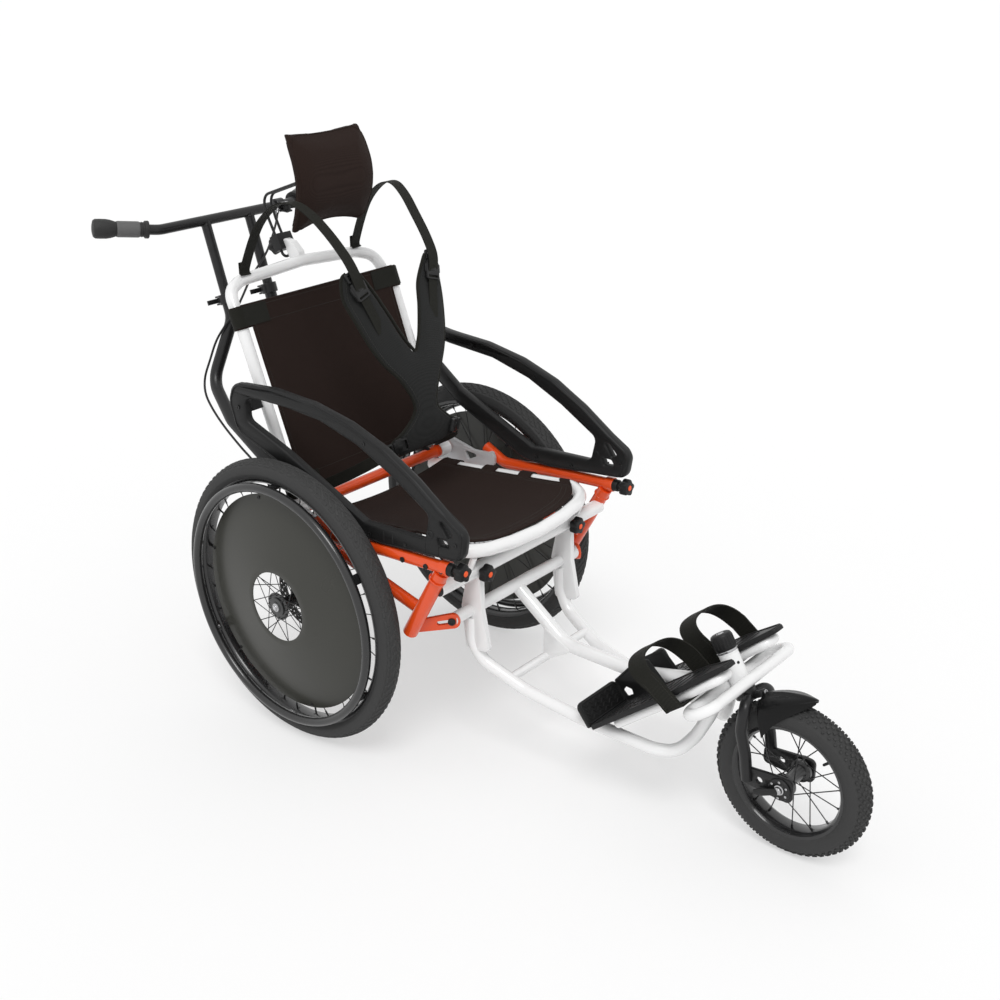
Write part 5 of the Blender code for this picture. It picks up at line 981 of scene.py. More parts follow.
class WHEELCHAIR_OT_rear_frame(bpy.types.Operator):
    """Makes the orange side frames, the axle plates and the cross tube behind the seat"""

    bl_idname = "wheelchair.rear_frame"
    bl_label = "Rear frame"

    def execute(self, context):
        rail = pipe("rail", rail_path(), 0.0125, 28)
        down = pipe("down_tube", [(0.257, -0.385, 0.475), (0.257, -0.297, 0.318)], 0.015, 28)
        diagonal = pipe("diagonal", rounded([(0.2445, -0.327, 0.365), (0.2237, -0.060, 0.412),
                                             (0.2237, 0.008, 0.424)], 0.05), 0.0125, 24)
        outline = rounded([(-0.086, -0.0125), (0.0165, -0.0165, 0.0165), (0.0165, 0.0165, 0.0165),
                           (-0.086, 0.0125)], 0.0, closed=True)
        slot = rounded([(-0.030, -0.0045), (0.006, -0.0045), (0.006, 0.0045), (-0.030, 0.0045)], 0.0044,
                       closed=True)
        bracket = plate("bracket", outline, 0.008, [slot])
        upright = (UP - BRACKET_REACH * UP.dot(BRACKET_REACH)).normalized()
        moved(bracket, frame_of(BRACKET_REACH, upright, (0.200, -0.355, 0.338)))
        cap = lathe("socket", [(0.0135, 0.0), (0.0152, 0.0), (0.0152, 0.017), (0.0135, 0.019)], 40)
        moved(cap, along((0, -0.99779, 0.06652), (RAIL_X, -0.3885, 0.4869)))
        frame_piece = joined("side_frame", [smoothed(rail), smoothed(down), smoothed(diagonal),
                                            smoothed(bracket, 30), smoothed(cap, 40)])
        paired(frame_piece, "side_frame", "orange", "rear_frame_{}", stands=True)

        weld = bead("rail_weld", (RAIL_X, -0.3745, 0.4575), (0.0, 0.088, -0.157), 0.0158)
        paired(weld, "rail_weld", "orange", "rear_frame_{}")
        for name, place, direction, radius in (
                ("down_tube_plug", (0.257, -0.2966, 0.3172), (0, 0.4889, -0.8723), 0.0142),
                ("rail_plug", (RAIL_X, -0.0497, 0.4879), (0, 0.904, 0.427), 0.0118),
                ("diagonal_plug", (0.2237, 0.0088, 0.4241), (0, 0.985, 0.174), 0.0118)):
            paired(end_plug(name, place, direction, radius), name, "cap", "rear_frame_{}")

        heads = [along(ACROSS, (RAIL_X + 0.0122, y, z)) for y, z in RAIL_BOLTS]
        paired(scattered("rail_bolts", bolt("bolt", 0.0056, 0.0026), heads), "rail_bolts", "cap",
               "rear_frame_{}")
        face = upright.cross(BRACKET_REACH).normalized()
        heads = [along(sign * face, Vector((0.200, -0.355, 0.338)) + face * (sign * 0.0040))
                 for sign in (1, -1)]
        paired(scattered("slot_bolts", bolt("bolt", 0.0078, 0.0030), heads), "slot_bolts", "cap",
               "rear_frame_{}")

        outline = rounded([(-0.092, 0.486, 0.011), (-0.030, 0.480, 0.020), (0.036, 0.494, 0.020),
                           (0.076, 0.486, 0.020), (0.084, 0.345, 0.020), (0.032, 0.279, 0.026),
                           (-0.026, 0.279, 0.024), (-0.034, 0.420, 0.040), (-0.092, 0.460, 0.011)], 0.0,
                          closed=True)
        windows = [rounded([(-0.048, 0.471), (-0.002, 0.474), (-0.012, 0.452)], 0.004, closed=True),
                   rounded([(0.030, 0.442), (0.062, 0.442), (0.046, 0.400)], 0.005, closed=True)]
        carrier = standing(plate("carrier", outline, 0.008, windows), 0.2405)
        spacer = pipe("spacer", [(0.2405, -0.075, 0.475), (RAIL_X, -0.075, 0.475)], 0.010, 24)
        paired(joined("carrier", [smoothed(carrier, 30), smoothed(spacer)]), "axle_carrier", "alloy",
               "axle_plate_{}", stands=True)
        boss = lathe("boss",
                     [(0.0, 0.002), (0.0185, 0.002), (0.0185, 0.006), (0.0170, 0.0075), (0.0170, 0.0155),
                      (0.0062, 0.0155), (0.0062, 0.1035), (0.0054, 0.1045), (0.0, 0.1045)], 40)
        paired(moved(smoothed(boss, 30), along(ACROSS, (0.2405, 0, REAR_RADIUS))), "axle_boss", "steel",
               "axle_plate_{}")

        bar = pipe("cross_tube", [(-0.2362, HINGE_Y, HINGE_Z), (0.2362, HINGE_Y, HINGE_Z)], 0.0125, 28)
        collars = []
        for side in (RIGHT, LEFT):
            collar = lathe("collar", [(0.0127, -0.004), (0.0145, -0.004), (0.0145, 0.004), (0.0127, 0.004)],
                           40)
            collars.append(smoothed(moved(collar, along(ACROSS, (side * 0.1985, HINGE_Y, HINGE_Z))), 40))
        dressed(smoothed(joined("cross_tube", [bar, *collars]), 40), "orange", "rear_cross_tube")
        return {"FINISHED"}


class WHEELCHAIR_OT_front_frame(bpy.types.Operator):
    """Makes the white front frame: crossbars, middle tube, side tubes, head tube and bumper loop"""

    bl_idname = "wheelchair.front_frame"
    bl_label = "Front frame"

    def execute(self, context):
        bar = pipe("upper_bar", [(-0.253, -0.370, 0.432), (0.253, -0.370, 0.432)], 0.015, 28)
        posts = [bar]
        for side in (RIGHT, LEFT):
            ends = [(side * 0.168, -0.372, 0.436), (side * 0.168, -0.386, 0.4715)]
            posts.append(pipe("post", ends, 0.0065, 20))
        dressed(smoothed(joined("upper_bar", posts)), "white", "upper_crossbar")
        for side in (RIGHT, LEFT):
            plug = end_plug(f"upper_bar_plug_{side}", (side * 0.2532, -0.370, 0.432), (side, 0, 0), 0.0142)
            settle(plug, "cap", "upper_crossbar")

        lower = pipe("lower_bar", [(-0.198, -0.355, 0.340), (0.198, -0.355, 0.340)], 0.0125, 28)
        spine = pipe("spine", rounded([(0, -0.355, 0.334), (0, -0.479, 0.245), (0, -0.653, 0.245),
                                       (0, -0.8525, 0.2966)], 0.09), 0.014, 28)
        brace = pipe("brace", [(-0.128, -0.440, 0.207), (0.128, -0.440, 0.207)], 0.009, 20)
        web = plate("web",
                    rounded([(-0.434, 0.207), (-0.450, 0.205), (-0.505, 0.240), (-0.435, 0.274)], 0.004,
                            closed=True), 0.030)
        standing(web, 0.0)
        dressed(joined("middle_tubes",
                       [smoothed(lower), smoothed(spine), smoothed(brace), smoothed(web, 30)]),
                "white", "middle_tube")

        tube_piece = pipe("side_tube", rounded([
            (0.143, -0.356, 0.325), (0.143, -0.356, 0.270), (0.138, -0.378, 0.232), (0.118, -0.470, 0.190),
            (0.103, -0.600, 0.168), (0.100, -0.766, 0.168), (0.080, -0.805, 0.168), (0.052, -0.826, 0.198),
            (0.033, -0.842, 0.240), (0.020, -0.8538, 0.2923)], 0.06), 0.0125, 28)
        gusset = plate("gusset", rounded([(-0.350, 0.422), (-0.384, 0.422), (-0.386, 0.350), (-0.404, 0.262),
                                          (-0.346, 0.250), (-0.334, 0.345)], 0.010, closed=True), 0.012)
        standing(gusset, 0.143)
        paired(joined("side_tube", [smoothed(tube_piece), smoothed(gusset, 30)]), "front_side_tube", "white",
               "side_tube_{}", stands=True)

        head = lathe("head", [(0.0140, 0.0), (0.0190, 0.0), (0.0196, 0.001), (0.0196, 0.007), (0.0190, 0.008),
                              (0.0190, 0.070), (0.0196, 0.071), (0.0196, 0.077), (0.0190, HEAD_LENGTH),
                              (0.0140, HEAD_LENGTH)], 48)
        moved(head, along(STEER, HEAD_FOOT))
        loop = []
        for side in (LEFT, RIGHT):
            for step in range(19):
                turn = math.pi * step / 18
                loop.append(head_point(side * (0.150 - 0.0295 + 0.0295 * math.sin(turn)), 0.016,
                                       0.0295 * math.cos(turn) * side))
        bumper = pipe("bumper", loop, 0.011, 28, closed=True)
        dressed(joined("head_and_bumper", [smoothed(head, 30), smoothed(bumper)]), "white", "head_tube")
        screws = []
        for height, turn in ((0.051, math.radians(110)), (0.019, math.radians(132))):
            out = ACROSS * math.cos(turn) + STEER_FORWARD * math.sin(turn)
            screws.append(along(out, head_point(0, height, 0) + out * 0.0186))
        settle(scattered("head_screws", bolt("screw", 0.0028, 0.0012), screws), "cap", "head_tube")
        for height in (0.0, HEAD_LENGTH - 0.0042):
            race = lathe(f"head_race_{height:.3f}", [(0.0142, 0.0), (0.0203, 0.0), (0.0208, 0.0008),
                                                     (0.0208, 0.0034), (0.0203, 0.0042), (0.0142, 0.0042)],
                         48)
            moved(smoothed(race, 30), along(STEER, head_point(0, height, 0)))
            settle(race, "steel", "head_tube")
        return {"FINISHED"}


# Wheels

def tyre_points(wheel_radius, section, lift, steps=40):
    """The outside of a tyre's section from bead to bead, as (radius, side) points."""
    middle = wheel_radius - section
    points = []
    for step in range(steps + 1):
        angle = -BEAD_ANGLE + 2 * BEAD_ANGLE * step / steps
        reach = section + lift(abs(angle))
        points.append((middle + reach * math.cos(angle), reach * math.sin(angle)))
    return points


def tyre_body(name, wheel_radius, section, lift, steps):
    """A hollow tyre about Z with its profile raised by lift(angle from the crown)."""
    outer = tyre_points(wheel_radius, section, lift)
    middle = wheel_radius - section
    inner = []
    for step in range(15):
        angle = BEAD_ANGLE - 2 * BEAD_ANGLE * step / 14
        inner.append((middle + (section - TYRE_WALL) * math.cos(angle),
                      (section - TYRE_WALL) * math.sin(angle)))
    return smoothed(lathe(name, outer + inner, steps), 50)


def knob_block(length, width, height):
    """A tyre block with sloped sides, standing on z = 0."""
    clear_selection()
    bpy.ops.mesh.primitive_cube_add(size=1.0)
    block_piece = bpy.context.object
    for vertex in block_piece.data.vertices:
        top = vertex.co.z > 0
        spread = 0.80 if top else 1.12
        vertex.co = (vertex.co.x * length * spread, vertex.co.y * width * spread, height if top else -0.0012)
    edit(block_piece)
    bpy.ops.mesh.bevel(offset=min(length, width) * 0.07, segments=1, affect="EDGES")
    leave()
    return block_piece


def tread(name, middle, section, rows, template):
    """Tyre blocks in rows, on a section of the given radius about the middle circle. Each row gives the
    angle from the crown, how many there are, the turn of the first and the twist of each."""
    places = []
    for angle, count, start, twist in rows:
        for index in range(count):
            turn = start + 2 * math.pi * index / count
            out = Matrix.Rotation(turn, 4, "Z") @ Matrix.Translation((middle, 0, 0))
            tilt = Matrix.Rotation(-angle, 4, "Y") @ Matrix.Translation((section, 0, 0))
            stand = Matrix.Rotation(math.pi / 2, 4, "Y") @ Matrix.Rotation(twist, 4, "Z")
            places.append(out @ tilt @ stand)
    return scattered(name, template, places)


INWARDS = Matrix.Rotation(-math.pi / 2, 4, "Y")


def round_wheel(turn, radius, height=0.0, facing=Matrix()):
    """The place at a turn about Z, at a radius and a height."""
    return Matrix.Rotation(turn, 4, "Z") @ Matrix.Translation((radius, 0, height)) @ facing


def on_circle(turn, radius, height):
    """The place on a circle about Z, with no turn of its own."""
    return Matrix.Translation((radius * math.cos(turn), radius * math.sin(turn), height))


def laced_spokes(name, count, hub_radius, rim_radius, flanges, rim_spread, radius, crossing):
    """Crossed spokes from both flanges to the rim, about Z, each with an elbow at its flange."""
    spokes = []
    per_flange = count // 2
    for flange, offset in enumerate(flanges):
        for index in range(per_flange):
            leads = 1 if index % 2 else -1
            pitch = 2 * math.pi / per_flange
            hub_turn = pitch * (index + 0.5 * flange)
            rim_turn = pitch * (index + 0.5 * flange) + leads * crossing
            height = offset + leads * 0.0016
            start = Vector((hub_radius * math.cos(hub_turn), hub_radius * math.sin(hub_turn), height))
            end = Vector((rim_radius * math.cos(rim_turn), rim_radius * math.sin(rim_turn),
                          math.copysign(rim_spread, offset)))
            elbow = start - Vector((0, 0, leads * 0.0040))
            spokes.append(pipe("spoke", [elbow, start, end], radius, 8))
            nipple = pipe("nipple", [end.lerp(start, 0.062), end], radius * 1.9, 8)
            spokes.append(nipple)
    return smoothed(joined(name, spokes), 50)


def rim_points(seat, half, depth):
    """A rim's section: hooked flanges, a drop centre and rounded shoulders, as (radius, side) points."""
    inner = seat - depth
    return [(seat, half), (seat - 0.0008, half), (seat - 0.0060, half * 0.93), (inner + 0.0020, half * 0.72),
            (inner, half * 0.54), (inner, -half * 0.54), (inner + 0.0020, -half * 0.72),
            (seat - 0.0060, -half * 0.93), (seat - 0.0008, -half), (seat, -half), (seat, -half * 0.80),
            (seat - 0.0040, -half * 0.55), (seat - 0.0040, half * 0.55), (seat, half * 0.80)]


def disc_with_windows(name, radius, thickness):
    """A drilled brake disc with five arms, about Z."""
    windows = [ring_points((0, 0), 0.0126, 24)]
    for index in range(5):
        middle = 2 * math.pi * index / 5
        corners = [(0.027, -0.34), (0.055, -0.50), (0.0565, -0.26), (0.0570, 0.0), (0.0565, 0.26),
                   (0.055, 0.50),
                   (0.027, 0.34)]
        windows.append([(reach * math.cos(middle + turn), reach * math.sin(middle + turn))
                        for reach, turn in corners])
    circles = ((0.0740, 30, 0.0023), (0.0670, 30, 0.0023), (0.0612, 15, 0.0018))
    for row, (reach, count, size) in enumerate(circles):
        for index in range(count):
            angle = 2 * math.pi * (index + 0.5 * row) / count
            windows.append(ring_points((reach * math.cos(angle), reach * math.sin(angle)), size, 8))
    return smoothed(plate(name, ring_points((0, 0), radius, 96), thickness, windows, 0.0003), 30)


class WHEELCHAIR_OT_rear_wheels(bpy.types.Operator):
    """Makes both rear wheels: tyre, rim, spokes, hub, brake disc, cover, hand ring and caliper"""

    bl_idname = "wheelchair.rear_wheels"
    bl_label = "Rear wheels"

    def execute(self, context):
        sizes = context.scene.wheelchair_sizes
        seat = REAR_RADIUS - REAR_SECTION + REAR_SECTION * math.cos(BEAD_ANGLE) - BEAD_GAP
        stand = along(ACROSS, (REAR_PLANE, 0, REAR_RADIUS))

        def lift(angle):
            if angle < 0.88:
                return -0.0012
            return 0.0009 if 1.05 < angle < 1.13 or 1.66 < angle < 1.76 else 0.0

        tyre = tyre_body("tyre", REAR_RADIUS, REAR_SECTION, lift, 144)
        rows = [(0.0, REAR_BLOCKS, 0.0, 0.0)]
        for angle, start, twist in ((0.26, 0.035, 0.45), (0.52, 0.0, 0.30), (0.78, 0.035, 0.0)):
            rows += [(side * angle, REAR_BLOCKS, start, side * twist) for side in (1, -1)]
        blocks = tread("blocks", REAR_RADIUS - REAR_SECTION, REAR_SECTION - 0.0012, rows,
                       knob_block(0.0046, 0.0145, 0.0012))
        paired(moved(joined("tyre", [tyre, blocks]), stand), "rear_tread", "rubber", "rear_tyre_{}",
               stands=True)

        rim = smoothed(lathe("rim", rim_points(seat, REAR_RIM_HALF, RIM_DEPTH), 144), 30)
        holes = [round_wheel(2 * math.pi * index / sizes.rear_spokes, seat - RIM_DEPTH - 0.0001, 0, INWARDS)
                 for index in range(sizes.rear_spokes)]
        eyelet = lathe("eyelet", [(0.0010, 0.0), (0.0032, 0.0), (0.0028, 0.0008), (0.0010, 0.0010)], 12)
        eyelets = scattered("eyelets", eyelet, holes)
        paired(moved(joined("rim", [rim, eyelets]), stand), "rear_rim", "rim", "rear_wheel_{}", stands=True)

        spokes = laced_spokes("spokes", sizes.rear_spokes, FLANGE - 0.003, seat - RIM_DEPTH + 0.002,
                              (FLANGE_OUT, -FLANGE_IN), 0.0040, sizes.spoke, math.radians(67.5))
        paired(moved(spokes, stand), "rear_spokes", "spoke_black", "rear_wheel_{}")

        hub = lathe("hub", [
            (0.0066, 0.0396), (0.0105, 0.0404), (0.0120, 0.0398), (0.0124, 0.0388), (0.0190, 0.0384),
            (0.0200, 0.0376), (0.0200, 0.0350), (0.0290, 0.0345), (0.0298, 0.0337), (0.0298, 0.0318),
            (0.0290, 0.0310), (0.0150, 0.0290), (0.0125, 0.0240), (0.0118, 0.0), (0.0125, -0.0180),
            (0.0160, -0.0235), (0.0290, -0.0255), (0.0298, -0.0263), (0.0298, -0.0307), (0.0290, -0.0315),
            (0.0190, -0.0345), (0.0190, -0.0450), (0.0182, -0.0456), (0.0066, -0.0456)], 64)
        paired(moved(smoothed(hub, 28), stand), "rear_hub", "rim", "rear_wheel_{}")
        washer = lathe("washer", [(0.0064, 0.0400), (0.0092, 0.0400), (0.0092, 0.0410), (0.0086, 0.0416),
                                  (0.0064, 0.0416)], 40)
        paired(moved(smoothed(washer, 30), stand), "hub_washer", "steel", "rear_wheel_{}")

        rotor = moved(disc_with_windows("rotor", ROTOR_RADIUS, 0.0020),
                      Matrix.Translation((0, 0, -ROTOR_OFFSET)))
        paired(moved(rotor, stand), "brake_disc", "disc", "rear_wheel_{}")
        screws = [on_circle(math.pi * index / 3, 0.0152, -0.0392) for index in range(6)]
        paired(moved(scattered("rotor_screws", bolt("screw", 0.0026, 0.0022), screws), stand),
               "brake_disc_screws", "steel", "rear_wheel_{}")

        high = COVER_LOW + COVER_RISE
        slope = []
        for step in range(13):
            share = step / 12
            bow = 0.0016 * math.sin(math.pi * share)
            slope.append((COVER_HOLE + (COVER_RADIUS - 0.004 - COVER_HOLE) * share,
                          high + 0.0025 - COVER_RISE * share + bow))
        inner = [(radius, height - 0.0025) for radius, height in reversed(slope)]
        profile = [(COVER_HOLE - 0.0012, high + 0.0008), (COVER_HOLE - 0.0008, high + 0.0022)] + slope
        profile += [(COVER_RADIUS - 0.001, COVER_LOW + 0.0021), (COVER_RADIUS, COVER_LOW + 0.0012),
                    (COVER_RADIUS - 0.001, COVER_LOW + 0.0002)] + inner
        cover = smoothed(lathe("cover", profile, 160), 30)
        paired(moved(cover, stand), "cover_disc", "cover", "wheel_cover_{}", stands=True)
        fixings = [round_wheel(2 * math.pi * (index + 0.25) / 6, 0.2270, COVER_LOW + 0.0034)
                   for index in range(6)]
        paired(moved(scattered("cover_clips", bolt("clip", 0.0036, 0.0014), fixings), stand), "cover_clips",
               "cap", "wheel_cover_{}")

        clear_selection()
        bpy.ops.mesh.primitive_torus_add(major_radius=HANDRIM_RADIUS, minor_radius=HANDRIM_TUBE,
                                         major_segments=160, minor_segments=24)
        ring = smoothed(moved(context.object, Matrix.Translation((0, 0, HANDRIM_STANDOFF))))
        tabs = [ring]
        turns = [2 * math.pi * (index + 0.5) / 6 for index in range(6)]
        for turn in turns:
            tab = block("tab", (0.2572, -0.0105, 0.0150), (0.2622, 0.0105, 0.0350), 0.0012, 2)
            tabs.append(smoothed(moved(tab, Matrix.Rotation(turn, 4, "Z")), 30))
        paired(moved(joined("handring", tabs), stand), "hand_ring", "rim", "handrim_{}", stands=True)
        screws = [round_wheel(turn, 0.2570, 0.0215, INWARDS) for turn in turns]
        paired(moved(scattered("tab_screws", bolt("screw", 0.0032, 0.0018), screws), stand), "tab_screws",
               "steel", "handrim_{}")

        stem = lathe("valve", [(0.0, 0.0300), (0.0020, 0.0300), (0.0026, 0.0280), (0.0026, 0.0), (0.0, 0.0)],
                     16)
        moved(stem, stand @ round_wheel(0.2, seat - RIM_DEPTH, 0, INWARDS))
        paired(smoothed(stem, 40), "rear_valve", "cap", "rear_wheel_{}")

        button = lathe("button", [(0.0, 0.0456), (0.0030, 0.0455), (0.0042, 0.0446), (0.0042, 0.0356),
                                  (0.0, 0.0356)], 32)
        paired(moved(smoothed(button, 30), stand), "release_button", "metal", "axle_button_{}", stands=True)
        caliper = softened("brake_caliper_left", "caliper", 0.0022, 3)
        paired(caliper, "disc_caliper", "black", "brake_caliper_{}", stands=True)
        return {"FINISHED"}


class WHEELCHAIR_OT_front_wheel(bpy.types.Operator):
    """Makes the front wheel: knobbly tyre, rim, spokes, hub with bolted flanges and valve"""

    bl_idname = "wheelchair.front_wheel"
    bl_label = "Front wheel"

    def execute(self, context):
        sizes = context.scene.wheelchair_sizes
        seat = FRONT_RADIUS - FRONT_SECTION + FRONT_SECTION * math.cos(BEAD_ANGLE) - BEAD_GAP
        stand = along(ACROSS, FRONT_AXLE)
        low = sizes.tread

        def lift(angle):
            if angle < 1.0:
                return -low
            if angle < 1.16:
                return -low * (1.16 - angle) / 0.16
            return 0.0009 if 1.60 < angle < 1.70 else 0.0

        tyre = tyre_body("tyre", FRONT_RADIUS, FRONT_SECTION, lift, 120)
        pieces = [tyre]
        root = FRONT_SECTION - low
        half_step = math.pi / FRONT_BLOCKS
        for angle, size, twist in ((0.13, (0.0048, 0.0066), 0.12), (0.38, (0.0048, 0.0062), 0.35),
                                   (0.64, (0.0046, 0.0058), 0.20), (0.90, (0.0042, 0.0048), 0.0)):
            shifted = half_step if angle in (0.38, 0.90) else 0.0
            rows = [(angle, FRONT_BLOCKS, shifted, twist),
                    (-angle, FRONT_BLOCKS, half_step - shifted, -twist)]
            pieces.append(tread("blocks", FRONT_RADIUS - FRONT_SECTION, root, rows, knob_block(*size, low)))
        dressed(moved(joined("front_tread", pieces), stand), "rubber", "front_tyre")

        rim = smoothed(lathe("front_rim", rim_points(seat, FRONT_RIM_HALF, RIM_DEPTH), 120), 30)
        dressed(moved(rim, stand), "rim", "front_wheel")
        spokes = laced_spokes("front_spokes", sizes.front_spokes, 0.0195, seat - RIM_DEPTH + 0.001,
                              (FRONT_FLANGE, -FRONT_FLANGE), 0.0050, sizes.spoke * 1.15, math.radians(66))
        settle(moved(spokes, stand), "spoke_black", "front_wheel")

        half = [(0.0064, 0.0367), (0.0118, 0.0367), (0.0130, 0.0355), (0.0130, 0.0340), (0.0205, 0.0334),
                (0.0224, 0.0322), (0.0224, 0.0262), (0.0210, 0.0250), (0.0150, 0.0230), (0.0130, 0.0180)]
        profile = half + [(radius, -height) for radius, height in reversed(half)]
        hub = smoothed(lathe("front_hub", profile, 56), 28)
        settle(moved(hub, stand), "rim", "front_wheel")
        bolts = []
        for side in (RIGHT, LEFT):
            for index in range(5):
                face = on_circle(2 * math.pi * index / 5, 0.0170, side * 0.0330)
                bolts.append(face @ (Matrix.Rotation(math.pi, 4, "X") if side < 0 else Matrix.Identity(4)))
        settle(moved(scattered("front_hub_bolts", bolt("screw", 0.0022, 0.0020), bolts), stand), "steel",
               "front_wheel")
        stem = lathe("front_valve", [(0.0, 0.0240), (0.0022, 0.0240), (0.0028, 0.0220), (0.0028, 0.0),
                                     (0.0, 0.0)], 16)
        moved(stem, stand @ round_wheel(2.4, seat - RIM_DEPTH, 0, INWARDS))
        settle(smoothed(stem, 40), "cap", "front_wheel")
        return {"FINISHED"}


# Steering

def fender_turn(forward, radius):
    """The angle about the front axle of a point so far in front of the steering axis."""
    heading = math.atan2(STEER_FORWARD.z, STEER_FORWARD.y)
    axle_forward = (FRONT_AXLE - HEAD_FOOT).dot(STEER_FORWARD)
    return heading - math.acos((forward - axle_forward) / radius)


def fender_sheet():
    """The fender's shell: a soft ridge along its top, deep skirts and a pointed tip."""
    section = flowing([(0.0, 0.0, 0.0), (0.55, 0.05, 0.0), (0.90, 0.22, 0.0), (1.0, 0.55, 0.0),
                       (1.0, 1.0, 0.0)], 0.06)
    last = len(section) - 1

    def place(u, v):
        side = 2 * u - 1
        point = section[min(last, round(abs(side) * last))]
        across, down = point.x, point.y
        top = 0.1644 + (0.1780 - 0.1644) * v ** 1.5
        half = 0.037 * (1 - 0.90 * v ** 3)
        skirt = 0.062 * (1 - v) ** 0.75 + 0.006
        ridge = 0.0030 * math.exp(-(half * across / 0.0075) ** 2) * (1 - 0.3 * v)
        radius = top - skirt * down + ridge
        start = fender_turn(0.0400 + (0.0206 - 0.0400) * down, radius)
        angle = start + (math.radians(101) - start) * v
        return FRONT_AXLE + Vector((math.copysign(half * across, side), radius * math.cos(angle),
                                    radius * math.sin(angle)))

    shell = grid("fender_shell", 2 * last, 40, place, (0.11, 0.26))
    thick(shell, 0.0026)
    clean(shell)
    return smoothed(modified(shell, "BEVEL", width=0.0008, segments=2, limit_method="ANGLE",
                             angle_limit=math.radians(50)), 50)


class WHEELCHAIR_OT_steering(bpy.types.Operator):
    """Makes the fork, the fender, the steering lock cap and the front axle's quick release"""

    bl_idname = "wheelchair.steering"
    bl_label = "Steering"

    def execute(self, context):
        crown = lathe("crown", [(0.0, -0.0003), (0.0202, -0.0003), (0.0212, -0.0013), (0.0212, -0.0150),
                                (0.0200, -0.0165), (0.0, -0.0165)], 48)
        pieces = [smoothed(moved(crown, along(STEER, HEAD_FOOT)), 30)]
        pieces.append(smoothed(pipe("steerer",
                                    [head_point(0, -0.012, 0), head_point(0, HEAD_LENGTH + 0.019, 0)],
                                    0.0135, 24)))
        lug = block("lug", (-0.009, 0.0, 0.010), (0.009, 0.0392, 0.021), 0.0012)
        pieces.append(smoothed(moved(lug, frame_of((1, 0, 0), STEER_FORWARD, HEAD_FOOT)), 30))
        for side in (RIGHT, LEFT):
            x = side * 0.045
            leg = rounded([head_point(0, -0.016, 0.002), head_point(x, -0.016, 0.026), (x, -0.914, 0.242),
                           (x, -0.926, 0.197), (x, -0.934, 0.146)], 0.05)
            pieces.append(smoothed(pipe("leg", leg, 0.011, 24)))
            y, z = FRONT_AXLE.y, FRONT_AXLE.z
            outline = rounded([(-0.920, z - 0.019), (-0.920, z + 0.015), (y, z + 0.024, 0.020),
                               (y - 0.024, z + 0.024, 0.024), (y - 0.024, z - 0.024, 0.024),
                               (y, z - 0.024, 0.020)], 0.010, closed=True)
            dropout = plate("dropout", outline, 0.008, [ring_points((-0.958, z - 0.001), 0.0065, 24)], 0.0014)
            pieces.append(smoothed(standing(dropout, side * 0.041), 30))
        dressed(joined("fork_tubes", pieces), "black", "fork")
        for side in (RIGHT, LEFT):
            end = lathe(f"axle_end_{side}",
                        [(0.0, 0.0112), (0.0060, 0.0112), (0.0072, 0.0100), (0.0078, 0.0060),
                         (0.0098, 0.0050), (0.0098, 0.0), (0.0, 0.0)], 6 if side > 0 else 32)
            flange = along((side, 0, 0), FRONT_AXLE + Vector((side * 0.0451, 0, 0)))
            moved(smoothed(end, 25), flange)
            settle(end, "cap" if side > 0 else "steel", "fork")
            disc = lathe(f"axle_disc_{side}", [(0.0, 0.0), (0.0208, 0.0), (0.0218, 0.0010), (0.0218, 0.0032),
                                               (0.0206, 0.0044), (0.0120, 0.0044), (0.0105, 0.0036),
                                               (0.0, 0.0036)],
                         48)
            settle(moved(smoothed(disc, 30), flange), "black", "fork")
            rounds = [flange @ on_circle(math.pi * (index + 0.5) / 3, 0.0166, 0.0042) for index in range(6)]
            settle(scattered(f"axle_disc_screws_{side}", bolt("screw", 0.0024, 0.0016), rounds), "steel",
                   "fork")
        lever = plate("qr_lever", rounded([(-0.0062, 0.0), (0.0062, 0.0), (0.0075, 0.034), (0.0045, 0.052),
                                           (-0.0045, 0.052), (-0.0075, 0.034)], 0.004, closed=True), 0.0040,
                      soft=0.0012)
        moved(lever, frame_of((0, 0.42, 0.907), (0, 0.907, -0.42), FRONT_AXLE + Vector((-0.0555, 0, 0))))
        settle(smoothed(lever, 30), "cap", "fork")

        dressed(fender_sheet(), "fender", "fender")
        screw = moved(bolt("fender_screw", 0.0048, 0.0024),
                      along(STEER_FORWARD, head_point(0, -0.0155, 0.0422)))
        settle(screw, "steel", "fender")

        profile = [(0.0, 0.0310), (0.0165, 0.0310), (0.0190, 0.0296), (0.0200, 0.0275), (0.0205, 0.0260),
                   (0.0205, 0.0040), (0.0198, 0.0015), (0.0190, 0.0), (0.0139, 0.0), (0.0139, 0.0210),
                   (0.0, 0.0210)]
        cap = smoothed(lathe("cap", profile, 64), 30)
        ribs = [cap]
        ridge = block("ridge", (0.0196, -0.0011, 0.0050), (0.0212, 0.0011, 0.0250), 0.0005, 1)
        ribs.append(scattered("ridges", ridge, [Matrix.Rotation(2 * math.pi * index / 20, 4, "Z")
                                                for index in range(20)]))
        cap = moved(joined("lock_cap", ribs), along(STEER, head_point(0, HEAD_LENGTH + 0.0003, 0)))
        dressed(cap, "plastic", "steering_cap")
        button = lathe("lock_cap_centre", [(0.0, 0.0018), (0.0066, 0.0014), (0.0076, 0.0), (0.0, -0.001)], 32)
        settle(moved(smoothed(button, 40), along(STEER, head_point(0, HEAD_LENGTH + 0.0312, 0))), "steel",
               "steering_cap")
        return {"FINISHED"}


# Knobs

def lobed(radius, lobe, count=5, steps=90):
    """The outline of a hand knob with rounded lobes."""
    points = []
    for index in range(steps):
        turn = 2 * math.pi * index / steps
        reach = radius + lobe * math.cos(count * turn)
        points.append((reach * math.cos(turn), reach * math.sin(turn)))
    return points


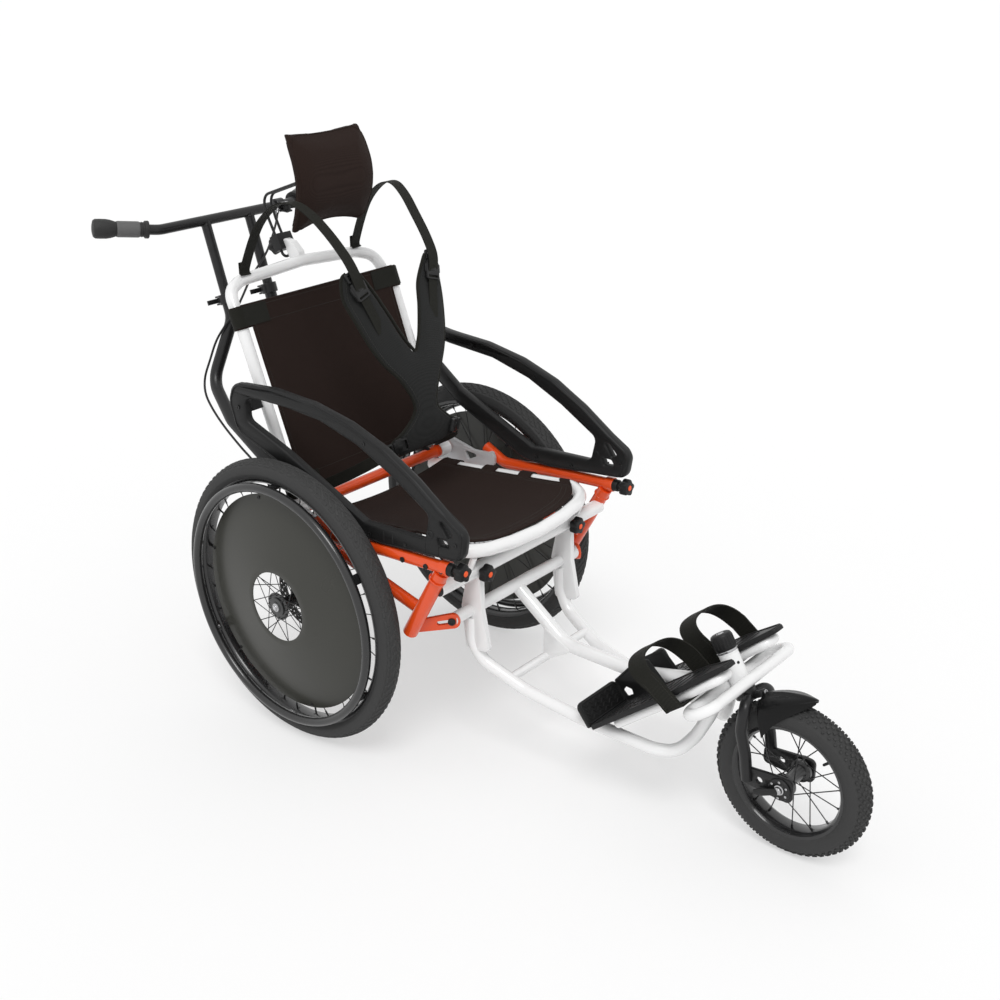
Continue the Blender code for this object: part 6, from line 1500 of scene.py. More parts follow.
class WHEELCHAIR_OT_knobs(bpy.types.Operator):
    """Makes the five lobed hand knobs with their orange centres"""

    bl_idname = "wheelchair.knobs"
    bl_label = "Hand knobs"

    def execute(self, context):
        spots = []
        for word, side in SIDES.items():
            spots.append((f"rail_knob_{word}", (side * RAIL_X, -0.405, 0.488), (0, -0.99779, 0.06652), 0.023))
            spots.append((f"bar_knob_{word}", (side * 0.143, -0.385, 0.432), (0, -1, 0), 0.003))
        spots.append(("headrest_knob", (0, 0.31025, 0.94523), (0, 0.88379, -0.46789), 0.004))
        for name, origin, direction, reach in spots:
            place = along(direction, origin)
            head = plate("head", lobed(0.0164, 0.0019), 0.018, soft=0.0030)
            moved(head, Matrix.Translation((0, 0, reach + 0.009)))
            neck = [(0.0, 0.0003), (0.0035, 0.0003), (0.0085, 0.0003), (0.0085, reach + 0.004),
                    (0.0, reach + 0.004)]
            if reach > 0.02:
                neck = [(0.0, 0.0003), (0.0118, 0.0003), (0.0126, 0.0012), (0.0126, 0.0126), (0.0116, 0.0140),
                        (0.0085, 0.0144), (0.0085, reach + 0.004), (0.0, reach + 0.004)]
            pieces = [smoothed(head, 45), smoothed(lathe("neck", neck, 40), 40)]
            rim_piece = lathe("rim", [(0.0062, 0.0174), (0.0086, 0.0174), (0.0080, 0.0186), (0.0066, 0.0189),
                                      (0.0062, 0.0184)], 40)
            pieces.append(smoothed(moved(rim_piece, Matrix.Translation((0, 0, reach))), 50))
            dressed(moved(joined(f"{name}_head", pieces), place), "plastic", name)
            centre = lathe(f"{name}_cap",
                           [(0.0, 0.0194), (0.0040, 0.0192), (0.0058, 0.0184), (0.0062, 0.0172),
                            (0.0, 0.0172)], 32)
            settle(moved(smoothed(centre, 50), place @ Matrix.Translation((0, 0, reach))), "accent", name)
        return {"FINISHED"}


# Seat and backrest

def seat_height(y):
    """The height of the seat tube's centre on its straight side."""
    share = (y - SEAT_FRONT_Y) / (SEAT_REAR_Y - SEAT_FRONT_Y)
    return SEAT_FRONT_Z + share * (SEAT_REAR_Z - SEAT_FRONT_Z)


# The middle of a sling's cloth off its tube where it leaves and where it wraps, the angle that it wraps,
# its wall, the share of its width that is flat, and how far its stitches stand off its middle
SLING_LIE = 0.0024
SLING_WRAP = 0.0023
WRAP_ANGLE = math.radians(144)
SLING_WALL = 0.0030
SLING_FLAT = 0.78
STITCH_LIFT = 0.0017


def sling_point(centre, normal, sag, push, tube_x, tube_radius, share, reach):
    """A point of a sling's middle surface. share runs from -1 to 1 between the side tubes; reach runs from
    0 to 1 round the tube."""
    hug = tube_radius + SLING_LIE
    ease = math.atan2(2 * sag, tube_x)
    edge = tube_x - hug * math.sin(ease)
    side = math.copysign(1.0, share)
    if abs(share) <= 1.0 and reach <= 0.0:
        x = abs(share) * edge
        height = hug * math.cos(ease) - sag * (1 - (x / edge) ** 2)
        return Vector((side * x, centre[0], centre[1])) + normal * height + push(x)
    wrap = tube_radius + SLING_WRAP
    angle = -ease + (ease + WRAP_ANGLE) * reach
    return (Vector((side * (tube_x + wrap * math.sin(angle)), centre[0], centre[1]))
            + normal * (wrap * math.cos(angle)))


SLING_TRIM = 0.923
SLING_CORNER = 0.93


def sling_sheet(name, kind, bare):
    """A sling's sheet. kind holds its rows, its tubes' distance and their radius; bare(v) is true where the
    tube shows."""
    section, tube_x, tube_radius = kind

    def place(u, v):
        across = 2 * u - 1
        share, reach = across / SLING_FLAT, 0.0
        if abs(across) > SLING_FLAT:
            share, reach = math.copysign(1.0, across), (abs(across) - SLING_FLAT) / (1 - SLING_FLAT)
        return sling_point(*section(v), tube_x, tube_radius, share, reach)

    def skip(u, v):
        return bare(v) and abs(2 * u - 1) > SLING_FLAT * (SLING_TRIM if v < SLING_CORNER else 1.0)

    sheet = grid(name, 100, 96, place, (2 * tube_x + 0.10, 0.42), skip)
    thick(sheet, SLING_WALL)
    return smoothed(modified(sheet, "BEVEL", width=0.0008, segments=1, limit_method="ANGLE",
                             angle_limit=math.radians(60)), 60)


SEAT_REAR_EDGE = 0.020
SEAT_FRONT_EDGE = -0.341
SEAT_NOSE = -0.3945
SEAT_NOSE_HALF = 0.188
SEAT_SAG = 0.026
BACK_SAG = 0.020
SEAT_TABS = ((0.020, -0.0285), (-0.1027, -0.1425), (-0.2065, -0.2385))
SEAT_NORMAL = Vector((0, 0.122, 1.0)).normalized()
BACK_DIRECTION = Vector((0, 0.136, 0.357)).normalized()
BACK_NORMAL = Vector((0, -BACK_DIRECTION.z, BACK_DIRECTION.y))
BACK_CLOTH_FOOT = 0.490
BACK_CLOTH_LENGTH = 0.380


def seat_section(v):
    """Centre, normal, sag and forward bulge of the seat sling's row at a share from rear to front."""
    y = SEAT_REAR_EDGE + (SEAT_FRONT_EDGE - SEAT_REAR_EDGE) * v
    reach = v ** 3 * (SEAT_NOSE - SEAT_FRONT_EDGE)
    sag = SEAT_SAG * (1 - 0.35 * abs(2 * v - 1) ** 3)

    def push(x):
        return Vector((0, reach * max(0.0, 1 - (x / SEAT_NOSE_HALF) ** 5), 0))

    return (y, seat_height(y)), SEAT_NORMAL, sag, push


def seat_bare(v):
    """Whether the seat tube shows at this share."""
    y = SEAT_REAR_EDGE + (SEAT_FRONT_EDGE - SEAT_REAR_EDGE) * v
    return not any(low <= y <= high for high, low in SEAT_TABS)


def back_section(v):
    """Centre, normal and sag of the backrest sling's row at a share from its foot to its top."""
    z = BACK_CLOTH_FOOT + BACK_CLOTH_LENGTH * v
    y = HINGE_Y + (z - HINGE_Z) / BACK_DIRECTION.z * BACK_DIRECTION.y
    sag = BACK_SAG * (0.12 + 0.88 * math.sin(math.pi * (0.06 + 0.80 * v)))
    return (y, z), BACK_NORMAL, sag, lambda x: Vector()


def back_bare(v):
    """Whether the backrest tube shows at this share."""
    return 0.042 < BACK_CLOTH_LENGTH * v < 0.338


SEAT_KIND = (seat_section, SEAT_X, SEAT_TUBE)
BACK_KIND = (back_section, BACK_X, BACK_TUBE)


def edge_line(kind, shares, share, lift=0.0):
    """Points along a sling from foot to top at one share across it."""
    section, tube_x, tube_radius = kind
    return [sling_point(*section(v), tube_x, tube_radius, share, 0.0) + section(v)[1] * lift for v in shares]


def cross_line(kind, v, width):
    """Points across a sling at one share of its length."""
    section, tube_x, tube_radius = kind
    return [sling_point(*section(v), tube_x, tube_radius, width * (step / 30 - 1), 0.0) for step in range(61)]


def corner_band(name, low, high):
    """Webbing sewn over the backrest sling's edge and round its tube, between two shares of its height."""
    def place(u, v):
        share, reach = (0.70 + 0.30 * u / 0.6, 0.0) if u < 0.6 else (1.0, (u - 0.6) / 0.4)
        return sling_point(*back_section(low + (high - low) * v), BACK_X, BACK_TUBE + 0.0025, share, reach)

    return smoothed(thick(grid(name, 30, 8, place, (0.11, 0.042)), 0.0016), 60)


def sewn(name, lines, normal, lift, node):
    """Rows of stitches along lines, on the body of a solid."""
    rows = [stitches(f"{name}_{index}", line, lift, normal) for index, line in enumerate(lines)]
    return settle(joined(name, rows), "thread", node)


class WHEELCHAIR_OT_seat(bpy.types.Operator):
    """Makes the white seat tube and the seat's sling with its hems, tabs and stitches"""

    bl_idname = "wheelchair.seat"
    bl_label = "Seat"

    def execute(self, context):
        half = [(SEAT_X, SEAT_REAR_Y, SEAT_REAR_Z), (SEAT_X, SEAT_FRONT_Y, SEAT_FRONT_Z),
                (0.175, -0.382, 0.4855),
                (0.140, -0.397, 0.4825), (0.080, -0.407, 0.479), (0, -0.410, 0.476)]
        path = rounded(both_halves(half), 0.05)
        dressed(smoothed(pipe("seat_tube", path, SEAT_TUBE, 28)), "white", "seat_frame")
        for side in (RIGHT, LEFT):
            plug = end_plug(f"seat_plug_{side}", (side * SEAT_X, 0.0624, 0.43825), (0, 0.9925, -0.1224),
                            0.0128)
            settle(plug, "cap", "seat_frame")

        sling = sling_sheet("seat_cloth", SEAT_KIND, seat_bare)
        dressed(sling, "sling", "seat_sling")
        lines = []
        for side in (RIGHT, LEFT):
            for share in (0.895, 0.868):
                lines.append(edge_line(SEAT_KIND, [step / 60 for step in range(61)], side * share))
        for v in (0.020, 0.965, 0.938):
            lines.append(cross_line(SEAT_KIND, v, 0.86))
        seams = sewn("seat_stitches", lines, SEAT_NORMAL, STITCH_LIFT, "seat_sling")
        hems = []
        for v, width in ((0.006, 0.995), (0.994, 0.985)):
            hems.append(smoothed(pipe("hem", cross_line(SEAT_KIND, v, width), 0.0026, 12)))
        for side in (RIGHT, LEFT):
            for high, low in ((-0.0285, -0.1027), (-0.1425, -0.2065), (-0.2385, -0.315)):
                places = [high + (low - high) * step / 20 for step in range(21)]
                span = [(y - SEAT_REAR_EDGE) / (SEAT_FRONT_EDGE - SEAT_REAR_EDGE) for y in places]
                line = edge_line(SEAT_KIND, span, side * SLING_TRIM, 0.0002)
                hems.append(smoothed(pipe("hem", line, 0.0024, 12)))
        hems = settle(joined("seat_hems", hems), "sling", "seat_sling")
        return {"FINISHED"}


class WHEELCHAIR_OT_backrest(bpy.types.Operator):
    """Makes the backrest's tube, its sling with hems and stitches, and the cradles"""

    bl_idname = "wheelchair.backrest"
    bl_label = "Backrest"

    def execute(self, context):
        half = [(BACK_X, HINGE_Y, HINGE_Z), (BACK_X, 0.186, 0.827), (0.206, 0.234, 0.895),
                (0.164, 0.248, 0.907),
                (0, 0.242, 0.919)]
        path = rounded(both_halves(half), 0.045)
        pieces = [smoothed(pipe("back_tube", path, BACK_TUBE, 28))]
        for side in (RIGHT, LEFT):
            sleeve = lathe("sleeve", [(0.0128, -0.015), (0.0162, -0.015), (0.0170, -0.0142), (0.0170, 0.0142),
                                      (0.0162, 0.015), (0.0128, 0.015)], 44)
            pieces.append(smoothed(moved(sleeve, along(ACROSS, (side * BACK_X, HINGE_Y, HINGE_Z))), 30))
        back, top = 0.242, 0.919
        lug = plate("lug", rounded([(back - 0.004, top - 0.004), (back - 0.002, top + 0.020),
                                    (back + 0.020, top + 0.039), (back + 0.048, top + 0.043),
                                    (back + 0.038, top + 0.019), (back + 0.026, top - 0.002)], 0.004,
                                   closed=True), 0.016)
        pieces.append(smoothed(standing(lug, 0.0), 30))
        dressed(joined("back_tube", pieces), "white", "backrest_frame")

        sling = sling_sheet("back_cloth", BACK_KIND, back_bare)
        dressed(sling, "sling", "backrest_sling")
        across = [cross_line(BACK_KIND, v, 0.93) for v in (0.018, 0.100, 0.900, 0.982)]
        lines = list(across)
        shares = [0.018 + 0.964 * step / 60 for step in range(61)]
        for side in (RIGHT, LEFT):
            lines.append(edge_line(BACK_KIND, shares, side * 0.895))
        seams = sewn("back_stitches", lines, BACK_NORMAL, STITCH_LIFT, "backrest_sling")
        rear = sewn("back_stitches_rear", across, BACK_NORMAL, -STITCH_LIFT, "backrest_sling")
        hems = []
        for v in (0.003, 0.997):
            hems.append(smoothed(pipe("hem", cross_line(BACK_KIND, v, 0.995), 0.0026, 12)))
        for side in (RIGHT, LEFT):
            span = [(0.043 + 0.294 * step / 30) / BACK_CLOTH_LENGTH for step in range(31)]
            line = edge_line(BACK_KIND, span, side * SLING_TRIM, 0.0002)
            hems.append(smoothed(pipe("hem", line, 0.0024, 12)))
        hems = settle(joined("back_hems", hems), "sling", "backrest_sling")
        bands = [corner_band(f"band_{high}", low, high) for low, high in ((0.005, 0.106), (0.893, 0.995))]
        left = joined("bands", bands)
        bands = settle(joined("back_bands", [left, mirrored_copy(left, "right_bands")]), "webbing",
                       "backrest_sling")
        cradle = softened("backrest_cradle_left", "cradle", 0.0014, 2)
        paired(cradle, "tube_cradle", "plastic", "backrest_cradle_{}", stands=True)
        return {"FINISHED"}


# Padded pieces

def puffed(piece, voxel, pressure, stiffness, frames=14, reach=0.004, free=None):
    """Inflates a closed shape as a filled cloth cover, and leaves the result in its mesh. No point goes
    further than reach, and free(point) gives the share of its way that a point goes."""
    modified(piece, "REMESH", mode="VOXEL", voxel_size=voxel, use_smooth_shade=True)
    rest = [vertex.co.copy() for vertex in piece.data.vertices]
    only(piece)
    scene = bpy.context.scene
    bpy.ops.object.modifier_add(type="CLOTH")
    cloth = piece.modifiers[-1]
    settings = cloth.settings
    settings.quality = 5
    settings.mass = 0.2
    settings.tension_stiffness = stiffness
    settings.compression_stiffness = stiffness
    settings.shear_stiffness = stiffness
    settings.bending_stiffness = 0.5
    settings.use_pressure = True
    settings.uniform_pressure_force = pressure
    settings.effector_weights.gravity = 0.0
    cloth.collision_settings.use_self_collision = False
    cloth.point_cache.frame_start = 1
    cloth.point_cache.frame_end = frames
    scene.frame_start = 1
    scene.frame_end = frames
    for number in range(1, frames + 1):
        scene.frame_set(number)
    bpy.ops.object.modifier_apply(modifier=cloth.name)
    scene.frame_set(1)
    for vertex, start in zip(piece.data.vertices, rest):
        way = vertex.co - start
        if way.length > reach:
            way *= reach / way.length
        vertex.co = start + way * (free(start) if free else 1.0)
    modified(piece, "SMOOTH", factor=0.5, iterations=3)
    return smoothed(modified(piece, "SUBSURF", levels=1, render_levels=1), 70)


PAD_HALF_WIDTH = 0.103
PAD_LOW = 1.003
PAD_TOP = 1.201


def pad_half(rise):
    """Half the headrest pad's width at a share of its height."""
    return PAD_HALF_WIDTH * (0.82 + 0.18 * math.sin(math.pi * (0.20 + 0.55 * rise)))


def pad_point(across, rise, depth):
    """A point of the headrest pad: across -1 to 1, rise 0 to 1, depth from its front to its back face."""
    half = pad_half(rise)
    scoop = 1 - across ** 2
    low = PAD_LOW + 0.018 * scoop
    z = low + (PAD_TOP - 0.006 * scoop - low) * rise
    face = 0.156 - 0.033 * math.sin(math.pi * rise)
    return Vector((half * across, face + depth, z))


def pad_freedom(point):
    """How freely the cushion's cloth moves at a point: not at all at its seams, and wholly inside them."""
    scoop = 1 - min(1.0, (point.x / PAD_HALF_WIDTH) ** 2)
    low = PAD_LOW + 0.018 * scoop
    rise = (point.z - low) / (PAD_TOP - 0.006 * scoop - low)
    half = pad_half(rise)
    edge = max(abs(point.x) / half, abs(2 * rise - 1))
    return min(1.0, max(0.0, (0.95 - edge) / 0.30))


class WHEELCHAIR_OT_headrest(bpy.types.Operator):
    """Makes the headrest's clamp, wire stem and padded cushion"""

    bl_idname = "wheelchair.headrest"
    bl_label = "Headrest"

    def execute(self, context):
        dressed(softened("headrest_clamp", "clamp_body", 0.0022, 3), "plastic", "headrest_clamp")
        side_view = rounded([(0, 0.292, 0.930), (0, 0.328, 0.998), (0, 0.345, 1.045), (0, 0.1633, 1.109)],
                            0.030)
        rise = Vector((0, 0.036, 0.068)).normalized()
        foot = Vector((0, 0.292, 0.930))
        bend = []
        for step in range(1, 12):
            angle = math.pi * step / 12
            bend.append(foot - rise * (0.0095 * math.sin(angle)) + ACROSS * (-0.0095 * math.cos(angle)))
        loop = ([Vector((0.0095, point.y, point.z)) for point in side_view]
                + [Vector((-0.0095, point.y, point.z)) for point in reversed(side_view)] + bend)
        wires = smoothed(pipe("wires", loop, 0.0030, 16, closed=True))
        eye = lathe("eye",
                    [(0.0, -0.013), (0.0078, -0.013), (0.0085, -0.0122), (0.0085, 0.0122), (0.0078, 0.013),
                     (0.0, 0.013)], 32)
        moved(smoothed(eye, 30), along(ACROSS, (0, 0.1573, 1.109)))
        dressed(joined("stem_wires", [wires, eye]), "black", "headrest_stem")

        clear_selection()
        bpy.ops.mesh.primitive_cube_add(size=1.0)
        cushion = context.object
        edit(cushion)
        bpy.ops.mesh.subdivide(number_cuts=11)
        leave()
        for vertex in cushion.data.vertices:
            u, v, w = vertex.co.x * 2, vertex.co.z + 0.5, vertex.co.y * 2
            edge = max(abs(u), abs(2 * v - 1))
            thin = 0.0125 * (1 - 0.42 * max(0.0, (edge - 0.70) / 0.30) ** 2)
            shrink = 1 - 0.035 * (1 if abs(w) > 0.99 else 0)
            vertex.co = pad_point(u * shrink, 0.5 + (v - 0.5) * shrink, w * thin)
        clean(cushion)
        cushion.name = "headrest_cushion"
        puffed(cushion, 0.0040, 3.0, 9.0, 12, 0.006, pad_freedom)
        seams = []
        for depth in (-0.0072, 0.0072):
            ring = []
            for share in range(80):
                turn = 2 * math.pi * share / 80
                u = max(-1.0, min(1.0, 1.28 * math.cos(turn)))
                v = max(-1.0, min(1.0, 1.28 * math.sin(turn)))
                on_cloth = cushion.closest_point_on_mesh(pad_point(u, 0.5 + 0.5 * v, depth))
                ring.append(on_cloth[1] + on_cloth[2] * 0.0003)
            seams.append(smoothed(pipe("piping", ring, 0.0011, 8, closed=True)))
        dressed(cushion, "pad", "headrest_pad")
        settle(joined("headrest_piping", seams), "pad", "headrest_pad")
        base = block("pivot_plate", (-0.026, 0.1455, 1.092), (0.026, 0.1495, 1.126), 0.0012, 2)
        settle(smoothed(base, 30), "plastic", "headrest_pad")
        return {"FINISHED"}


# Guards

def guard_shape():
    """The guard's outer edge, in (y, z)."""
    corners = [(0.030, 0.5785), (0.150, 0.6420, 0.030), (0.166, 0.7000, 0.030), (0.150, 0.7400, 0.030),
               (0.060, 0.7410), (-0.060, 0.7365), (-0.160, 0.7190), (-0.250, 0.6890), (-0.330, 0.6460),
               (-0.402, 0.5965), (-0.4510, 0.5680, 0.022), (-0.4420, 0.5140, 0.024), (-0.240, 0.4885),
               (-0.170, 0.4885)]
    return rounded(corners, 0.090, closed=True, turn=math.radians(6))


def guard_windows():
    """The opening under the arm, and the two between the ribs of the nose."""
    main = rounded([(0.020, 0.6130), (0.118, 0.6640), (0.118, 0.7120), (0.050, 0.7130), (-0.080, 0.7045),
                    (-0.180, 0.6790), (-0.270, 0.6390), (-0.362, 0.5860), (-0.350, 0.5330), (-0.190, 0.5240)],
                   0.016, closed=True, turn=math.radians(10))
    upper = rounded([(-0.386, 0.5800), (-0.397, 0.5810), (-0.418, 0.5600), (-0.406, 0.5525)], 0.004,
                    closed=True)
    lower = rounded([(-0.379, 0.5460), (-0.404, 0.5460), (-0.412, 0.5340), (-0.386, 0.5310)], 0.004,
                    closed=True)
    return [main, upper, lower]


GUARD_X = 0.256
GUARD_FACE = 0.0095
FLARE_FROM = 0.030
FLARE_LENGTH = 0.110
FLARE_OUT = 0.020


def flare(y):
    """How far a guard leans outwards at its rear end, where it meets the cradle."""
    share = min(1.0, max(0.0, (y - FLARE_FROM) / FLARE_LENGTH))
    return FLARE_OUT * share * share * (3 - 2 * share)


def flared(piece):
    """Gives a guard its flare."""
    for vertex in piece.data.vertices:
        vertex.co.x += flare(vertex.co.y)
    return piece


class WHEELCHAIR_OT_guards(bpy.types.Operator):
    """Makes both side guards with their rims, ribs and screws"""

    bl_idname = "wheelchair.guards"
    bl_label = "Side guards"

    def execute(self, context):
        shell = plate("guard", guard_shape(), 0.020, guard_windows(), soft=0.0050)
        standing(shell, GUARD_X)
        beads = [shell]
        for offset in (-GUARD_FACE, GUARD_FACE):
            ring = [Vector((GUARD_X + offset, point.x, point.y)) for point in guard_shape()]
            middle = Vector((GUARD_X + offset, -0.14, 0.62))
            inner = [point + (middle - point).normalized() * 0.0062 for point in ring]
            beads.append(pipe("bead", inner, 0.0018, 8, closed=True))
        for y in (-0.385, -0.352, -0.268, -0.244):
            middle = (0.4885 + (-0.240 - y) * 0.1262 + 0.524 + (-0.190 - y) * 0.0563) / 2
            beads.append(block("rib", (0.2650, y - 0.0012, middle - 0.0120),
                               (0.2668, y + 0.0012, middle + 0.0120),
                               0.0005, 1))
        boss = lathe("boss", [(0.0034, -0.0205), (0.0076, -0.0205), (0.0084, -0.0197), (0.0084, 0.0006),
                              (0.0076, 0.0014), (0.0044, 0.0014), (0.0034, 0.0004)], 32)
        beads.append(moved(boss, along(ACROSS, (0.2660, -0.3660, 0.5500))))
        paired(smoothed(flared(joined("guard", beads)), 45), "guard_shell", "plastic", "side_guard_{}",
               stands=True)
        screws = []
        for y, z in ((-0.428, 0.545), (-0.300, 0.5085), (-0.205, 0.5030), (-0.120, 0.5110), (0.136, 0.690),
                     (-0.020, 0.7225), (-0.200, 0.6880)):
            for sign in (1, -1):
                screws.append(along(sign * ACROSS, (GUARD_X + sign * GUARD_FACE + flare(y), y, z)))
        paired(scattered("guard_screws", bolt("screw", 0.0044, 0.0020), screws), "guard_screws", "cap",
               "side_guard_{}")
        return {"FINISHED"}


# Push bar

def push_down():
    """The direction down an upright of the push bar."""
    return Vector((0, PUSH_COLLAR[0] - BAR_Y, PUSH_COLLAR[1] - BAR_Z)).normalized()


GRIP_END = Vector((0.300, 0.537, 0.998))
CABLE_ROUTE = [
    (0.1370, 0.4695, 0.9735), (0.121, 0.458, 0.9530), (0.090, 0.444, 0.9180), (0.061, 0.435, 0.8900),
    (0.010, 0.425, 0.8530), (-0.036, 0.407, 0.8180), (-0.066, 0.400, 0.7900), (-0.087, 0.412, 0.7620),
    (-0.099, 0.431, 0.7280), (-0.116, 0.437, 0.6880), (-0.134, 0.438, 0.6500), (-0.147, 0.424, 0.6200),
    (-0.160, 0.388, 0.5960), (-0.173, 0.335, 0.5700), (-0.186, 0.270, 0.5440), (-0.194, 0.210, 0.5180),
    (-0.203, 0.155, 0.4800), (-0.220, 0.124, 0.4350), (-0.240, 0.104, 0.3950), (-0.2560, 0.0762, 0.3612),
]


def grip_body():
    """A ribbed rubber grip about Z, with its outer end at +Z."""
    profile = [(0.0, 0.0080), (0.0110, 0.0078), (0.0175, 0.0060), (0.0202, 0.0020), (0.0206, -0.0060),
               (0.0204, -0.0200), (0.0190, -0.0290), (0.0162, -0.0380)]
    height = -0.0400
    while height > -0.0980:
        profile += [(0.0152, height), (0.0160, height - 0.0008), (0.0160, height - 0.0024),
                    (0.0152, height - 0.0032)]
        height -= 0.0052
    profile += [(0.0152, -0.0985), (0.0185, -0.1000), (0.0188, -0.1066), (0.0180, -0.1080), (0.0113, -0.1080)]
    profile += [(0.0113, 0.0), (0.0, 0.0)]
    return smoothed(lathe("grip", profile, 48), 40)


class WHEELCHAIR_OT_push_bar(bpy.types.Operator):
    """Makes the push tubes, the sliding push bar, the grips, the levers and the brake cable"""

    bl_idname = "wheelchair.push_bar"
    bl_label = "Push bar"

    def execute(self, context):
        down = push_down()
        behind = ACROSS.cross(down)
        pivot = Vector((PUSH_X, *PUSH_COLLAR)) + down * 0.011 + behind * 0.026
        lower = pipe("lower", rounded([(0.061, 0.432, 0.827), (0.061, 0.4155, 0.7745), (0.124, 0.422, 0.642),
                                       (0.160, 0.322, 0.583), (0.176, 0.207, 0.535),
                                       (0.170, HINGE_Y, HINGE_Z)],
                                      0.06), 0.0135, 28)
        collar = lathe("collar", [(0.0114, 0.0), (0.0168, 0.0), (0.0180, 0.0010), (0.0180, 0.0210),
                                  (0.0168, 0.0220), (0.0136, 0.0224), (0.0114, 0.0220)], 48)
        moved(collar, along(down, (PUSH_X, *PUSH_COLLAR)))
        ears = [smoothed(lower), smoothed(collar, 30)]
        for height in (-0.0082, 0.0082):
            ear = block("ear", (-0.0075, -0.0105, -0.0020), (0.0075, 0.0060, 0.0020), 0.0008)
            ears.append(smoothed(moved(ear, frame_of((1, 0, 0), behind, pivot - down * height)), 30))
        pin = pipe("pin", [pivot - down * 0.0100, pivot + down * 0.0100], 0.0022, 16)
        ears.append(smoothed(pin))
        paired(joined("lower_push_tube", ears), "lower_push_tube", "black", "push_tube_{}", stands=True)

        for word in SIDES:
            node = f"release_lever_{word}"
            dressed(softened(node, f"release_handle_{word}", 0.0011, 3), "cap", node)

        half = [(0.300, 0.537, 0.998), (0.182, 0.481, 0.983), (0, 0.481, 0.983)]
        bar = pipe("bar", rounded(both_halves(half), 0.04), 0.011, 28)
        pieces = [smoothed(bar)]
        for side in (RIGHT, LEFT):
            foot = Vector((side * PUSH_X, *PUSH_COLLAR)) + down * 0.044
            pieces.append(smoothed(pipe("upright", [Vector((side * PUSH_X, BAR_Y, BAR_Z)), foot], 0.011, 28)))
        perch = lathe("perch", [(0.0112, -0.011), (0.0152, -0.011), (0.0160, -0.0100), (0.0160, 0.0100),
                                (0.0152, 0.011), (0.0112, 0.011)], 44)
        pieces.append(smoothed(moved(perch, along(ACROSS, (BRAKE_X, BAR_Y, BAR_Z))), 30))
        for height in (-0.0085, 0.0085):
            ear = block("ear", (BRAKE_X - 0.009, BAR_Y - 0.038, BAR_Z + height - 0.0022),
                        (BRAKE_X + 0.009, BAR_Y - 0.006, BAR_Z + height + 0.0022), 0.0010)
            pieces.append(smoothed(ear, 30))
        dressed(joined("push_handle", pieces), "black", "handlebar")
        for side in (RIGHT, LEFT):
            weld = bead(f"upright_weld_{side}", Vector((side * PUSH_X, BAR_Y, BAR_Z)) + down * 0.0105, down,
                        0.0116, 0.0012)
            settle(weld, "black", "handlebar")
        for height in (-0.0108, 0.0108):
            nut = bolt(f"brake_pin_{height > 0}", 0.0036, 0.0018)
            top = Vector((BRAKE_X, BAR_Y - 0.030, BAR_Z + height))
            settle(moved(nut, along((0, 0, 1 if height > 0 else -1), top)), "steel", "handlebar")

        origin = Vector((BRAKE_X, BAR_Y - 0.030, BAR_Z))
        eye = lathe("eye", [(0.0028, -0.0059), (0.0078, -0.0059), (0.0085, -0.0052), (0.0085, 0.0052),
                            (0.0078, 0.0059), (0.0028, 0.0059)], 32)
        path = rounded([origin + Vector((0.003, 0, 0)), origin + Vector((0.045, -0.010, 0)),
                        origin + Vector((0.105, 0.004, 0.004)), origin + Vector((0.140, 0.025, 0.010))], 0.05)
        blade = pipe("blade", path, 0.0050, 20)
        tip = lathe("tip",
                    [(0.0, 0.0060), (0.0040, 0.0046), (0.0059, 0.0), (0.0040, -0.0046), (0.0, -0.0060)], 24)
        moved(tip, Matrix.Translation(path[-1]))
        lever = joined("brake_blade", [smoothed(moved(eye, Matrix.Translation(origin)), 30), smoothed(blade),
                                       smoothed(tip, 60)])
        dressed(lever, "cap", "brake_lever")

        heading = (GRIP_END - Vector((0.182, BAR_Y, BAR_Z))).normalized()
        paired(moved(grip_body(), along(heading, GRIP_END)), "grip_rubber", "grip", "grip_{}", stands=True)
        sleeve = lathe("grip_insert",
                       [(0.0145, -0.0890), (0.0160, -0.0888), (0.0169, -0.0872), (0.0170, -0.0840),
                        (0.0170, -0.0460), (0.0169, -0.0436), (0.0160, -0.0414), (0.0145, -0.0410)],
                       56)
        paired(moved(smoothed(sleeve, 50), along(heading, GRIP_END)), "grip_insert", "insert", "grip_{}")

        route = flowing(CABLE_ROUTE, 0.0050)
        cable = smoothed(pipe("cable", route, 0.0025, 16))
        settle(cable, "cable", "brake_cable", ("brake_cable",), rides=False)
        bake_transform(cable)
        line = [TO_SOLIDS @ point for point in route]
        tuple(line[0])
        running_lengths(route)[-1]
        ferrule = lathe("cable_adjuster", [(0.0026, 0.0), (0.0048, 0.0), (0.0052, 0.0010), (0.0052, 0.0070),
                                           (0.0042, 0.0080), (0.0042, 0.0130), (0.0026, 0.0134)], 20)
        heading = (Vector(CABLE_ROUTE[1]) - Vector(CABLE_ROUTE[0])).normalized()
        settle(moved(smoothed(ferrule, 30), along(heading, Vector(CABLE_ROUTE[0]) - heading * 0.006)),
               "steel",
               "handlebar")
        return {"FINISHED"}


# Footrest

def on_sole(piece):
    """Moves a piece drawn as (across, along the sole, above the sole) onto the footrest."""
    matrix = Matrix((ACROSS, SOLE_DIRECTION, SOLE_NORMAL)).transposed().to_4x4()
    return moved(piece, Matrix.Translation((0, HEEL_Y, HEEL_Z)) @ matrix)


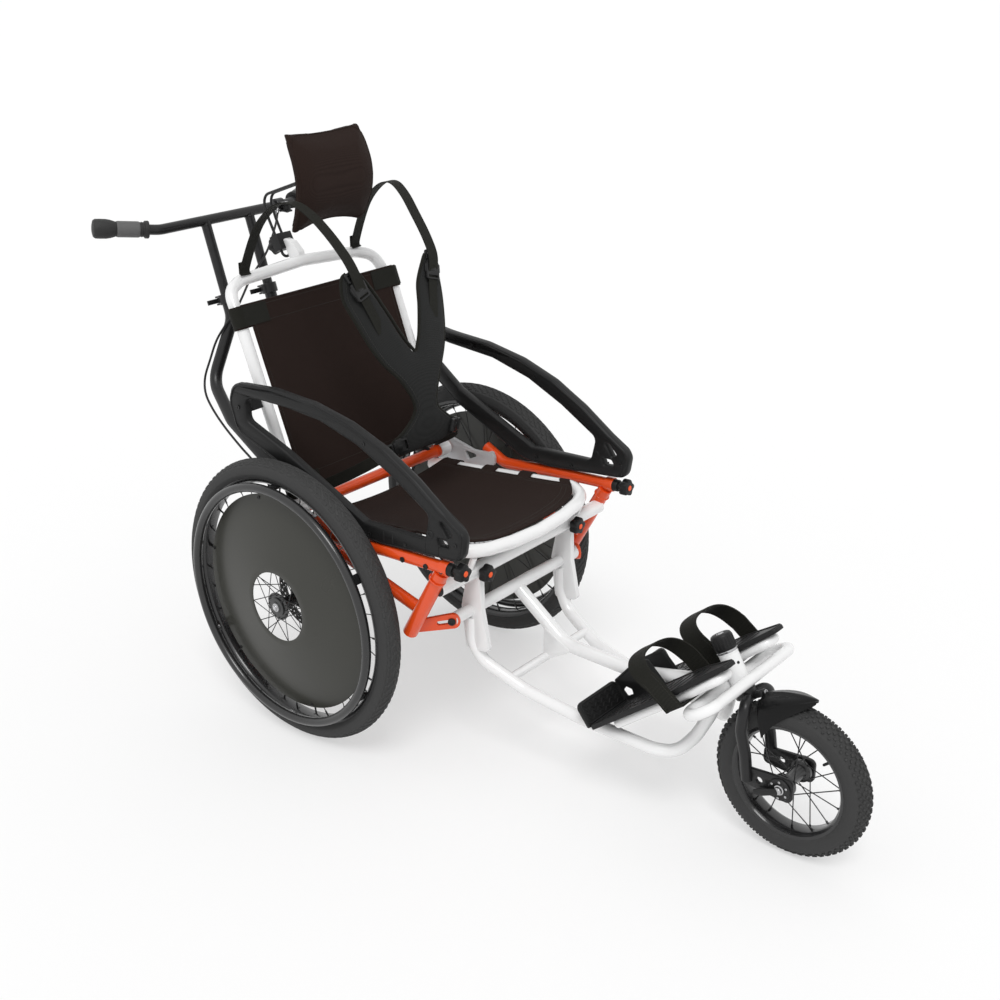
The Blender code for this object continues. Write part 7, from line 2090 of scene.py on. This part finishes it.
def strap_line(side):
    """The closed line of a foot strap, from under the loops up round the foot."""
    inner = SOLE_INNER_X - 0.0018
    outer = SOLE_OUTER_X + 0.0018
    under = -SOLE_WALL - 0.0003 - 2 * LOOP_TUBE - 0.0018
    middle = (inner + outer) / 2
    half = (outer - inner) / 2
    arch = []
    for step in range(29):
        turn = math.pi * (1 - step / 28)
        across, rise = math.cos(turn), math.sin(turn)
        arch.append((middle + half * math.copysign(abs(across) ** 0.74, across),
                     0.028 + 0.056 * rise ** 0.74))
    corners = [(inner, under, 0.004)] + arch + [(outer, under, 0.004)]
    path = rounded(corners, 0.0, closed=True, turn=math.radians(5))
    return [sole_point(side * point.x, 0.215 - 0.040 / 0.077 * max(0.0, point.y), point.y) for point in path]


def heel_wall(inner, outer):
    """The upright heel end of a footplate, with a raised rim and diagonal treads on its front."""
    wall = plate("heel", rounded([(inner, -0.0020, 0.003), (outer, -0.0020, 0.003), (outer, 0.0480, 0.013),
                                  (inner, 0.0480, 0.013)], 0.003, closed=True), SOLE_WALL, soft=0.0020)
    moved(wall, Matrix.Translation((0, 0.0004 - SOLE_WALL / 2, 0)) @ Matrix.Rotation(math.pi / 2, 4, "X"))
    edge = rounded([(inner + 0.0045, 0.0040), (outer - 0.0045, 0.0040), (outer - 0.0045, 0.0440, 0.010),
                    (inner + 0.0045, 0.0440, 0.010)], 0.003, closed=True)
    rim = pipe("rim", [Vector((point.x, 0.0004, point.y)) for point in edge], 0.0016, 8, closed=True)
    places = []
    for row in range(4):
        for column in range(11):
            spot = Matrix.Translation((inner + 0.0140 + column * (outer - inner - 0.0280) / 10, 0.0004,
                                       0.0110 + row * 0.0088))
            twist = math.radians(45 if column % 2 else -45)
            places.append(spot @ Matrix.Rotation(-math.pi / 2, 4, "X") @ Matrix.Rotation(twist, 4, "Z"))
    bars = scattered("bars", block("bar", (-0.0046, -0.0011, -0.0008), (0.0046, 0.0011, 0.0014), 0.0005, 1),
                     places)
    return [smoothed(wall, 30), smoothed(rim, 50), smoothed(bars, 30)]


def side_wall(inner):
    """The raised wall along a footplate's inner edge, beside the heel, with a hole."""
    outline = rounded([(0.0, -0.0020, 0.002), (0.1150, -0.0020, 0.002), (0.1050, 0.0580, 0.007),
                       (0.0500, 0.0580, 0.030), (0.0, 0.0470, 0.004)], 0.004, closed=True)
    hole = rounded([(0.0110, 0.0080), (0.0270, 0.0070), (0.0300, 0.0170), (0.0200, 0.0260), (0.0090, 0.0220)],
                   0.003, closed=True)
    wall = plate("side_wall", outline, SIDE_WALL, [hole], 0.0010)
    edge = [Vector((point.x, point.y, 0)) for point in
            rounded([(0.0040, 0.0005), (0.1110, 0.0005), (0.1015, 0.0545, 0.006), (0.0500, 0.0545, 0.028),
                     (0.0040, 0.0440, 0.004)], 0.003, closed=True)]
    rims = [moved(pipe("edge", edge, 0.0012, 8, closed=True),
                  Matrix.Translation((0, 0, side * SIDE_WALL / 2)))
            for side in (1, -1)]
    return moved(joined("side_wall", [wall] + rims),
                 frame_of((0, 1, 0), (0, 0, 1), (inner + SIDE_WALL / 2, 0, 0)))


class WHEELCHAIR_OT_footrest(bpy.types.Operator):
    """Makes the footrest's loops, carrier, footplates with their treads, and foot straps"""

    bl_idname = "wheelchair.footrest"
    bl_label = "Footrest"

    def execute(self, context):
        depth = -SOLE_WALL - 0.0003 - LOOP_TUBE
        pieces = []
        for side in (RIGHT, LEFT):
            corners = [(0.042, 0.045), (0.042, 0.205), (0.066, 0.300), (0.100, 0.300), (0.119, 0.205),
                       (0.119, 0.045)]
            path = rounded([sole_point(side * x, length, depth) for x, length in corners], 0.016)
            pieces.append(smoothed(pipe("loop", path, LOOP_TUBE, 24)))
        pieces.append(smoothed(pipe("bar",
                                    [sole_point(-0.119, 0.182, depth), sole_point(0.119, 0.182, depth)],
                                    LOOP_TUBE, 24)))
        foot = sole_point(0, 0.182, depth)
        clamp = block("clamp", (-0.0175, foot.y - 0.017, foot.z - 0.045), (0.0175, foot.y + 0.017, foot.z),
                      0.0030, 3)
        pieces.append(smoothed(clamp, 30))
        web = on_sole(block("web", (-0.010, 0.172, depth), (0.010, 0.192, -SOLE_WALL + 0.001), 0.0015))
        pieces.append(smoothed(web, 30))
        dressed(joined("footrest_tubes", pieces), "white", "footrest_frame")
        spine = plate("spine",
                      rounded([(-0.018, 0.097), (0.018, 0.097), (0.018, 0.194), (-0.018, 0.194)], 0.006,
                              closed=True), 0.0080,
                      [ring_points((0.0, y), 0.0034, 20) for y in (0.112, 0.140, 0.168)], 0.0012)
        settle(smoothed(on_sole(moved(spine, Matrix.Translation((0, 0, -0.0040)))), 30), "grey",
               "footrest_frame")
        screws = [Matrix.Translation((side * 0.0115, y, 0.0)) for side in (RIGHT, LEFT)
                  for y in (0.126, 0.184)]
        settle(on_sole(scattered("spine_screws", bolt("screw", 0.0030, 0.0016), screws)), "steel",
               "footrest_frame")
        clamp_screws = [along(ACROSS, (0.0175, foot.y + shift, foot.z - 0.034)) for shift in (-0.009, 0.009)]
        clamp_screws += [along(-ACROSS, (-0.0175, foot.y + shift, foot.z - 0.034))
                         for shift in (-0.009, 0.009)]
        settle(scattered("clamp_screws", bolt("screw", 0.0036, 0.0022), clamp_screws), "steel",
               "footrest_frame")

        inner, outer = SOLE_INNER_X, SOLE_OUTER_X
        middle = (inner + outer) / 2
        outline = rounded([(inner, 0.0, 0.006), (outer, 0.0, 0.006), (outer, 0.205, 0.10),
                           (middle + 0.014, SOLE_LENGTH, 0.010), (middle - 0.014, SOLE_LENGTH, 0.010),
                           (inner, 0.225, 0.10)], 0.006, closed=True, turn=math.radians(5))
        sole = plate("sole", outline, SOLE_WALL, [ring_points((middle, 0.085), 0.011, 6)], 0.0012)
        pieces = [smoothed(moved(sole, Matrix.Translation((0, 0, -SOLE_WALL / 2))), 30)]
        centre = Vector((middle, 0.14, 0))
        ridge = []
        for point in outline:
            ridge.append(point + (centre - point).normalized() * 0.0042)
        pieces.append(smoothed(pipe("rim", ridge, 0.0022, 10, closed=True), 50))
        pieces += heel_wall(inner, outer)
        pieces.append(smoothed(side_wall(inner), 30))
        treads = []
        for row in range(9):
            for column in range(6):
                x = inner + 0.017 + column * (outer - inner - 0.034) / 5
                y = 0.020 + row * 0.0105
                if math.hypot(x - middle, y - 0.085) < 0.020:
                    continue
                twist = math.radians(45 if (row + column) % 2 else -45)
                treads.append(Matrix.Translation((x, y, 0.0)) @ Matrix.Rotation(twist, 4, "Z"))
        pieces.append(smoothed(scattered("treads",
                                         block("bar", (-0.0048, -0.0010, -0.0008), (0.0048, 0.0010, 0.0013),
                                               0.0005, 1), treads), 30))
        grooves = []
        for row in range(7):
            y = 0.130 + row * 0.022
            spread = 0.0415 if y < 0.22 else 0.0415 * (SOLE_LENGTH - 0.006 - y) / (SOLE_LENGTH - 0.006 - 0.22)
            grooves.append(Matrix.Translation((middle, y, 0.0)) @ Matrix.Diagonal((spread / 0.0415, 1, 1, 1)))
        pieces.append(smoothed(scattered("ribs",
                                         block("rib", (-0.0415, -0.0012, -0.0008), (0.0415, 0.0012, 0.0011),
                                               0.0005, 1), grooves), 30))
        paired(on_sole(joined("sole", pieces)), "foot_plate", "plastic", "footplate_{}", stands=True)

        for word, side in SIDES.items():
            line = strap_line(side)
            closed = line + [line[0]]
            strap = ribbon(f"foot_webbing_{word}", closed, SOLE_DIRECTION, 0.042, 0.0030, 8)
            dressed(strap, "webbing", f"foot_strap_{word}")
            rows = []
            for shift in (-0.0165, 0.0165):
                rows.append([point + SOLE_DIRECTION * shift for point in line])
            top_middle = sum(line, Vector()) / len(line)
            sewing = [stitches(f"foot_stitch_{index}", row, 0.0016,
                               lambda point: (point - top_middle).normalized())
                      for index, row in enumerate(rows)]
            settle(joined(f"foot_strap_stitches_{word}", sewing), "thread", f"foot_strap_{word}")
        return {"FINISHED"}


# Harness

VEST_LEVELS = [
    (0.955, 0.098, 0.122, -0.036), (0.944, 0.088, 0.133, -0.037), (0.905, 0.062, 0.135, -0.043),
    (0.862, 0.044, 0.124, -0.060), (0.812, 0.022, 0.107, -0.077), (0.775, 0.000, 0.088, -0.089),
    (0.735, 0.000, 0.057, -0.102), (0.690, 0.000, 0.034, -0.110), (0.662, 0.000, 0.034, -0.112),
    (0.634, 0.000, 0.062, -0.114), (0.608, 0.000, 0.098, -0.112), (0.590, 0.000, 0.092, -0.108),
    (0.578, 0.000, 0.056, -0.100),
]
WEBBING_ROUTE = [
    (0.0990, -0.0455, 0.9080), (0.1097, -0.0400, 0.9470), (0.1145, -0.0190, 0.9840), (0.122, 0.0200, 1.0280),
    (0.132, 0.0600, 1.0640), (0.141, 0.1000, 1.0810), (0.147, 0.1450, 1.0680), (0.152, 0.1950, 1.0200),
    (0.157, 0.2380, 0.9340), (0.158, 0.2345, 0.9200),
]
VEST_CURVE = 0.9


def vest_level(share):
    """Height, inner edge, outer edge and depth of the chest piece at a share from its top to its foot."""
    place = share * (len(VEST_LEVELS) - 1)
    index = min(int(place), len(VEST_LEVELS) - 2)
    t = place - index
    before = VEST_LEVELS[max(0, index - 1)]
    first, second = VEST_LEVELS[index], VEST_LEVELS[index + 1]
    after = VEST_LEVELS[min(len(VEST_LEVELS) - 1, index + 2)]
    values = []
    for a, b, c, d in zip(before, first, second, after):
        values.append(0.5 * (2 * b + (c - a) * t + (2 * a - 5 * b + 4 * c - d) * t * t
                             + (3 * b - a - 3 * c + d) * t ** 3))
    return values[0], max(0.0, values[1]), values[2], values[3]


def vest_point(across, share, lift=0.0):
    """A point of the chest piece's middle surface: across 0 at its inner edge, 1 at its outer edge."""
    height, inner, outer, depth = vest_level(share)
    x = inner + (outer - inner) * across
    return Vector((x, depth + VEST_CURVE * x * x - lift, height))


# How much larger the shoulders' buckles are than the waist's
SHOULDER_BUCKLE = 1.25


def lying(origin, heading, facing):
    """The matrix of a piece at the origin, with +Y along the heading and +Z facing out."""
    turn = Matrix((heading.cross(facing), heading, facing)).transposed().to_4x4()
    return Matrix.Translation(origin) @ turn


def buckle(name):
    """A side-release buckle about Z: its length along Y, its face towards +Z."""
    body = plate("body", rounded([(-0.0145, -0.020), (0.0145, -0.020), (0.0155, 0.004), (0.0120, 0.012),
                                  (-0.0120, 0.012), (-0.0155, 0.004)], 0.0035, closed=True), 0.0080,
                 [rounded([(-0.0105, -0.0165), (0.0105, -0.0165), (0.0105, -0.0135), (-0.0105, -0.0135)],
                          0.0008,
                          closed=True)], 0.0016)
    latch = plate("latch", rounded([(-0.0135, 0.0125), (0.0135, 0.0125), (0.0135, 0.0290), (-0.0135, 0.0290)],
                                   0.0028, closed=True), 0.0066,
                  [rounded([(-0.0105, 0.0170), (0.0105, 0.0170), (0.0105, 0.0195), (-0.0105, 0.0195)], 0.0008,
                           closed=True),
                   rounded([(-0.0105, 0.0225), (0.0105, 0.0225), (0.0105, 0.0250), (-0.0105, 0.0250)], 0.0008,
                           closed=True)], 0.0014)
    pads = [body, latch]
    for side in (RIGHT, LEFT):
        pads.append(block("prong", (side * 0.0150 - 0.0022, -0.0080, -0.0030),
                          (side * 0.0150 + 0.0022, 0.0060, 0.0030),
                          0.0012))
    pads.append(block("rib", (-0.0060, -0.0060, 0.0030), (0.0060, 0.0050, 0.0048), 0.0008))
    return smoothed(joined(name, pads), 40)


class WHEELCHAIR_OT_harness(bpy.types.Operator):
    """Makes the padded chest piece, the shoulder webbing, the lap straps and their buckles"""

    bl_idname = "wheelchair.harness"
    bl_label = "Harness"

    def execute(self, context):
        def place(u, v):
            side = 2 * u - 1
            point = vest_point(abs(side), v)
            return Vector((math.copysign(point.x, side), point.y, point.z))

        front = grid("vest_cloth", 30, 90, place, (0.24, 0.38),
                     lambda u, v: v * (len(VEST_LEVELS) - 1) < 4.75 and abs(2 * u - 1) < 1 / 30)
        clean(front)
        modified(front, "SOLIDIFY", thickness=0.0078, offset=0.0)
        clean(front)
        puffed(front, 0.0030, 2.2, 12.0, 10)
        dressed(front, "vest", "harness_vest")

        edges = []
        count = 96
        split = 4.85 / (len(VEST_LEVELS) - 1)
        for side in (RIGHT, LEFT):
            line = []
            for step in range(count + 1):
                point = vest_point(1.0, step / count)
                line.append(Vector((side * (point.x + 0.0004), point.y, point.z)))
            edges.append(line)
            inner = []
            for step in range(41):
                point = vest_point(0.0, split * step / 40)
                inner.append(Vector((side * max(0.001, point.x - 0.0004), point.y, point.z)))
            edges.append(inner)
        bindings = [smoothed(pipe("binding", line, 0.0034, 10)) for line in edges]
        settle(joined("vest_binding", bindings), "webbing", "harness_vest")
        lines = []
        for side in (RIGHT, LEFT):
            line = []
            for step in range(4, count - 3):
                share = step / count
                point = vest_point(1.0, share)
                x = point.x - 0.0065
                line.append(Vector((side * x, vest_level(share)[3] + VEST_CURVE * x * x - 0.0052, point.z)))
            lines.append(line)
        sewn("vest_stitches", lines, Vector((0, -1, 0)), 0.0008, "harness_vest")

        for word, side in SIDES.items():
            route = [Vector((side * x, y, z)) for x, y, z in WEBBING_ROUTE]
            band_piece = ribbon(f"shoulder_strap_{word}", flowing(route, 0.0060), ACROSS, 0.0255, 0.0018)
            dressed(band_piece, "webbing", f"shoulder_webbing_{word}")
            fold = ribbon(f"strap_fold_{word}",
                          [route[8] + Vector((0, 0.0035, 0.012 - 0.004 * step)) for step in
                           range(7)], ACROSS, 0.0265, 0.0018)
            settle(fold, "webbing", f"shoulder_webbing_{word}")
            upper = vest_point(0.5, 0.125, 0.0095)
            lower = vest_point(0.5, 0.245, 0.0085)
            upper.x, lower.x = side * upper.x, side * lower.x
            heading = (upper - lower).normalized()
            facing = ACROSS.cross(heading)
            if facing.y > 0:
                facing = -facing
            clip = moved(buckle(f"shoulder_buckle_{word}"),
                         lying(upper, heading, facing) @ Matrix.Scale(SHOULDER_BUCKLE, 4))
            settle(clip, "cap", "harness_vest")
            tail = ribbon(f"strap_tail_{word}", [upper.lerp(lower, 0.35 + 0.16 * step)
                                                 + facing * (0.0015 - 0.0006 * step) for step in range(8)],
                          ACROSS, 0.0225, 0.0016)
            settle(tail, "webbing", "harness_vest")

            low = vest_point(0.84, 0.845, 0.0075)
            low.x *= side
            outwards = Vector((side * 0.88, 0.40, -0.26)).normalized()
            face = (Vector((0, -1, 0)) - outwards * -outwards.y).normalized()
            clip = moved(buckle(f"waist_buckle_{word}"), lying(low, outwards, face))
            settle(clip, "cap", "harness_vest")
            lap = flowing([low + outwards * 0.010 + Vector((0, 0.002, 0)),
                           Vector((side * 0.124, -0.084, 0.580)),
                           Vector((side * 0.158, -0.038, 0.548)), Vector((side * 0.184, 0.016, 0.516)),
                           Vector((side * 0.200, 0.058, 0.492))], 0.006)
            strap = ribbon(f"waist_strap_{word}", lap, UP, 0.0240, 0.0018)
            settle(strap, "webbing", "harness_vest")
        return {"FINISHED"}


# Stage

FLOOR_WHITE = 0.95
FLOOR_LIFT = 0.5
FLOOR_SIZE = 60.0
ROOM_LIGHT = 0.72
WINDOW_LIGHT = 1.30
WINDOW_ANGLE = math.radians(24)
WINDOW_DIRECTION = Vector((0.50, 0.42, -1.0))


def seen_ray(tree):
    """1 for what the camera, gloss or glass sees of the backdrop, 0 for the light that it gives."""
    paths = tree.nodes.new("ShaderNodeLightPath")
    bright = maths(tree, "MAXIMUM", paths.outputs["Is Glossy Ray"], paths.outputs["Is Transmission Ray"])
    return maths(tree, "MAXIMUM", paths.outputs["Is Camera Ray"], bright)


def backdrop_material():
    """A plain pale floor, shown nearly white, with the object's shadow on it."""
    material, tree, shader, _ = empty_material("pale_floor")
    shader.inputs["Base Color"].default_value = (FLOOR_WHITE, FLOOR_WHITE, FLOOR_WHITE, 1)
    shader.inputs["Roughness"].default_value = 0.9
    shader.inputs["Specular IOR Level"].default_value = 0.0
    white = node_in(tree, "ShaderNodeEmission", [("Color", (1, 1, 1, 1)), ("Strength", 1.0)])
    mix = tree.nodes.new("ShaderNodeMixShader")
    tree.links.new(maths(tree, "MULTIPLY", seen_ray(tree), FLOOR_LIFT), mix.inputs[0])
    tree.links.new(shader.outputs[0], mix.inputs[1])
    tree.links.new(white.outputs[0], mix.inputs[2])
    tree.links.new(mix.outputs[0], tree.nodes["Material Output"].inputs["Surface"])
    return material


class WHEELCHAIR_OT_stage(bpy.types.Operator):
    """Makes the floor, the light and the camera at the photograph's viewpoint"""

    bl_idname = "wheelchair.stage"
    bl_label = "Stage"

    def execute(self, context):
        scene = context.scene
        scene.view_settings.view_transform = "Standard"
        clear_selection()
        bpy.ops.mesh.primitive_plane_add(size=FLOOR_SIZE, location=(0, 0, 0))
        floor = applied(context.object)
        floor.name = "floor"
        edit(floor)
        bpy.ops.mesh.subdivide(number_cuts=4)
        leave()
        floor.data.materials.append(backdrop_material())

        world = bpy.data.worlds.new("soft_room")
        scene.world = world
        world.use_nodes = True
        tree = world.node_tree
        ground = tree.nodes["Background"]
        ground.inputs["Color"].default_value = (1, 1, 1, 1)
        ground.inputs["Strength"].default_value = ROOM_LIGHT
        seen = tree.nodes.new("ShaderNodeBackground")
        seen.inputs["Color"].default_value = (1, 1, 1, 1)
        seen.inputs["Strength"].default_value = 1.0
        mix = tree.nodes.new("ShaderNodeMixShader")
        tree.links.new(seen_ray(tree), mix.inputs[0])
        tree.links.new(ground.outputs[0], mix.inputs[1])
        tree.links.new(seen.outputs[0], mix.inputs[2])
        tree.links.new(mix.outputs[0], tree.nodes["World Output"].inputs["Surface"])

        clear_selection()
        bpy.ops.object.light_add(type="SUN", location=(-2.0, -2.0, 4.0))
        sun = context.object
        sun.name = "window_light"
        sun.data.energy = WINDOW_LIGHT
        sun.data.angle = WINDOW_ANGLE
        sun.rotation_mode = "QUATERNION"
        sun.rotation_quaternion = WINDOW_DIRECTION.to_track_quat("-Z", "Y")

        clear_selection()
        bpy.ops.object.camera_add(location=TO_SOLIDS @ CAMERA_PLACE)
        camera = context.object
        level = Vector((math.cos(CAMERA_YAW), -math.sin(CAMERA_YAW), 0))
        forward = Vector((math.sin(CAMERA_YAW) * math.cos(CAMERA_PITCH),
                          math.cos(CAMERA_YAW) * math.cos(CAMERA_PITCH), math.sin(CAMERA_PITCH)))
        upright = level.cross(forward)
        right = level * math.cos(CAMERA_ROLL) + upright * math.sin(CAMERA_ROLL)
        top = upright * math.cos(CAMERA_ROLL) - level * math.sin(CAMERA_ROLL)
        turn = Matrix((right, top, -forward)).transposed()
        camera.rotation_mode = "QUATERNION"
        camera.rotation_quaternion = turn.to_quaternion()
        camera.data.lens = CAMERA_FOCAL
        camera.data.sensor_width = CAMERA_SENSOR
        camera.data.clip_start = NEAREST
        camera.data.clip_end = FARTHEST
        scene.camera = camera
        return {"FINISHED"}


class WHEELCHAIR_PT_panel(bpy.types.Panel):
    """The operators that build the wheelchair, in order."""

    bl_label = "Wheelchair"
    bl_idname = "WHEELCHAIR_PT_panel"
    bl_space_type = "VIEW_3D"
    bl_region_type = "UI"
    bl_category = "Wheelchair"

    def draw(self, context):
        for operator in OPERATORS:
            self.layout.operator(operator.bl_idname)
        for label, group in (("Colours", context.scene.wheelchair_colours),
                             ("Sizes", context.scene.wheelchair_sizes)):
            column = self.layout.column(heading=label)
            for name in group.bl_rna.properties.keys():
                if name not in ("rna_type", "name"):
                    column.prop(group, name)


OPERATORS = (
    WHEELCHAIR_OT_rear_frame, WHEELCHAIR_OT_front_frame, WHEELCHAIR_OT_rear_wheels, WHEELCHAIR_OT_front_wheel,
    WHEELCHAIR_OT_steering, WHEELCHAIR_OT_knobs, WHEELCHAIR_OT_seat, WHEELCHAIR_OT_backrest,
    WHEELCHAIR_OT_headrest, WHEELCHAIR_OT_guards, WHEELCHAIR_OT_push_bar, WHEELCHAIR_OT_footrest,
    WHEELCHAIR_OT_harness, WHEELCHAIR_OT_stage,
)
CLASSES = (WheelchairColours, WheelchairSizes, *OPERATORS, WHEELCHAIR_PT_panel)


def register():
    """Registers the properties, the operators and the panel."""
    for one in CLASSES:
        bpy.utils.register_class(one)
    bpy.types.Scene.wheelchair_colours = PointerProperty(type=WheelchairColours)
    bpy.types.Scene.wheelchair_sizes = PointerProperty(type=WheelchairSizes)


def unregister():
    """Removes the panel, the operators and the properties."""
    del bpy.types.Scene.wheelchair_sizes
    del bpy.types.Scene.wheelchair_colours
    for one in reversed(CLASSES):
        bpy.utils.unregister_class(one)


def main():
    """Builds every piece and the stage."""
    register()
    bpy.ops.wheelchair.rear_frame()
    bpy.ops.wheelchair.front_frame()
    bpy.ops.wheelchair.rear_wheels()
    bpy.ops.wheelchair.front_wheel()
    bpy.ops.wheelchair.steering()
    bpy.ops.wheelchair.knobs()
    bpy.ops.wheelchair.seat()
    bpy.ops.wheelchair.backrest()
    bpy.ops.wheelchair.headrest()
    bpy.ops.wheelchair.guards()
    bpy.ops.wheelchair.push_bar()
    bpy.ops.wheelchair.footrest()
    bpy.ops.wheelchair.harness()
    bpy.ops.wheelchair.stage()
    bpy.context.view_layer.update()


if __name__ == "__main__":
    main()
